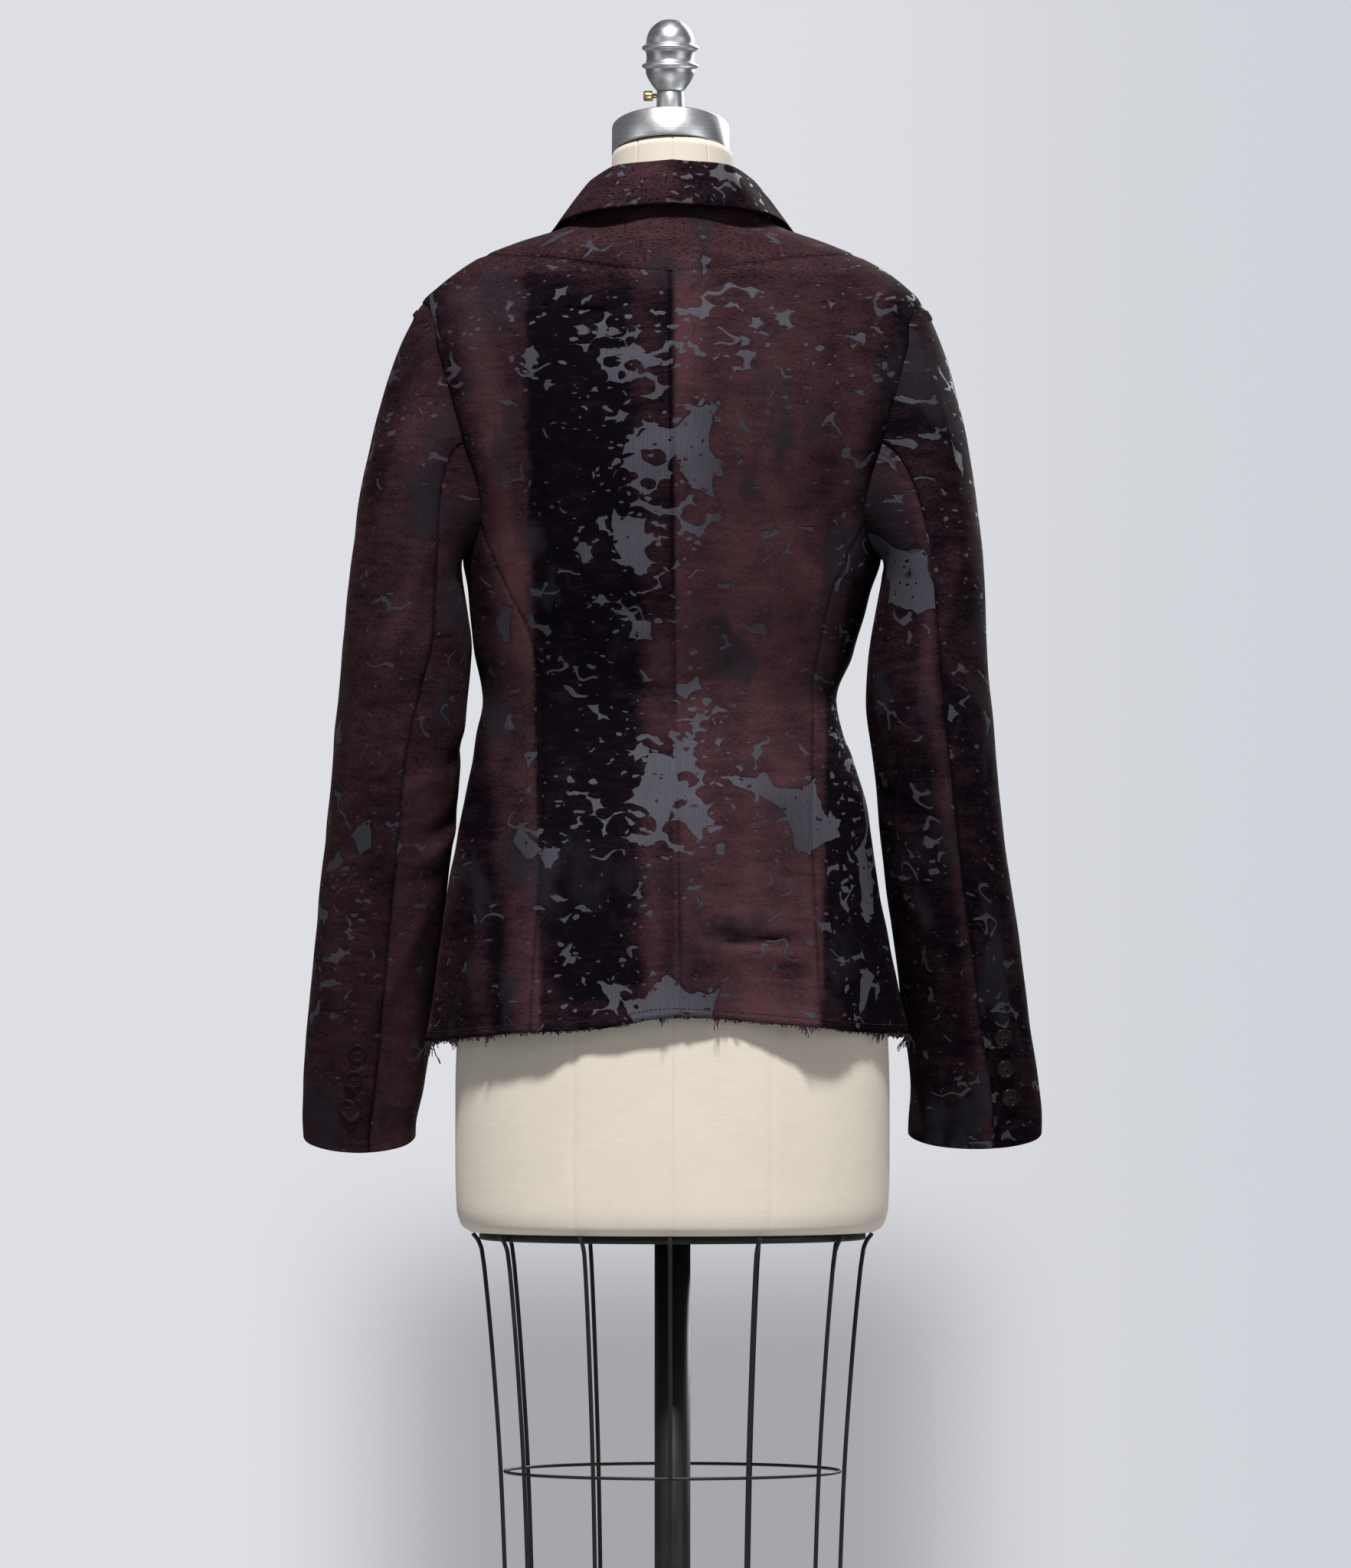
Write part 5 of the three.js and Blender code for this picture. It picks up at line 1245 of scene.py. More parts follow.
@dataclass
class Jacket:
    """All sewn pieces of the jacket."""

    body: BodyShape
    pile: PileMap
    velvet: Material
    wall: float = 1.8
    cell: float = 4.0

    def finish_sheet(
        self, sheet: ClothSheet, node: str
    ) -> Item:
        """Builds a sheet, ties it to the frame and hides the solid that it was cut to."""
        item = sheet.build(self.velvet)
        finish(item, "velvet", node)
        return item

    def surface(self, side: int, turn: Array, z: Array, out: Array | float, edges: str) -> tuple[Array, ...]:
        """The cloth's outer face over the body.

        Args:
            side: 1 for the wearer's left, -1 for the right.
            turn: turns of the grid on that side.
            z: heights of the grid.
            out: extra distance outwards.
            edges: sewn edges, as for edge_dip.

        Returns:
            Points, outward directions, flat places, nap with painted highlight and shade, and burn.
        """
        t = side * turn
        base = self.body.point(t, z)
        normal = self.body.normal(t, z)
        fine = self.body.fine_rise(t, z)
        rise = fine + out + edge_dip(base, edges)
        points = base + normal * rise[..., None]
        lean = grid_normals(points, normal)
        nap_and_light, burn = self.pile.body(points)
        # Painted light: crests of creases and folds painted lighter, their valleys darker, and painted shade along
        # the turned-in sewn edges
        nap_and_light = nap_and_light + 0.07 * np.minimum(fine, 2.5) + 0.012 * self.body.fold_rise(t, z)
        nap_and_light = np.clip(nap_and_light + 0.3 * edge_dip(base, edges, 0.9, 1.7), 0, 1)
        return points, lean, self.body.cloth_place(t, z), nap_and_light, burn

    def back_rows(self, side: int, top_shares: Array, is_back: bool) -> tuple[Array, Array]:
        """Heights at the armhole's edge and outer turns of the rows above the chest."""
        b = self.body
        angles = b.junction * (1 - top_shares)
        z, turn = b.armhole(side, angles if is_back else 360 - angles)
        shoulder = np.linspace(0, 1, 12)[1:]
        z = np.concatenate([z, lerp(b.tip_z, b.ridge_z, shoulder)])
        turn = np.concatenate([turn, np.full(len(shoulder), math.pi / 2)])
        return z, turn

    def back(self, side: Side) -> Item:
        """One centre back panel."""
        b, s = self.body, side.value
        u = spaced(36, 150)
        v = spaced(100, 390, start=False, end=False)
        z = np.full((len(v), len(u)), b.chest_z, float)
        for _ in range(4):
            turn = b.princess_turn(s, z) * u
            z = lerp(b.hem_z(s, turn), b.chest_z, v[:, None])
        outer = b.princess_turn(s, z)
        shares = np.linspace(0, 1, 46)[1:]
        edge_z, edge_turn = self.back_rows(s, shares, True)
        share = (edge_z - b.chest_z) / (b.ridge_z - b.chest_z)
        top = b.yoke_z(u * math.pi / 2)
        upper = lerp(b.chest_z, top[None, :], share[:, None])
        z = np.concatenate([z, upper])
        outer = np.concatenate([outer, np.repeat(edge_turn[:, None], len(u), axis=1)])
        turn = lerp(b.seam_turn(s, z), outer, u)
        r = np.linalg.norm(b.plain(s * turn, z)[..., :2], axis=-1)
        turn[:, 0] -= SEAM_LAP / r[:, 0]
        turn[:, -1] += SEAM_LAP / r[:, -1]
        z[-1] += SEAM_LAP
        sheet = ClothSheet("back_" + side.word + "_cloth", self.wall)
        sheet.add_grid(*self.surface(s, turn, z, 0.0, "set"))
        return self.finish_sheet(sheet, "back_" + side.word)

    def side_grid(self, s: int, is_back: bool, v: Array) -> tuple[Array, Array]:
        """Turns and heights of the block under the armhole."""
        b = self.body
        u = spaced(20, 75)
        angle = lerp(b.junction, 180, u)
        foot_z, foot_turn = b.armhole(s, angle if is_back else 360 - angle)
        z = np.repeat(foot_z[None, :], len(v), axis=0)
        w = v[:, None]
        fore = b.armhole(s, 360 - b.junction)[1]

        def between(h: Array) -> Array:
            line = b.princess_turn(s, h) if is_back else np.full(h.shape, fore)
            return lerp(line, math.pi / 2, u)

        shift = foot_turn - between(z)
        for _ in range(4):
            turn = between(z) + shift * w**3
            z = lerp(b.hem_z(s, turn), foot_z, w)
        return turn, z

    def side_back(self, side: Side) -> Item:
        """One side back panel."""
        b, s = self.body, side.value
        turn, z = self.side_grid(s, True, spaced(100, 390, start=False))
        r = np.linalg.norm(b.plain(s * turn, z)[..., :2], axis=-1)
        turn[:, 0] -= SEAM_LAP / r[:, 0]
        turn[:, -1] += SEAM_LAP / r[:, -1]
        sheet = ClothSheet("side_back_" + side.word + "_cloth", self.wall)
        sheet.add_grid(*self.surface(s, turn, z, 0.0, "set"))
        return self.finish_sheet(sheet, "side_back_" + side.word)

    def front(self, side: Side) -> Item:
        """One front, from its edge to the side seam and the armhole."""
        b, s = self.body, side.value
        fore = float(b.armhole(s, 360 - b.junction)[1])
        u = spaced(34, 150, start=False, end=False)
        v = spaced(100, 410, start=False, end=False)
        z = np.full((len(v), len(u)), b.chest_z, float)
        for _ in range(4):
            turn = lerp(b.edge_turn(s, z), fore, u)
            z = lerp(b.hem_z(s, turn), b.chest_z, v[:, None])
        outer = np.full(z.shape, fore)
        edge_z, edge_turn = self.back_rows(s, np.linspace(0, 1, 46)[1:], False)
        share = (edge_z - b.chest_z) / (b.ridge_z - b.chest_z)
        upper = np.full((len(share), len(u)), b.ridge_z, float)
        for _ in range(4):
            turn = lerp(b.edge_turn(s, upper), math.pi / 2, u)
            upper = lerp(b.chest_z, b.yoke_z(turn), share[:, None])
        low_rows = len(v)
        z = np.concatenate([z, upper])
        outer = np.concatenate([outer, np.repeat(edge_turn[:, None], len(u), axis=1)])
        turn = lerp(b.edge_turn(s, z), outer, u)
        z[-1] += SEAM_LAP
        sheet = ClothSheet("front_" + side.word + "_cloth", self.wall)
        numbers = sheet.add_grid(*self.surface(s, turn, z, b.lift(s, turn, z), "t"))
        turn, z = self.side_grid(s, False, v)
        turn[:, -1] -= SEAM_LAP / np.linalg.norm(b.plain(s * turn[:, -1], z[:, -1])[..., :2], axis=-1)
        sheet.add_grid(*self.surface(s, turn, z, 0.0, "e"), first=numbers[:low_rows, -1])
        return self.finish_sheet(sheet, "front_" + side.word)

    def yoke(self) -> Item:
        """The yoke, from the right lapel's roll round the back to the left one."""
        b = self.body
        v = spaced(16, 60)
        steps = [(-1, "front", u) for u in np.linspace(1, 0, 26)[:-1]]
        steps += [(-1, "back", u) for u in np.linspace(1, 0, 40)]
        steps += [(1, "back", u) for u in np.linspace(0, 1, 40)[1:]]
        steps += [(1, "front", u) for u in np.linspace(0, 1, 26)[1:]]
        turns, heights = [], []
        for s, part, u in steps:
            z = np.full(len(v), 1440.0)
            for _ in range(6):
                if part == "back":
                    turn = lerp(b.seam_turn(s, z) * (1 - u), math.pi / 2, u)
                else:
                    turn = lerp(math.pi / 2, b.edge_turn(s, z), u)
                z = lerp(b.yoke_z(turn) - SEAM_LAP, b.neck_line.at("z", turn / DEG) + 1.1, v)
            turns.append(s * turn)
            heights.append(z)
        turn, z = np.stack(turns, axis=1), np.stack(heights, axis=1)
        sheet = ClothSheet("yoke_cloth", self.wall)
        sheet.add_grid(*self.surface(1, turn, z, 0.0, "b"))
        return self.finish_sheet(sheet, "yoke")

    def lapel(self, side: Side) -> Item:
        """One turned-back lapel, lying on its front."""
        b, s = self.body, side.value
        wide = Table("z wide", [(1186, 3), (1230, 26), (1300, 56), (1360, 76), (1400, 84)])
        u = np.linspace(0, 1, 24)
        w = np.linspace(0, 1, 56)[:, None]
        z = lerp(1186, 1396 - 16 * u[None, :], w)
        edge = np.abs(b.point(s * b.edge_turn(s, z), z)[..., 0])
        turn = b.turn_at_x(s, z, edge + u * wide.at("wide", z), math.pi / 2, math.pi * 1.2)
        out = 3.3 + b.lift(s, turn, z) + 2.2 * bell(u, 0, 0.14) * np.ones_like(z)
        sheet = ClothSheet("lapel_" + side.word + "_cloth", self.wall)
        points, lean, place, nap_and_light, burn = self.surface(s, turn, z, out, "")
        # Painted light: the lapel a little lighter, with painted shade along its outer edge
        nap_and_light = np.clip(nap_and_light + 0.07 - 0.45 * bell(1, u, 0.035), 0, 1)
        sheet.add_grid(points, lean, place, nap_and_light, burn)
        return self.finish_sheet(sheet, "lapel_" + side.word)


@dataclass
class Collar:
    """The turned-down collar, stand and fall in one."""

    body: BodyShape
    pile: PileMap
    velvet: Material
    front_share: float = 0.62

    def over(self, share: float, far: float, drop: float, high: float) -> tuple[float, float, float, float]:
        """A row of the front part, from its place over the fronts."""
        b = self.body
        z = lerp(b.neck_z, 1405, (share - self.front_share) / (1 - self.front_share))
        h = z - far * drop
        x = float(b.plain(b.edge_turn(1, z), z)[0]) + far * math.sqrt(1 - drop * drop)
        turn = b.turn_at_x(1, h, x, b.neck_turn * 0.8, math.pi * 1.1)
        place = b.plain(turn, h) + b.normal(turn, h) * high
        return (share, *[float(c) for c in place])

    def lines(self) -> list[Table]:
        """The collar's four long lines: seam, roll, bulge and fall."""
        back = [
            [(0, 0, 57.5, 1454), (0.25, 38, 45, 1453), (0.5, 62.5, 6, 1451.5)],
            [(0, 0, 58, 1486.5), (0.25, 40, 45, 1483.5), (0.5, 60.5, 3, 1475)],
            [(0, 0, 66.5, 1472.5), (0.25, 48.5, 53.5, 1468.5), (0.5, 71.5, 5, 1460)],
            [(0, 0, 71, 1453.2), (0.25, 55.5, 57, 1449), (0.5, 84.5, 8, 1442.5)],
        ]
        over = [
            [(0.62, -0.6, 0, 2.6), (0.8, -0.6, 0, 2.6), (1, -0.6, 0, 2.6)],
            [(0.62, 0, 0, 8.5), (0.8, 0, 0, 8), (1, 1, 0, 6.5)],
            [(0.62, 12, 0.6, 8.5), (0.8, 22, 0.3, 8.5), (1, 26, 0.1, 6.5)],
            [(0.62, 31, 0.6, 5), (0.8, 46, 0.35, 5), (1, 52, 0.1, 5)],
        ]
        return [
            Table("share x y z", [*rows, *[self.over(*row) for row in more]]) for rows, more in zip(back, over)
        ]

    def build(self) -> Item:
        """Makes the collar."""
        shares = np.linspace(-1, 1, 121)
        far = np.abs(shares)
        seam, roll, bulge, fall = (
            np.stack([np.sign(shares) * t.at("x", far), t.at("y", far), t.at("z", far)], axis=-1)
            for t in self.lines()
        )
        up = np.array([0, 0, 1.0])
        stations = [seam, lerp(seam, roll, 0.5), lerp(seam, roll, 0.9), lerp(roll, bulge, 0.12) + up * 1.6]
        stations += [lerp(roll, bulge, 0.55) + up * 1.8, bulge, lerp(bulge, fall, 0.5), fall]
        rows = np.stack(stations)
        keys = np.array([0, 0.22, 0.38, 0.46, 0.58, 0.72, 0.86, 1.0])
        w = np.linspace(0, 1, 44)
        points = np.empty((len(w), len(shares), 3))
        for column in range(len(shares)):
            table = Table("w x y z", np.column_stack([keys, rows[:, column]]).tolist())
            for axis, name in enumerate("xyz"):
                points[:, column, axis] = table.at(name, w)
        across, along = np.gradient(points, axis=1), np.gradient(points, axis=0)
        normal = unit(np.cross(along, across))
        long = np.cumsum(np.linalg.norm(across, axis=-1), axis=1)
        deep = np.cumsum(np.linalg.norm(along, axis=-1), axis=0)
        place = np.stack([long - long[:, [60]], deep + 700], axis=-1) * MM
        rise = 0.35 * waves(long, deep, 61, 60) + edge_dip(points, "b", 0.5)
        points = points + normal * rise[..., None]
        # Painted shade over the wearer's right half of the collar's back, the fall painted lighter than the stand,
        # and a random change of nap
        shade = ease(8, -12, points[..., 0]) * ease(-20, 10, points[..., 1])
        nap_and_light = 0.5 + 0.12 * waves(long, deep, 62, 40) - 0.36 * shade
        nap_and_light = np.clip(nap_and_light + 0.12 * ease(0.42, 0.52, w)[:, None], 0, 1)
        burn = np.clip(0.52 + 0.3 * waves(long, deep, 63, 120), 0, 1)
        sheet = ClothSheet("collar_cloth", 1.6)
        sheet.add_grid(points, normal, place, nap_and_light, burn)
        item = sheet.build(self.velvet)
        finish(item, "velvet", "collar")
        return item


@dataclass
class Sleeve:
    """One two-piece sleeve."""

    shape: SleeveShape
    pile: PileMap
    velvet: Material
    wall: float = 1.8
    columns: int = 10
    crease_scale: float = 0.85

    def creases(self) -> Sequence[Crease]:
        """Creases of this sleeve: turn round it, height, lean, length, width, rise."""
        if self.shape.side is Side.LEFT:
            return (
                Crease(150, 965, 62, 30, 7, -2.4), Crease(150, 948, 58, 30, 8, 2.2),
                Crease(128, 925, 66, 26, 7, -1.8), Crease(120, 1000, 70, 24, 7, 1.8),
                Crease(160, 1020, 60, 26, 7, -2.0), Crease(70, 985, 75, 24, 8, 1.4),
                Crease(85, 1130, 20, 70, 10, 2.0), Crease(60, 1200, 12, 70, 10, 1.6),
                Crease(110, 850, 24, 60, 9, 1.8), Crease(60, 820, -18, 60, 10, 1.5),
                Crease(-40, 980, -60, 34, 9, 1.8), Crease(-70, 1000, -58, 34, 9, -2.0),
                Crease(-120, 990, -62, 32, 8, 2.2), Crease(-150, 1010, -60, 32, 8, -2.2),
                Crease(-60, 860, 20, 60, 10, 1.6), Crease(10, 1120, 8, 90, 12, 1.4),
                Crease(30, 760, 30, 40, 9, 1.2),
            )
        return (
            Crease(140, 985, 60, 30, 8, -2.0), Crease(140, 965, 62, 28, 8, 2.0),
            Crease(100, 1030, 72, 26, 8, 1.6), Crease(75, 1140, -14, 70, 10, 1.8),
            Crease(120, 880, 18, 70, 9, 1.8), Crease(40, 860, -14, 70, 10, 1.4),
            Crease(60, 940, 30, 50, 9, 1.3), Crease(-45, 990, 58, 34, 9, 1.8),
            Crease(-80, 1005, 60, 34, 9, -2.0), Crease(-130, 985, 60, 32, 8, 2.0),
            Crease(-60, 850, -20, 60, 10, 1.6), Crease(10, 1130, -8, 90, 12, 1.3),
            Crease(35, 770, -28, 40, 9, 1.1),
        )

    def fine_rise(self, turn: Array, level: Array) -> Array:
        """How far the small creases stand out."""
        side = self.shape.side.value
        place = turn * self.crease_scale
        rise = 0.5 * waves(place, level, 51 + side, 80) + 0.25 * waves(place, level, 54 + side, 34)
        return rise + crease_rise(self.creases(), turn, level, self.crease_scale)

    def piece(self, name: str, start: int) -> Item:
        """One of the two pieces, between two columns of the solid's grid.

        Args:
            name: the solid's name.
            start: the column at which it starts.

        Returns:
            The sheet.
        """
        shape = self.shape
        side = shape.side.value
        u = spaced(40, 150)
        index = start + self.columns * u
        v = np.concatenate([[0, 0.004, 0.009, 0.016, 0.026], np.linspace(0.04, 1, 46)[:-1]])
        head = shape.head(np.repeat(index[None, :], len(v), axis=0), np.repeat(v[:, None], len(u), axis=1))
        share = spaced(92, 440, start=False)[:, None]
        level = lerp(shape.top_z, shape.cuff_z, share)
        turn = shape.turns(index[None, :], level, share)
        tube = shape.tube(turn, level, share)
        points = np.concatenate([head, tube])
        first_turn = shape.turns(index, np.full(index.shape, shape.top_z), 0)
        turns = np.concatenate([np.repeat(first_turn[None, :], len(v), axis=0), turn])
        turns = np.unwrap(turns, axis=1, period=360)
        z = points[..., 2]
        middle = np.stack([np.full(z.shape, side * 205.0), np.zeros(z.shape), z], axis=-1)
        middle[len(v) :] = shape.middle(np.repeat(level, len(u), axis=1))
        normal = grid_normals(points, points - middle)
        angle = np.interp(np.mod(index, shape.columns), np.arange(shape.columns + 1), shape.loop)
        z0, turn0 = shape.body.armhole(side, angle)
        lean = shape.body.normal(side * turn0, z0)
        blend = (1 - ease(0, 0.12, v))[:, None, None]
        normal[: len(v)] = unit(lerp(normal[: len(v)], lean[None], blend))
        down = np.concatenate([v, np.ones(len(share))])[:, None]
        rise = self.fine_rise(turns, z) * ease(0, 0.15, down)
        rise = rise + edge_dip(points, "se", 0.8)
        rise = rise - 0.7 * bell(down, 0, 0.02)
        round_half = np.maximum(shape.rings.at("half", z), 46) + 6
        place = np.stack([turns * DEG * round_half * side + side * 900, z * 1.04 + start * 37], axis=-1) * MM
        points = points + normal * rise[..., None]
        points[:, 0] -= unit(points[:, 1] - points[:, 0]) * SEAM_LAP
        points[:, -1] += unit(points[:, -1] - points[:, -2]) * SEAM_LAP
        nap_and_light, burn = self.pile.sleeve(shape.side, turns, points[..., 2])
        # Painted light: crease crests lighter, valleys darker, and painted shade along the sewn edges
        nap_and_light = np.clip(nap_and_light + 0.07 * rise + 0.2 * edge_dip(points, "se", 0.9, 1.7), 0, 1)
        sheet = ClothSheet(name + "_cloth", self.wall)
        sheet.add_grid(points, normal, place, nap_and_light, burn)
        item = sheet.build(self.velvet)
        finish(item, "velvet", name)
        return item

    def build(self) -> None:
        """Makes both pieces."""
        shape, word = self.shape, self.shape.side.word
        self.piece("top_sleeve_" + word, shape.fore_at)
        self.piece("under_sleeve_" + word, shape.hind_at)


@dataclass
class Button:
    """A four-hole button with a raised rim, sewn on with crossed thread."""

    node: str
    radius: float
    thick: float
    material: Material
    thread: Material
    rim_sides: int = 52
    hole_place: float = 1.5

    def frame(self) -> Matrix:
        """The solid's place: its middle, with Z along its axis and outwards."""
        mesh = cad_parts[self.node].data
        co = np.array([v.co for v in mesh.vertices], float)
        centre = (co.min(axis=0) + co.max(axis=0)) / 2
        _, _, axes = np.linalg.svd(co - co.mean(axis=0), full_matrices=False)
        axis = axes[2]
        sleeve = centre[1] > -0.08 and abs(centre[0]) > 0.15
        outward = np.array([np.sign(centre[0]) * 0.5, 1.0, 0]) if sleeve else np.array([0, -1.0, 0])
        if float(np.dot(axis, outward)) < 0:
            axis = -axis
        turn = Vector(axis).to_track_quat("Z", "Y")
        return Matrix.Translation(Vector(centre)) @ turn.to_matrix().to_4x4()

    def build(self) -> Item:
        """Makes the button and its thread as one piece."""
        curve = bpy.data.curves.new(self.node + "_face", "CURVE")
        curve.dimensions = "2D"
        curve.fill_mode = "BOTH"
        inner, hole = self.radius - 1.9, self.hole_place
        rings = [(0.0, 0.0, inner)] + [(x, y, 0.95) for x in (-hole, hole) for y in (-hole, hole)]
        for x, y, r in rings:
            line = curve.splines.new("POLY")
            corners = 48 if r > 2 else 14
            line.points.add(corners - 1)
            for i, point in enumerate(line.points):
                a = i / corners * 2 * math.pi
                point.co = ((x + r * math.cos(a)) * MM, (y + r * math.sin(a)) * MM, 0, 1)
            line.use_cyclic_u = True
        curve.extrude = 0.3 * MM
        curve.bevel_depth = 0.2 * MM
        curve.bevel_resolution = 2
        curve.materials.append(self.material)
        face = new_item(self.node + "_face", curve)
        face = bake(face)
        r = self.radius - 1.25
        half = self.thick / 2 - 0.1
        quarter = np.linspace(-math.pi / 2, math.pi / 2, 9)
        profile = [(r + 1.15 * math.cos(t), half * math.sin(t)) for t in quarter]
        profile += [(r - 0.75 * math.cos(t) ** 0.8, half * math.sin(t) * 0.96) for t in quarter[-2:0:-1]]
        rim = self.ring(np.array(profile), self.rim_sides)
        stitches = [self.strand((-hole, -hole), (hole, hole), 0.3), self.strand((-hole, hole), (hole, -hole), 0.42)]
        parts = [face, rim, *stitches]
        for part in parts[2:]:
            part.data.materials.clear()
            part.data.materials.append(self.thread)
        with bpy.context.temp_override(active_object=face, selected_editable_objects=parts):
            bpy.ops.object.join()
        face.name = self.node + "_sewn"
        place_piece(face, self.frame())
        return finish(face, "button", self.node)

    def ring(self, profile: Array, sides: int) -> Item:
        """A closed ring of the profile about Z."""
        a = np.linspace(0, 2 * math.pi, sides, endpoint=False)
        n = len(profile)
        points = np.stack(
            [np.outer(np.cos(a), profile[:, 0]), np.outer(np.sin(a), profile[:, 0]), np.tile(profile[:, 1], (sides, 1))],
            axis=-1,
        ).reshape(-1, 3)
        faces = [
            [i * n + k, ((i + 1) % sides) * n + k, ((i + 1) % sides) * n + (k + 1) % n, i * n + (k + 1) % n]
            for i in range(sides)
            for k in range(n)
        ]
        mesh = bpy.data.meshes.new("rim")
        mesh.from_pydata((points * MM).tolist(), [], faces)
        mesh.polygons.foreach_set("use_smooth", np.ones(len(faces), bool))
        mesh.materials.append(self.material)
        return new_item("rim", mesh)

    def strand(self, start: tuple[float, float], end: tuple[float, float], high: float) -> Item:
        """A thread from hole to hole, sunk at both ends."""
        curve = bpy.data.curves.new("strand", "CURVE")
        curve.dimensions = "3D"
        line = curve.splines.new("POLY")
        line.points.add(8)
        for i, point in enumerate(line.points):
            t = i / 8
            x, y = lerp(start[0], end[0], t), lerp(start[1], end[1], t)
            z = high * min(1, 6 * t, 6 * (1 - t)) + 0.35 if 0 < i < 8 else -0.5
            point.co = (x * MM, y * MM, z * MM, 1)
        curve.bevel_depth = 0.32 * MM
        curve.use_fill_caps = True
        item = new_item("strand", curve)
        return bake(item)


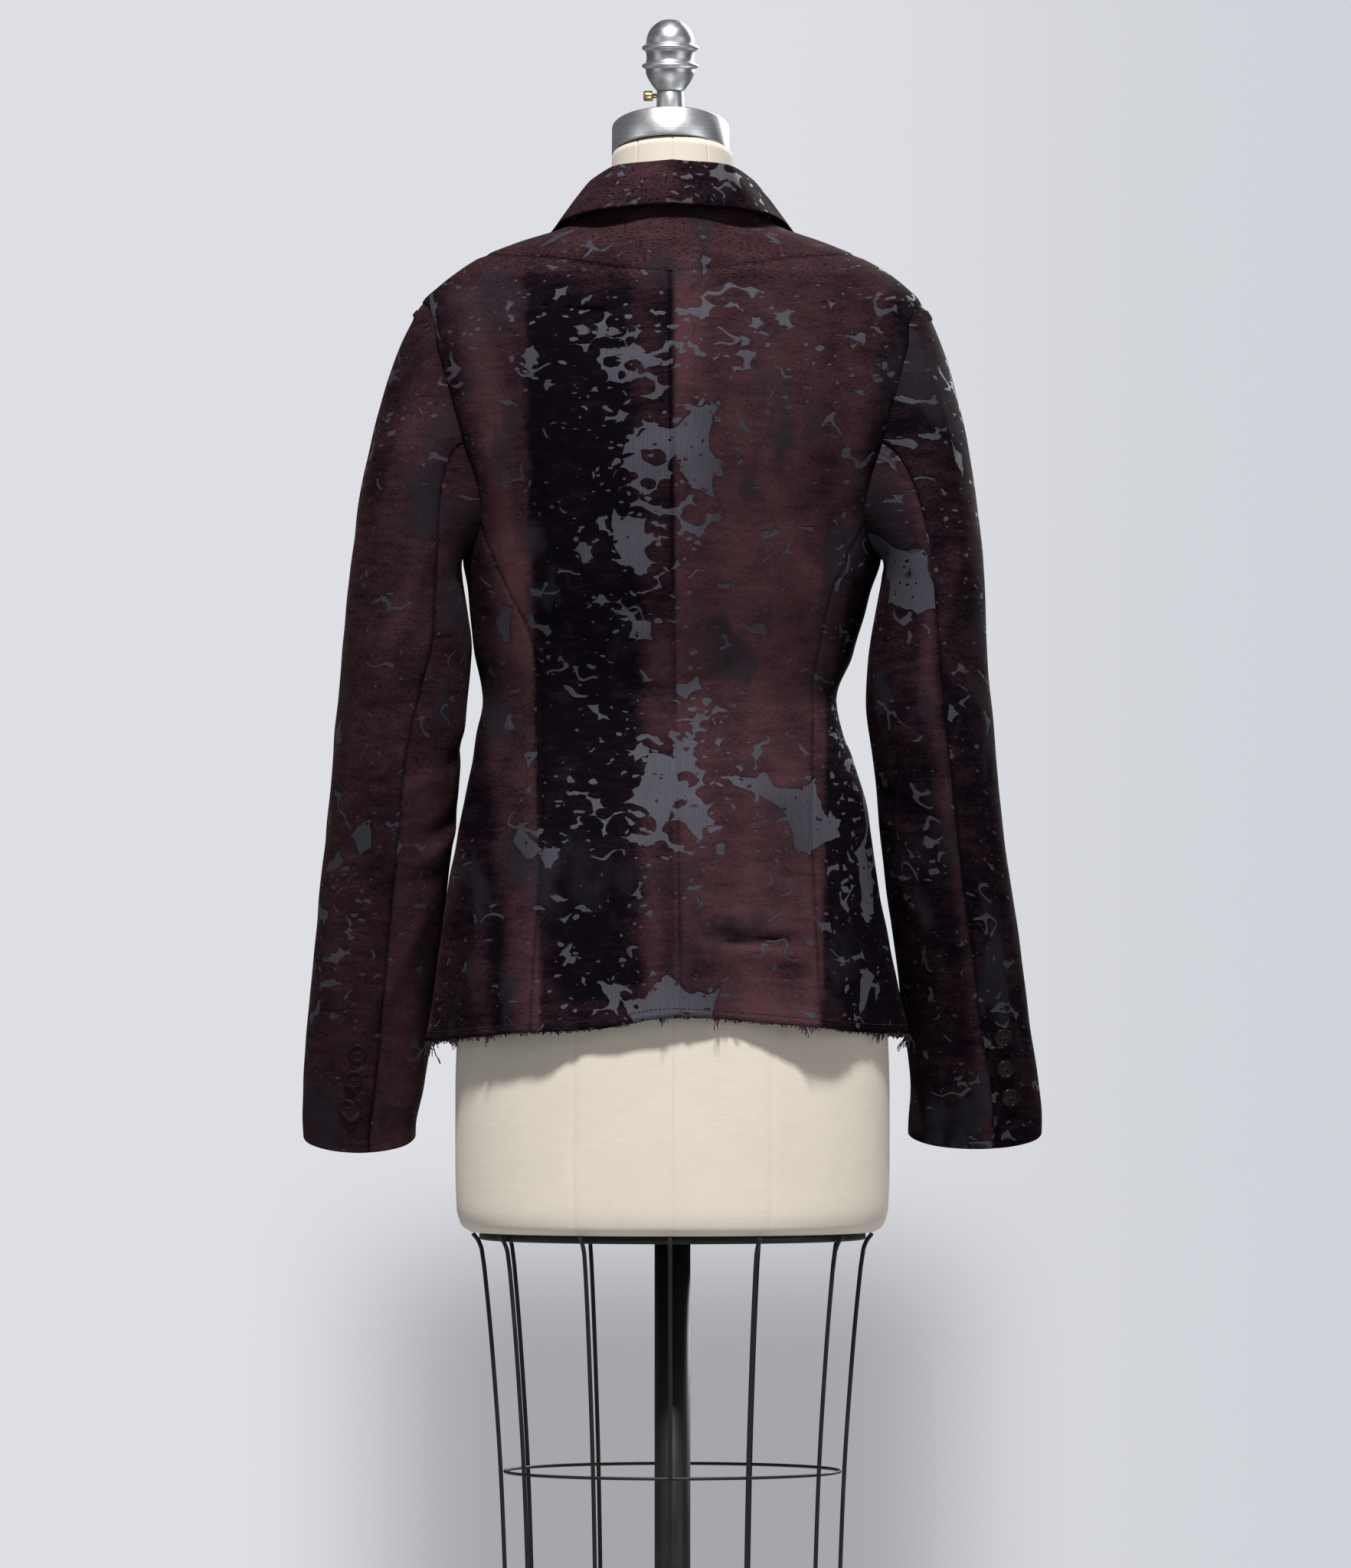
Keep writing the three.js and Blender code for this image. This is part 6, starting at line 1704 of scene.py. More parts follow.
@dataclass
class FrayedHem:
    """Loose threads along the raw hem, grown from one line by geometry nodes."""

    body: BodyShape
    thread: Material
    seed: int = 4
    count: int = 2300

    # turn, half width, amount
    clumps: Sequence[tuple[float, float, float]] = (
        (85, 2.4, 1.0), (73, 1.4, 0.5), (58, 1.2, 0.3), (4, 1.6, 0.26), (-17, 0.8, 0.5), (-44, 1.2, 0.3),
        (-72, 1.6, 0.4), (-87, 2.4, 0.7), (128, 2, 0.6), (168, 2.5, 0.8), (-120, 1.8, 0.5), (-164, 2.5, 0.8),
    )

    def line(self) -> Item:
        """The hem's line as a chain of edges, with the amount of fraying at each point."""
        turn = np.linspace(-175, 175, 900) * DEG
        z = self.body.hem_z(1, turn) + 0.8
        normal = self.body.normal(turn, z)
        rise = self.body.fine_rise(turn, z)
        points = self.body.point(turn, z) + normal * (rise - 0.9)[:, None]
        amount = np.zeros(len(turn))
        for at, wide, much in self.clumps:
            amount = np.maximum(amount, much * bell(turn / DEG, at, wide))
        amount = 0.1 + 0.9 * amount + 0.05 * waves(turn * 140, turn * 0, 71, 40)
        mesh = bpy.data.meshes.new("hem_threads")
        mesh.from_pydata((points * MM).tolist(), [[i, i + 1] for i in range(len(points) - 1)], [])
        attribute = mesh.attributes.new("amount", "FLOAT", "POINT")
        attribute.data.foreach_set("value", np.clip(amount, 0.05, 1))
        return new_item("hem_threads", mesh)

    def tree(self) -> Tree:
        """The node tree: count, length and radius of the threads, material and seed."""
        tree = bpy.data.node_groups.new("frayed_edge", "GeometryNodeTree")
        face = tree.interface
        face.new_socket("Geometry", in_out="INPUT", socket_type="NodeSocketGeometry")
        for name, kind, value in (
            ("Count", "NodeSocketInt", 760),
            ("Length", "NodeSocketFloat", 0.024),
            ("Radius", "NodeSocketFloat", 0.0004),
            ("Seed", "NodeSocketInt", 4),
        ):
            face.new_socket(name, in_out="INPUT", socket_type=kind).default_value = value
        face.new_socket("Material", in_out="INPUT", socket_type="NodeSocketMaterial")
        face.new_socket("Geometry", in_out="OUTPUT", socket_type="NodeSocketGeometry")
        add, link = tree.nodes.new, tree.links.new
        inp, out = add("NodeGroupInput"), add("NodeGroupOutput")
        to_curve = add("GeometryNodeMeshToCurve")
        link(inp.outputs["Geometry"], to_curve.inputs["Mesh"])
        points = add("GeometryNodeCurveToPoints")
        link(to_curve.outputs[0], points.inputs["Curve"])
        link(inp.outputs["Count"], points.inputs["Count"])
        amount = add("GeometryNodeInputNamedAttribute")
        amount.data_type = "FLOAT"
        amount.inputs["Name"].default_value = "amount"
        chance = self.random(tree, inp, 0.0, 1.0, 11)
        keep = add("FunctionNodeCompare")
        keep.data_type = "FLOAT"
        keep.operation = "GREATER_THAN"
        link(chance, keep.inputs[0])
        cut = add("ShaderNodeMath")
        cut.operation = "MULTIPLY_ADD"
        cut.inputs[1].default_value = 1.2
        cut.inputs[2].default_value = 0.4
        link(amount.outputs[0], cut.inputs[0])
        link(cut.outputs[0], keep.inputs[1])
        delete = add("GeometryNodeDeleteGeometry")
        link(points.outputs[0], delete.inputs[0])
        link(keep.outputs[0], delete.inputs[1])
        strand = add("GeometryNodeCurvePrimitiveLine")
        strand.inputs["Start"].default_value = (0, 0, 0.0012)
        length = add("ShaderNodeCombineXYZ")
        flip = add("ShaderNodeMath")
        flip.operation = "MULTIPLY"
        flip.inputs[1].default_value = -1
        link(inp.outputs["Length"], flip.inputs[0])
        link(flip.outputs[0], length.inputs[2])
        link(length.outputs[0], strand.inputs["End"])
        steps = add("GeometryNodeResampleCurve")
        steps.inputs["Count"].default_value = 7
        link(strand.outputs[0], steps.inputs["Curve"])
        on = add("GeometryNodeInstanceOnPoints")
        link(delete.outputs[0], on.inputs["Points"])
        link(steps.outputs[0], on.inputs["Instance"])
        turn = add("FunctionNodeRandomValue")
        turn.data_type = "FLOAT_VECTOR"
        turn.inputs[0].default_value = (-0.5, -0.5, -3)
        turn.inputs[1].default_value = (0.5, 0.5, 3)
        link(inp.outputs["Seed"], turn.inputs["Seed"])
        link(turn.outputs[0], on.inputs["Rotation"])
        size = self.random(tree, inp, 0.12, 1.0, 5)
        power = add("ShaderNodeMath")
        power.operation = "POWER"
        power.inputs[1].default_value = 1.4
        link(size, power.inputs[0])
        scaled = add("ShaderNodeMath")
        scaled.operation = "MULTIPLY"
        link(power.outputs[0], scaled.inputs[0])
        link(amount.outputs[0], scaled.inputs[1])
        floor = add("ShaderNodeMath")
        floor.operation = "ADD"
        floor.inputs[1].default_value = 0.055
        link(scaled.outputs[0], floor.inputs[0])
        link(floor.outputs[0], on.inputs["Scale"])
        real = add("GeometryNodeRealizeInstances")
        link(on.outputs[0], real.inputs[0])
        noise = add("ShaderNodeTexNoise")
        noise.inputs["Scale"].default_value = 95
        noise.inputs["Detail"].default_value = 1
        shift = add("ShaderNodeVectorMath")
        shift.operation = "SUBTRACT"
        shift.inputs[1].default_value = (0.5, 0.5, 0.5)
        link(noise.outputs["Color"], shift.inputs[0])
        small = add("ShaderNodeVectorMath")
        small.operation = "MULTIPLY"
        small.inputs[1].default_value = (0.011, 0.011, 0.003)
        link(shift.outputs[0], small.inputs[0])
        along = add("GeometryNodeSplineParameter")
        eased = add("ShaderNodeVectorMath")
        eased.operation = "SCALE"
        link(small.outputs[0], eased.inputs[0])
        link(along.outputs[0], eased.inputs["Scale"])
        move = add("GeometryNodeSetPosition")
        link(real.outputs[0], move.inputs[0])
        link(eased.outputs[0], move.inputs["Offset"])
        ring = add("GeometryNodeCurvePrimitiveCircle")
        ring.inputs["Resolution"].default_value = 3
        link(inp.outputs["Radius"], ring.inputs["Radius"])
        tube = add("GeometryNodeCurveToMesh")
        tube.inputs["Fill Caps"].default_value = True
        link(move.outputs[0], tube.inputs["Curve"])
        link(ring.outputs[0], tube.inputs["Profile Curve"])
        again = add("GeometryNodeRealizeInstances")
        link(tube.outputs[0], again.inputs[0])
        paint = add("GeometryNodeSetMaterial")
        link(again.outputs[0], paint.inputs[0])
        link(inp.outputs["Material"], paint.inputs["Material"])
        link(paint.outputs[0], out.inputs[0])
        return tree

    def random(self, tree: Tree, inp: Node, low: float, high: float, extra: int) -> Socket:
        """A seeded random number in the tree."""
        node = tree.nodes.new("FunctionNodeRandomValue")
        node.data_type = "FLOAT"
        node.inputs[2].default_value = low
        node.inputs[3].default_value = high
        add = tree.nodes.new("ShaderNodeMath")
        add.operation = "ADD"
        add.inputs[1].default_value = extra
        tree.links.new(inp.outputs["Seed"], add.inputs[0])
        tree.links.new(add.outputs[0], node.inputs["Seed"])
        return node.outputs[1]

    def build(self) -> Item:
        """Grows the threads and makes them a plain mesh."""
        item = run_nodes(self.line(), self.tree(), Material=self.thread, Seed=self.seed, Count=self.count)
        return finish(item, "thread", "hem_fringe")


@dataclass
class StitchRow:
    """A row of small tonal stitches along a line, set out by geometry nodes."""

    name: str
    thread: Material
    length: float = 2.3
    pitch: float = 3.3

    def tree(self) -> Tree:
        """The node tree: length, radius and material of the stitches."""
        tree = bpy.data.node_groups.new("stitch_row", "GeometryNodeTree")
        face = tree.interface
        face.new_socket("Geometry", in_out="INPUT", socket_type="NodeSocketGeometry")
        face.new_socket("Length", in_out="INPUT", socket_type="NodeSocketFloat").default_value = 0.0023
        face.new_socket("Radius", in_out="INPUT", socket_type="NodeSocketFloat").default_value = 0.00022
        face.new_socket("Material", in_out="INPUT", socket_type="NodeSocketMaterial")
        face.new_socket("Geometry", in_out="OUTPUT", socket_type="NodeSocketGeometry")
        add, link = tree.nodes.new, tree.links.new
        inp, out = add("NodeGroupInput"), add("NodeGroupOutput")
        half = add("ShaderNodeMath")
        half.operation = "MULTIPLY"
        half.inputs[1].default_value = 0.5
        link(inp.outputs["Length"], half.inputs[0])
        back = add("ShaderNodeMath")
        back.operation = "MULTIPLY"
        back.inputs[1].default_value = -0.5
        link(inp.outputs["Length"], back.inputs[0])
        arc = add("GeometryNodeCurveQuadraticBezier")
        arc.inputs["Resolution"].default_value = 6
        arc.inputs["Middle"].default_value = (0, 0, 0.0007)
        for value, socket in ((back, "Start"), (half, "End")):
            place = add("ShaderNodeCombineXYZ")
            place.inputs[2].default_value = -0.0003
            link(value.outputs[0], place.inputs[0])
            link(place.outputs[0], arc.inputs[socket])
        ring = add("GeometryNodeCurvePrimitiveCircle")
        ring.inputs["Resolution"].default_value = 6
        link(inp.outputs["Radius"], ring.inputs["Radius"])
        tube = add("GeometryNodeCurveToMesh")
        tube.inputs["Fill Caps"].default_value = True
        link(arc.outputs[0], tube.inputs["Curve"])
        link(ring.outputs[0], tube.inputs["Profile Curve"])
        turn = None
        for name, axis in (("along", "X"), ("out", "Z")):
            aim = add("GeometryNodeInputNamedAttribute")
            aim.data_type = "FLOAT_VECTOR"
            aim.inputs["Name"].default_value = name
            align = add("FunctionNodeAlignRotationToVector")
            align.axis = axis
            align.pivot_axis = "AUTO" if turn is None else "X"
            link(aim.outputs[0], align.inputs["Vector"])
            if turn is not None:
                link(turn, align.inputs["Rotation"])
            turn = align.outputs[0]
        on = add("GeometryNodeInstanceOnPoints")
        link(inp.outputs["Geometry"], on.inputs["Points"])
        link(tube.outputs[0], on.inputs["Instance"])
        link(turn, on.inputs["Rotation"])
        real = add("GeometryNodeRealizeInstances")
        link(on.outputs[0], real.inputs[0])
        paint = add("GeometryNodeSetMaterial")
        link(real.outputs[0], paint.inputs[0])
        link(inp.outputs["Material"], paint.inputs["Material"])
        link(paint.outputs[0], out.inputs[0])
        return tree

    def build(self, points: Array, normal: Array) -> Item:
        """Sews the row.

        Args:
            points: places along the line, in millimetres.
            normal: outward directions at those places.

        Returns:
            The stitches as one plain mesh.
        """
        run = np.concatenate([[0], np.cumsum(np.linalg.norm(np.diff(points, axis=0), axis=-1))])
        at = np.arange(self.pitch, run[-1] - self.pitch, self.pitch)
        place = np.stack([np.interp(at, run, points[:, k]) for k in range(3)], axis=-1)
        ahead = np.stack([np.interp(at + 0.5, run, points[:, k]) for k in range(3)], axis=-1)
        out = unit(np.stack([np.interp(at, run, normal[:, k]) for k in range(3)], axis=-1))
        mesh = bpy.data.meshes.new(self.name)
        mesh.from_pydata((place * MM).tolist(), [], [])
        for name, values in (("along", unit(ahead - place)), ("out", out)):
            mesh.attributes.new(name, "FLOAT_VECTOR", "POINT").data.foreach_set("vector", values.ravel())
        item = new_item(self.name, mesh)
        item = run_nodes(item, self.tree(), Material=self.thread, Length=self.length * MM)
        return finish(item, "thread")


# The form and its stand


@dataclass
class DressForm:
    """The canvas torso with its cap and finial."""

    body: BodyShape
    canvas: Material
    brushed: Material
    cast: Material
    brass: Material
    columns: int = 144
    rings: Table = field(
        default_factory=lambda: Table(
            "z half back front midY power",
            [
                (643, 160, 97, -104, -4, 2.2), (648, 167, 103, -110, -4, 2.2), (662, 171, 105, -112, -4, 2.2),
                (700, 172, 105, -113, -5, 2.2), (750, 172, 104, -112, -5, 2.2),
                (800, 170.5, 102, -111, -6, 2.2), (850, 165.5, 98, -109, -6, 2.15),
                (900, 157, 92, -107, -6, 2.1), (950, 146, 83, -103, -6, 2.1), (1000, 133, 69, -95, -6, 2.1),
                (1035, 121, 60, -88, -6, 2.1), (1063, 117, 57, -85, -6, 2.1), (1100, 123, 62, -90, -6, 2.1),
                (1150, 143, 78, -103, -6, 2.1), (1203, 153, 87, -119, -6, 2.15),
                (1250, 166, 94, -121, -6, 2.15), (1306, 182, 96, -104, -6, 2.15),
                (1341, 188, 92.5, -89, -6, 2.1), (1370, 188, 86, -79, -6, 2.0),
                (1384, 182, 82, -74.5, -6, 1.95),
            ],
        )
    )
    neck: Table = field(
        default_factory=lambda: Table(
            "step z half back front midY tilt",
            [
                (0, 1446, 67, 54, -54, -6, 0), (1, 1452, 58, 50, -52, -6, 0), (2, 1464, 52.5, 44, -50, -6, 4),
                (3, 1480, 49, 39, -50, -6, 12), (4, 1494.3, 47.5, 37, -50, -6.5, 18),
            ],
        )
    )

    def ring(self, turn: Array, z: float, *sizes: float) -> Array:
        """One ring of the torso.

        Args:
            turn: turns round it.
            z: its height, in millimetres.
            sizes: half width, back, front, middle, power and, where it leans, its tilt in degrees.

        Returns:
            The ring's points.
        """
        half, back, front, mid, power, tilt = [*sizes, 0.0][:6]
        s, c = np.sin(turn), np.cos(turn)
        deep = np.where(c >= 0, back - mid, mid - front)
        r = (np.abs(s / half) ** power + np.abs(c / deep) ** power) ** (-1 / power)
        for at in (0, 38, -38, 90, -90, 142, -142, 180):
            r = r - 0.55 * bell(wrapped(turn / DEG - at), 0, 0.9)
        lean = r * c
        return np.stack([r * s, mid + lean * math.cos(tilt * DEG), z + lean * math.sin(tilt * DEG)], axis=-1)

    def torso(self) -> Item:
        """The canvas torso, from its lower edge to the cap."""
        seams = np.array([0, 38, 90, 142, 180, 218, 270, 322]) * DEG
        turn = np.linspace(0, 2 * math.pi, self.columns, endpoint=False)
        extra = np.concatenate([seams + d * DEG for d in (-1.6, -0.8, 0, 0.8, 1.6)]) % (2 * math.pi)
        turn = np.unique(np.round(np.concatenate([turn, extra]), 5))
        levels = np.concatenate([[643, 643.8, 645, 646.5, 648.5, 651, 655, 660], np.arange(667, 1385, 6)])
        rows = []
        for z in levels:
            v = [float(self.rings.at(k, z)) for k in ("half", "back", "front", "midY", "power")]
            rows.append(self.ring(turn, float(z), *v))
        shoulder = []
        for z in np.linspace(1392, 1439, 13):
            normal = self.body.normal(turn, np.full(turn.shape, z))
            shoulder.append(self.body.plain(turn, np.full(turn.shape, z)) - normal * 3.3)
        rows += shoulder
        for step in np.linspace(0, 4, 15):
            v = [float(self.neck.at(k, step)) for k in ("z", "half", "back", "front", "midY")]
            rows.append(self.ring(turn, *v, 2.0, float(self.neck.at("tilt", step))))
        rings = np.stack(rows)
        far = np.cumsum(np.linalg.norm(np.diff(rings, axis=1, prepend=rings[:, :1]), axis=-1), axis=1)
        down = np.cumsum(np.linalg.norm(np.diff(rings, axis=0, prepend=rings[:1]), axis=-1), axis=0)
        places = np.stack([far, down], axis=-1) * MM
        item = lofted("form_canvas", rings, self.canvas, places)
        return finish(item, "canvas", "form_torso")

    def cap(self) -> Item:
        """The brushed band with a flat top on the neck."""
        profile = [(45.4, 0), (46.1, 0.3), (46.4, 1), (46.4, 12), (46.4, 22.2), (46.1, 23.2), (45.2, 23.8)]
        profile += [(43.5, 24.2), (30, 24.4), (12, 24.4)]
        item = turned("neck_band", profile, self.brushed, 128)
        lift = Matrix.Translation(Vector((1.6, -6.8, 1495)) * MM) @ Matrix.Rotation(18 * DEG, 4, "X")
        place_piece(item, lift)
        return finish(item, "aluminium", "neck_cap")

    def finial(self) -> None:
        """The stem, the ringed finial and the set screw."""
        shift = Matrix.Translation(Vector((1.8, -12, 0)) * MM)
        foot = [(10.6, 1514.6), (10.9, 1515), (10.9, 1530), (10.7, 1545.4), (10.3, 1546)]
        stem = turned("finial_stem_cast", foot, self.cast, 56)
        place_piece(stem, shift)
        finish(stem, "aluminium", "finial_stem")
        marks = Table(
            "z r",
            [
                (1546.3, 10.6), (1549, 13), (1556, 17.5), (1561, 19.3), (1563.6, 19.4), (1564.6, 21.6),
                (1566, 22.5), (1567.4, 21.6), (1568.5, 19.4), (1572, 18.7), (1577.6, 19.4), (1578.8, 21.6),
                (1580.4, 22.5), (1581.9, 21.6), (1583, 19.4), (1589, 18.4), (1594, 16.4), (1598, 13), (1601, 9),
                (1602.6, 5), (1603, 1.5),
            ],
        )
        z = np.linspace(1546.3, 1603, 130)
        top = turned("finial_cast", list(zip(marks.at("r", z).tolist(), z.tolist())), self.cast, 72)
        place_piece(top, shift)
        finish(top, "aluminium", "finial")
        head = [(3.0, 0), (3.9, 0.5), (4.1, 1), (4.1, 6.5), (3.6, 7.4), (2.6, 7.6)]
        screw = turned("set_screw_head", head, self.brass, 6)
        turn = Matrix.Rotation(90 * DEG, 4, "Y")
        place_piece(screw, Matrix.Translation(Vector((15.4, -12, 1542.2)) * MM) @ turn)
        bolt = turned("set_screw_shank", [(1.6, 0), (1.9, 0.3), (1.9, 3.6)], self.brass, 20)
        place_piece(bolt, Matrix.Translation(Vector((12.6, -12, 1542.2)) * MM) @ turn)
        with bpy.context.temp_override(active_object=screw, selected_editable_objects=[screw, bolt]):
            bpy.ops.object.join()
        finish(screw, "brass", "set_screw")

    def build(self) -> None:
        """Makes the whole form."""
        self.torso()
        self.cap()
        self.finial()


@dataclass
class Stand:
    """The plate, the wire cage, the pole and the base."""

    paint: Material
    levels: Table = field(
        default_factory=lambda: Table(
            "z half deep",
            [
                (300, 130.5, 97), (381, 133, 98), (453, 136, 100), (540, 142, 102), (600, 147.5, 104),
                (628, 151, 105), (636, 154, 108), (641, 158, 112),
            ],
        )
    )
    wires: Sequence[float] = (0, 26.5, 58.5, 90, 121.5, 153.5, 180, 206.5, 238.5, 270, 301.5, 333.5)

    def tube_tree(self) -> Tree:
        """A node tree that gives lines a round section of a set radius."""
        tree = bpy.data.node_groups.new("round_wire", "GeometryNodeTree")
        face = tree.interface
        face.new_socket("Geometry", in_out="INPUT", socket_type="NodeSocketGeometry")
        face.new_socket("Radius", in_out="INPUT", socket_type="NodeSocketFloat").default_value = 0.0017
        face.new_socket("Material", in_out="INPUT", socket_type="NodeSocketMaterial")
        face.new_socket("Geometry", in_out="OUTPUT", socket_type="NodeSocketGeometry")
        add, link = tree.nodes.new, tree.links.new
        inp, out = add("NodeGroupInput"), add("NodeGroupOutput")
        curve = add("GeometryNodeMeshToCurve")
        ring = add("GeometryNodeCurvePrimitiveCircle")
        ring.inputs["Resolution"].default_value = 12
        tube = add("GeometryNodeCurveToMesh")
        tube.inputs["Fill Caps"].default_value = True
        real = add("GeometryNodeRealizeInstances")
        smooth = add("GeometryNodeSetShadeSmooth")
        paint = add("GeometryNodeSetMaterial")
        link(inp.outputs["Geometry"], curve.inputs["Mesh"])
        link(inp.outputs["Radius"], ring.inputs["Radius"])
        link(curve.outputs[0], tube.inputs["Curve"])
        link(ring.outputs[0], tube.inputs["Profile Curve"])
        link(tube.outputs[0], real.inputs[0])
        link(real.outputs[0], smooth.inputs[0])
        link(smooth.outputs[0], paint.inputs[0])
        link(inp.outputs["Material"], paint.inputs["Material"])
        link(paint.outputs[0], out.inputs[0])
        return tree

    def wire(self, name: str, points: Array, radius: float, closed: bool, tree: Tree, node: str) -> Item:
        """A round wire along points, in place of one solid."""
        n = len(points)
        edges = [[i, (i + 1) % n] for i in range(n if closed else n - 1)]
        mesh = bpy.data.meshes.new(name)
        mesh.from_pydata((points * MM).tolist(), edges, [])
        item = new_item(name, mesh)
        item = run_nodes(item, tree, Radius=radius * MM, Material=self.paint)
        return finish(item, "black_steel", node)

    def build(self) -> None:
        """Makes the cage and paints the rest."""
        tree = self.tube_tree()
        z = np.concatenate([np.linspace(300, 628, 24), np.linspace(630, 641.5, 8)])
        for i, degrees in enumerate(self.wires):
            turn = degrees * DEG + 0.012
            x = self.levels.at("half", z) * math.sin(turn)
            y = -4 + self.levels.at("deep", z) * math.cos(turn)
            number = f"{i + 1:02d}"
            self.wire("wire_" + number, np.stack([x, y, z], axis=-1), 1.7, False, tree, "cage_wire_" + number)
        for word, level in (("upper", 453.0), ("lower", 304.0)):
            turn = np.linspace(0, 2 * math.pi, 120, endpoint=False)
            x = (float(self.levels.at("half", level)) - 3.35) * np.sin(turn)
            y = -4 + (float(self.levels.at("deep", level)) - 3.35) * np.cos(turn)
            points = np.stack([x, y, np.full(x.shape, level)], axis=-1)
            self.wire("ring_" + word, points, 1.3, True, tree, "cage_ring_" + word)
        a = np.linspace(0, 2 * math.pi, 160, endpoint=False)
        rows = []
        for level, scale in ((636.6, 0.984), (636.9, 0.995), (637.5, 1), (641.2, 1), (641.9, 0.995), (642.3, 0.984)):
            r = (np.abs(np.sin(a) / (153 * scale)) ** 2.1 + np.abs(np.cos(a) / (98 * scale)) ** 2.1) ** (-1 / 2.1)
            rows.append(np.stack([r * np.sin(a), -4 + r * np.cos(a), np.full(a.shape, level)], axis=-1))
        finish(lofted("torso_plate_steel", np.stack(rows), self.paint), "black_steel", "torso_plate")
        pole = [(14.2, 14.3), (14.2, 300), (14.2, 636.3)]
        finish(turned("pole_steel", pole, self.paint, 72), "black_steel", "pole")
        base = [(188.6, 0), (189.6, 0.4), (190, 1.2), (190, 8.6), (189.2, 9.8), (187, 11.4), (180, 12.2)]
        base += [(120, 13.3), (40, 14)]
        finish(turned("base_plate_steel", base, self.paint, 160), "black_steel", "base_disc")
        sleeve = [(14.5, 14.3), (29.4, 14.3), (30, 14.9), (30, 25.6), (29.2, 27.4), (24.8, 37), (24, 38), (14.5, 38)]
        a = np.linspace(0, 2 * math.pi, 72, endpoint=False)
        profile = np.array(sleeve)
        across, height = profile[:, 0], np.tile(profile[:, 1], (72, 1))
        points = np.stack([np.outer(np.cos(a), across), np.outer(np.sin(a), across), height], axis=-1)
        n = len(profile)
        faces = [
            [i * n + k, ((i + 1) % 72) * n + k, ((i + 1) % 72) * n + (k + 1) % n, i * n + (k + 1) % n]
            for i in range(72)
            for k in range(n)
        ]
        mesh = bpy.data.meshes.new("pole_socket_steel")
        mesh.from_pydata((points.reshape(-1, 3) * MM).tolist(), [], faces)
        mesh.materials.append(self.paint)
        item = new_item("pole_socket_steel", mesh)
        finish(item, "black_steel", "base_collar")


# Studio


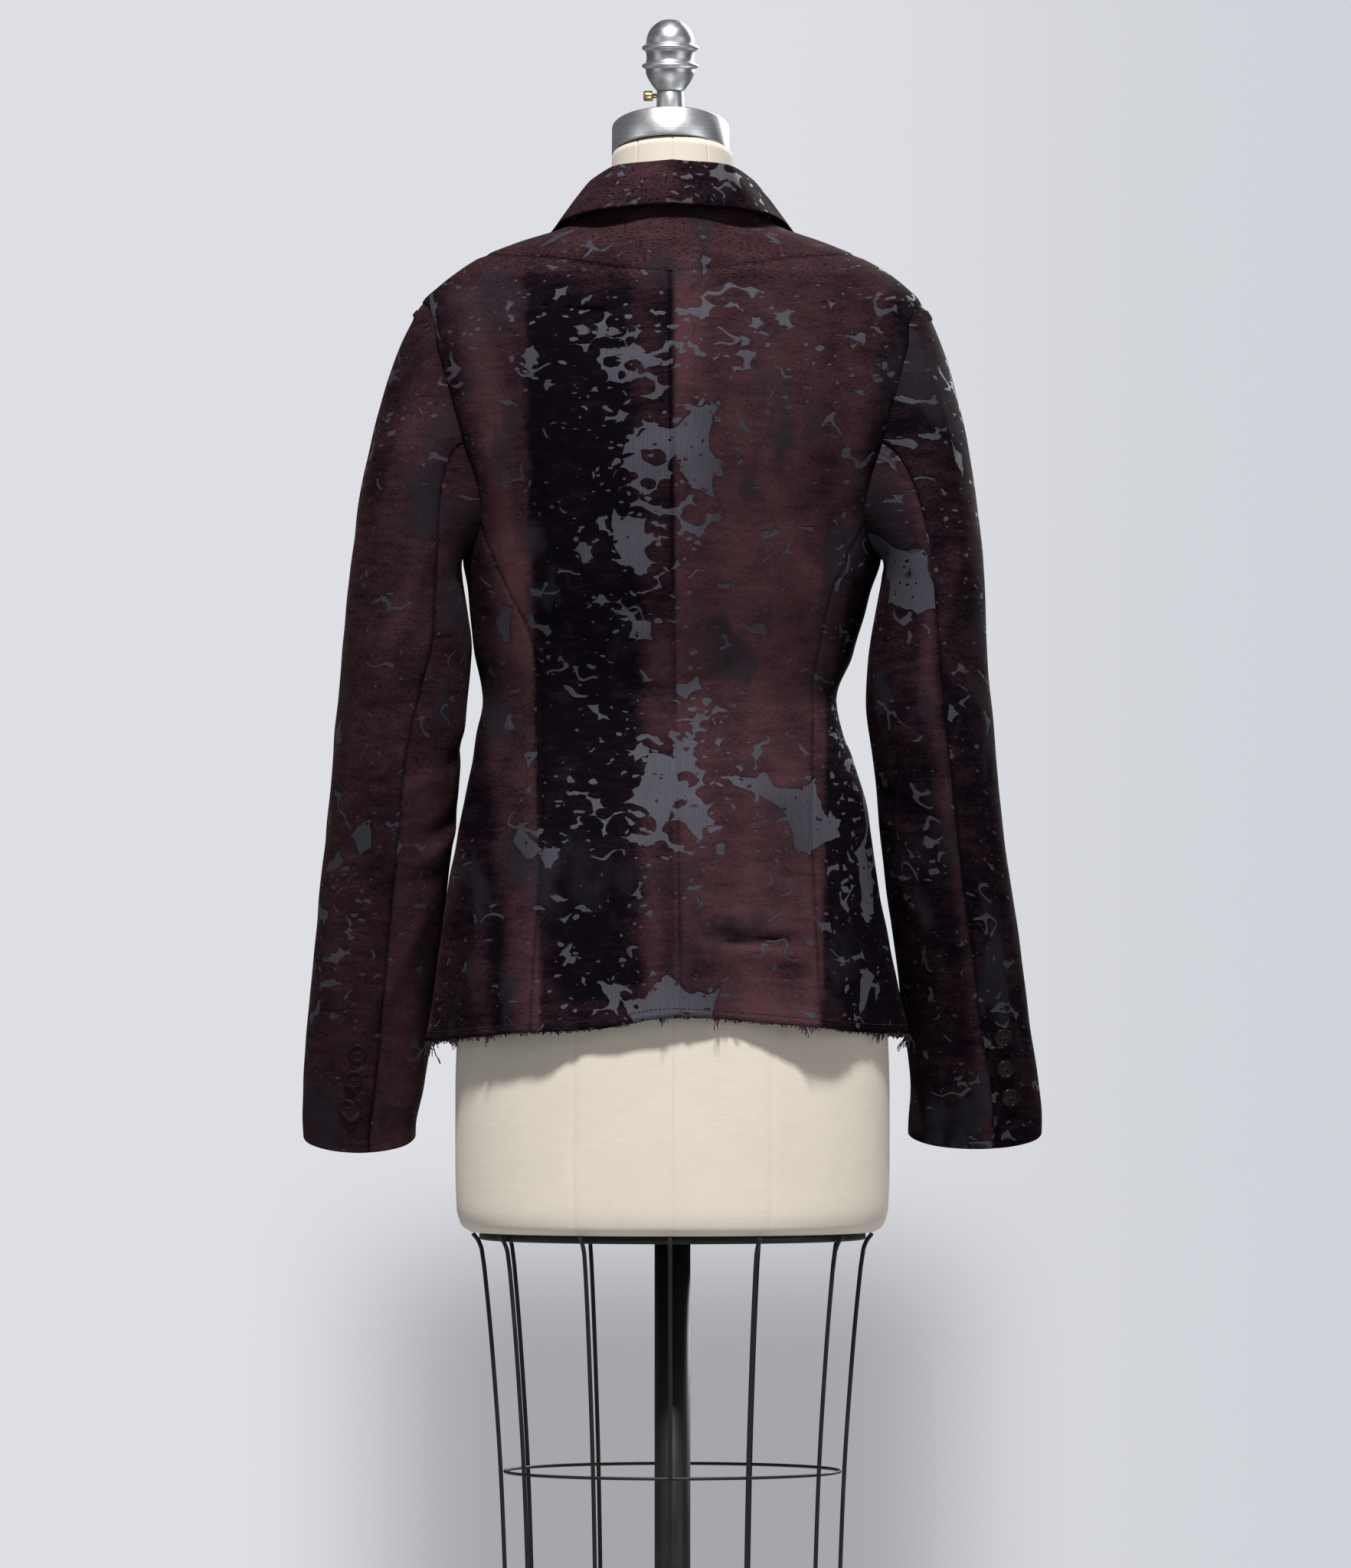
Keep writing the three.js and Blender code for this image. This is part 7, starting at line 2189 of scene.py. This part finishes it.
@dataclass
class Studio:
    """Camera, lights, world and floor."""

    distance: float = 8.5
    height: float = 0.997
    aside: float = -0.0024
    lens: float = 246.6
    sensor: float = 36

    def camera(self) -> None:
        """Sets the camera at the photograph's place, behind the jacket."""
        data = bpy.data.cameras.new("camera")
        data.sensor_fit = "VERTICAL"
        data.sensor_height = self.sensor
        data.sensor_width = self.sensor
        data.lens = self.lens
        data.clip_end = 60
        item = new_item("camera", data)
        item.location = (self.aside, self.distance, self.height)
        item.rotation_euler = (math.pi / 2, 0, math.pi)
        bpy.context.scene.camera = item

    def light(
        self, name: str, place: Row, aim: Row, size: float, power: float, tall: float | None = None
    ) -> None:
        """Adds a soft rectangular light."""
        data = bpy.data.lights.new(name, "AREA")
        data.shape = "RECTANGLE"
        data.size = size
        data.size_y = tall or size
        data.energy = power
        item = new_item(name, data)
        item.location = place
        item.rotation_euler = (Vector(aim) - Vector(place)).to_track_quat("-Z", "Y").to_euler()

    def world(self) -> None:
        """A pale world with a painted falloff of light towards -X and a painted shadow column behind the lower form,
        dimmer as a light than as a backdrop.
        """
        world = bpy.data.worlds.new("studio")
        world.use_nodes = True
        tree = world.node_tree
        tree.nodes.clear()
        out = tree.nodes.new("ShaderNodeOutputWorld")
        background = tree.nodes.new("ShaderNodeBackground")
        path = tree.nodes.new("ShaderNodeLightPath")
        mix = tree.nodes.new("ShaderNodeMix")
        mix.inputs[2].default_value = 0.15
        mix.inputs[3].default_value = 1.0
        tree.links.new(path.outputs["Is Camera Ray"], mix.inputs[0])
        place = tree.nodes.new("ShaderNodeTexCoord")
        split = tree.nodes.new("ShaderNodeSeparateXYZ")
        tree.links.new(place.outputs["Generated"], split.inputs[0])

        def ramp(value: Socket, low: float, high: float, to_low: float, to_high: float) -> Socket:
            node = tree.nodes.new("ShaderNodeMapRange")
            node.interpolation_type = "SMOOTHERSTEP"
            for index, item in enumerate((low, high, to_low, to_high), 1):
                node.inputs[index].default_value = item
            tree.links.new(value, node.inputs[0])
            return node.outputs[0]

        def times(a: Socket, b: Socket) -> Socket:
            node = tree.nodes.new("ShaderNodeMath")
            node.operation = "MULTIPLY"
            tree.links.new(a, node.inputs[0])
            tree.links.new(b, node.inputs[1])
            return node.outputs[0]

        x, y, z = split.outputs
        # Painted shadow: a soft dark column on the backdrop behind the lower part of the form
        across = times(ramp(x, -0.041, -0.012, 0, 1), ramp(x, 0.012, 0.043, 1, 0))
        shadow = times(times(across, ramp(z, -0.056, -0.030, 1, 0)), ramp(y, -0.98, -0.9, 1, 0))
        backdrop_and_shadow = tree.nodes.new("ShaderNodeMix")
        backdrop_and_shadow.data_type = "RGBA"
        # Painted falloff of light: the backdrop darker towards -X
        side = tree.nodes.new("ShaderNodeMix")
        side.data_type = "RGBA"
        side.inputs[6].default_value = (0.64, 0.655, 0.7, 1)
        side.inputs[7].default_value = (0.73, 0.738, 0.776, 1)
        tree.links.new(ramp(x, -0.062, 0.0, 0, 1), side.inputs[0])
        tree.links.new(side.outputs[2], backdrop_and_shadow.inputs[6])
        backdrop_and_shadow.inputs[7].default_value = (0.38, 0.38, 0.4, 1)
        tree.links.new(shadow, backdrop_and_shadow.inputs[0])
        tree.links.new(backdrop_and_shadow.outputs[2], background.inputs[0])
        tree.links.new(mix.outputs[0], background.inputs[1])
        tree.links.new(background.outputs[0], out.inputs[0])
        bpy.context.scene.world = world

    def floor(self) -> None:
        """A wide pale floor that fades out at its edge."""
        n = Nodes("studio_floor")
        place = n.object_place()
        split = n.new("VectorMath", operation="LENGTH")
        n.feed(split.inputs[0], place)
        cloud = n.noise(place, 3, 2, 0.5)
        n.set(Base_Color=n.mix(cloud, (0.40, 0.403, 0.418, 1), (0.43, 0.433, 0.447, 1)), Roughness=0.85)
        n.set(Alpha=n.ramp(split.outputs["Value"], 1.7, 2.9, 1, 0))
        sides = 96
        corners = [i / sides * 2 * math.pi for i in range(sides)]
        ring = [(3 * math.cos(a), 3 * math.sin(a), -0.0008) for a in corners]
        mesh = bpy.data.meshes.new("floor")
        mesh.from_pydata(ring, [], [list(range(sides))])
        mesh.materials.append(n.material)
        item = new_item("floor", mesh)

    def build(self) -> None:
        """Makes the whole studio."""
        self.camera()
        self.world()
        self.floor()
        self.light("key", (0.2, 4.5, 8.5), (0, 0, 1.05), 1.1, 1330, 0.9)
        self.light("fill_right", (-3.2, 2.6, 1.6), (0, 0, 1.05), 1.6, 34, 2.4)
        self.light("fill_left", (3.4, 1.8, 1.7), (0, 0, 1.1), 1.4, 15, 2.4)
        self.light("front_key", (-1.8, -3.2, 2.6), (0, 0, 1.1), 1.8, 150, 2.0)
        bpy.context.scene.view_settings.view_transform = "Standard"


def main() -> None:
    """Builds everything in order."""
    logging.basicConfig(level=logging.INFO, format="%(name)s %(message)s")
    Studio().build()
    body, pile = BodyShape(), PileMap()
    velvet = VelvetFinish().build()
    jacket = Jacket(body, pile, velvet)
    for side in Side:
        jacket.back(side)
        jacket.side_back(side)
        jacket.front(side)
        jacket.lapel(side)
    jacket.yoke()
    Collar(body, pile, velvet).build()
    thread = ThreadFinish().build()
    for side in Side:
        Sleeve(SleeveShape(body, side), pile, velvet).build()
    shine = {
        Side.LEFT: ButtonFinish("matt_button", 0.06, rough=0.5),
        Side.RIGHT: ButtonFinish("glossy_button", 0.1, (0.003, 0.002, 0.0022, 1), rough=0.16),
    }
    for side in Side:
        material = shine[side].build()
        for number in (1, 2, 3):
            Button(f"cuff_button_{side.word}_{number}", 7.5, 3.0, material, thread).build()
    for number in (1, 2):
        Button(f"front_button_{number}", 10.0, 3.4, material, thread).build()
    FrayedHem(body, thread).build()
    turn = np.linspace(-166, 166, 700) * DEG
    z = body.hem_z(1, turn) + 6.5
    normal = body.normal(turn, z)
    line = body.point(turn, z) + normal * (body.fine_rise(turn, z) + 0.15)[:, None]
    StitchRow("hem_stitches", thread).build(line, normal)
    metals = {metal: MetalFinish(metal).build() for metal in Metal}
    DressForm(body, CanvasFinish().build(), metals[Metal.BRUSHED], metals[Metal.CAST], metals[Metal.BRASS]).build()
    Stand(PaintFinish().build()).build()


if __name__ == "__main__":
    main()
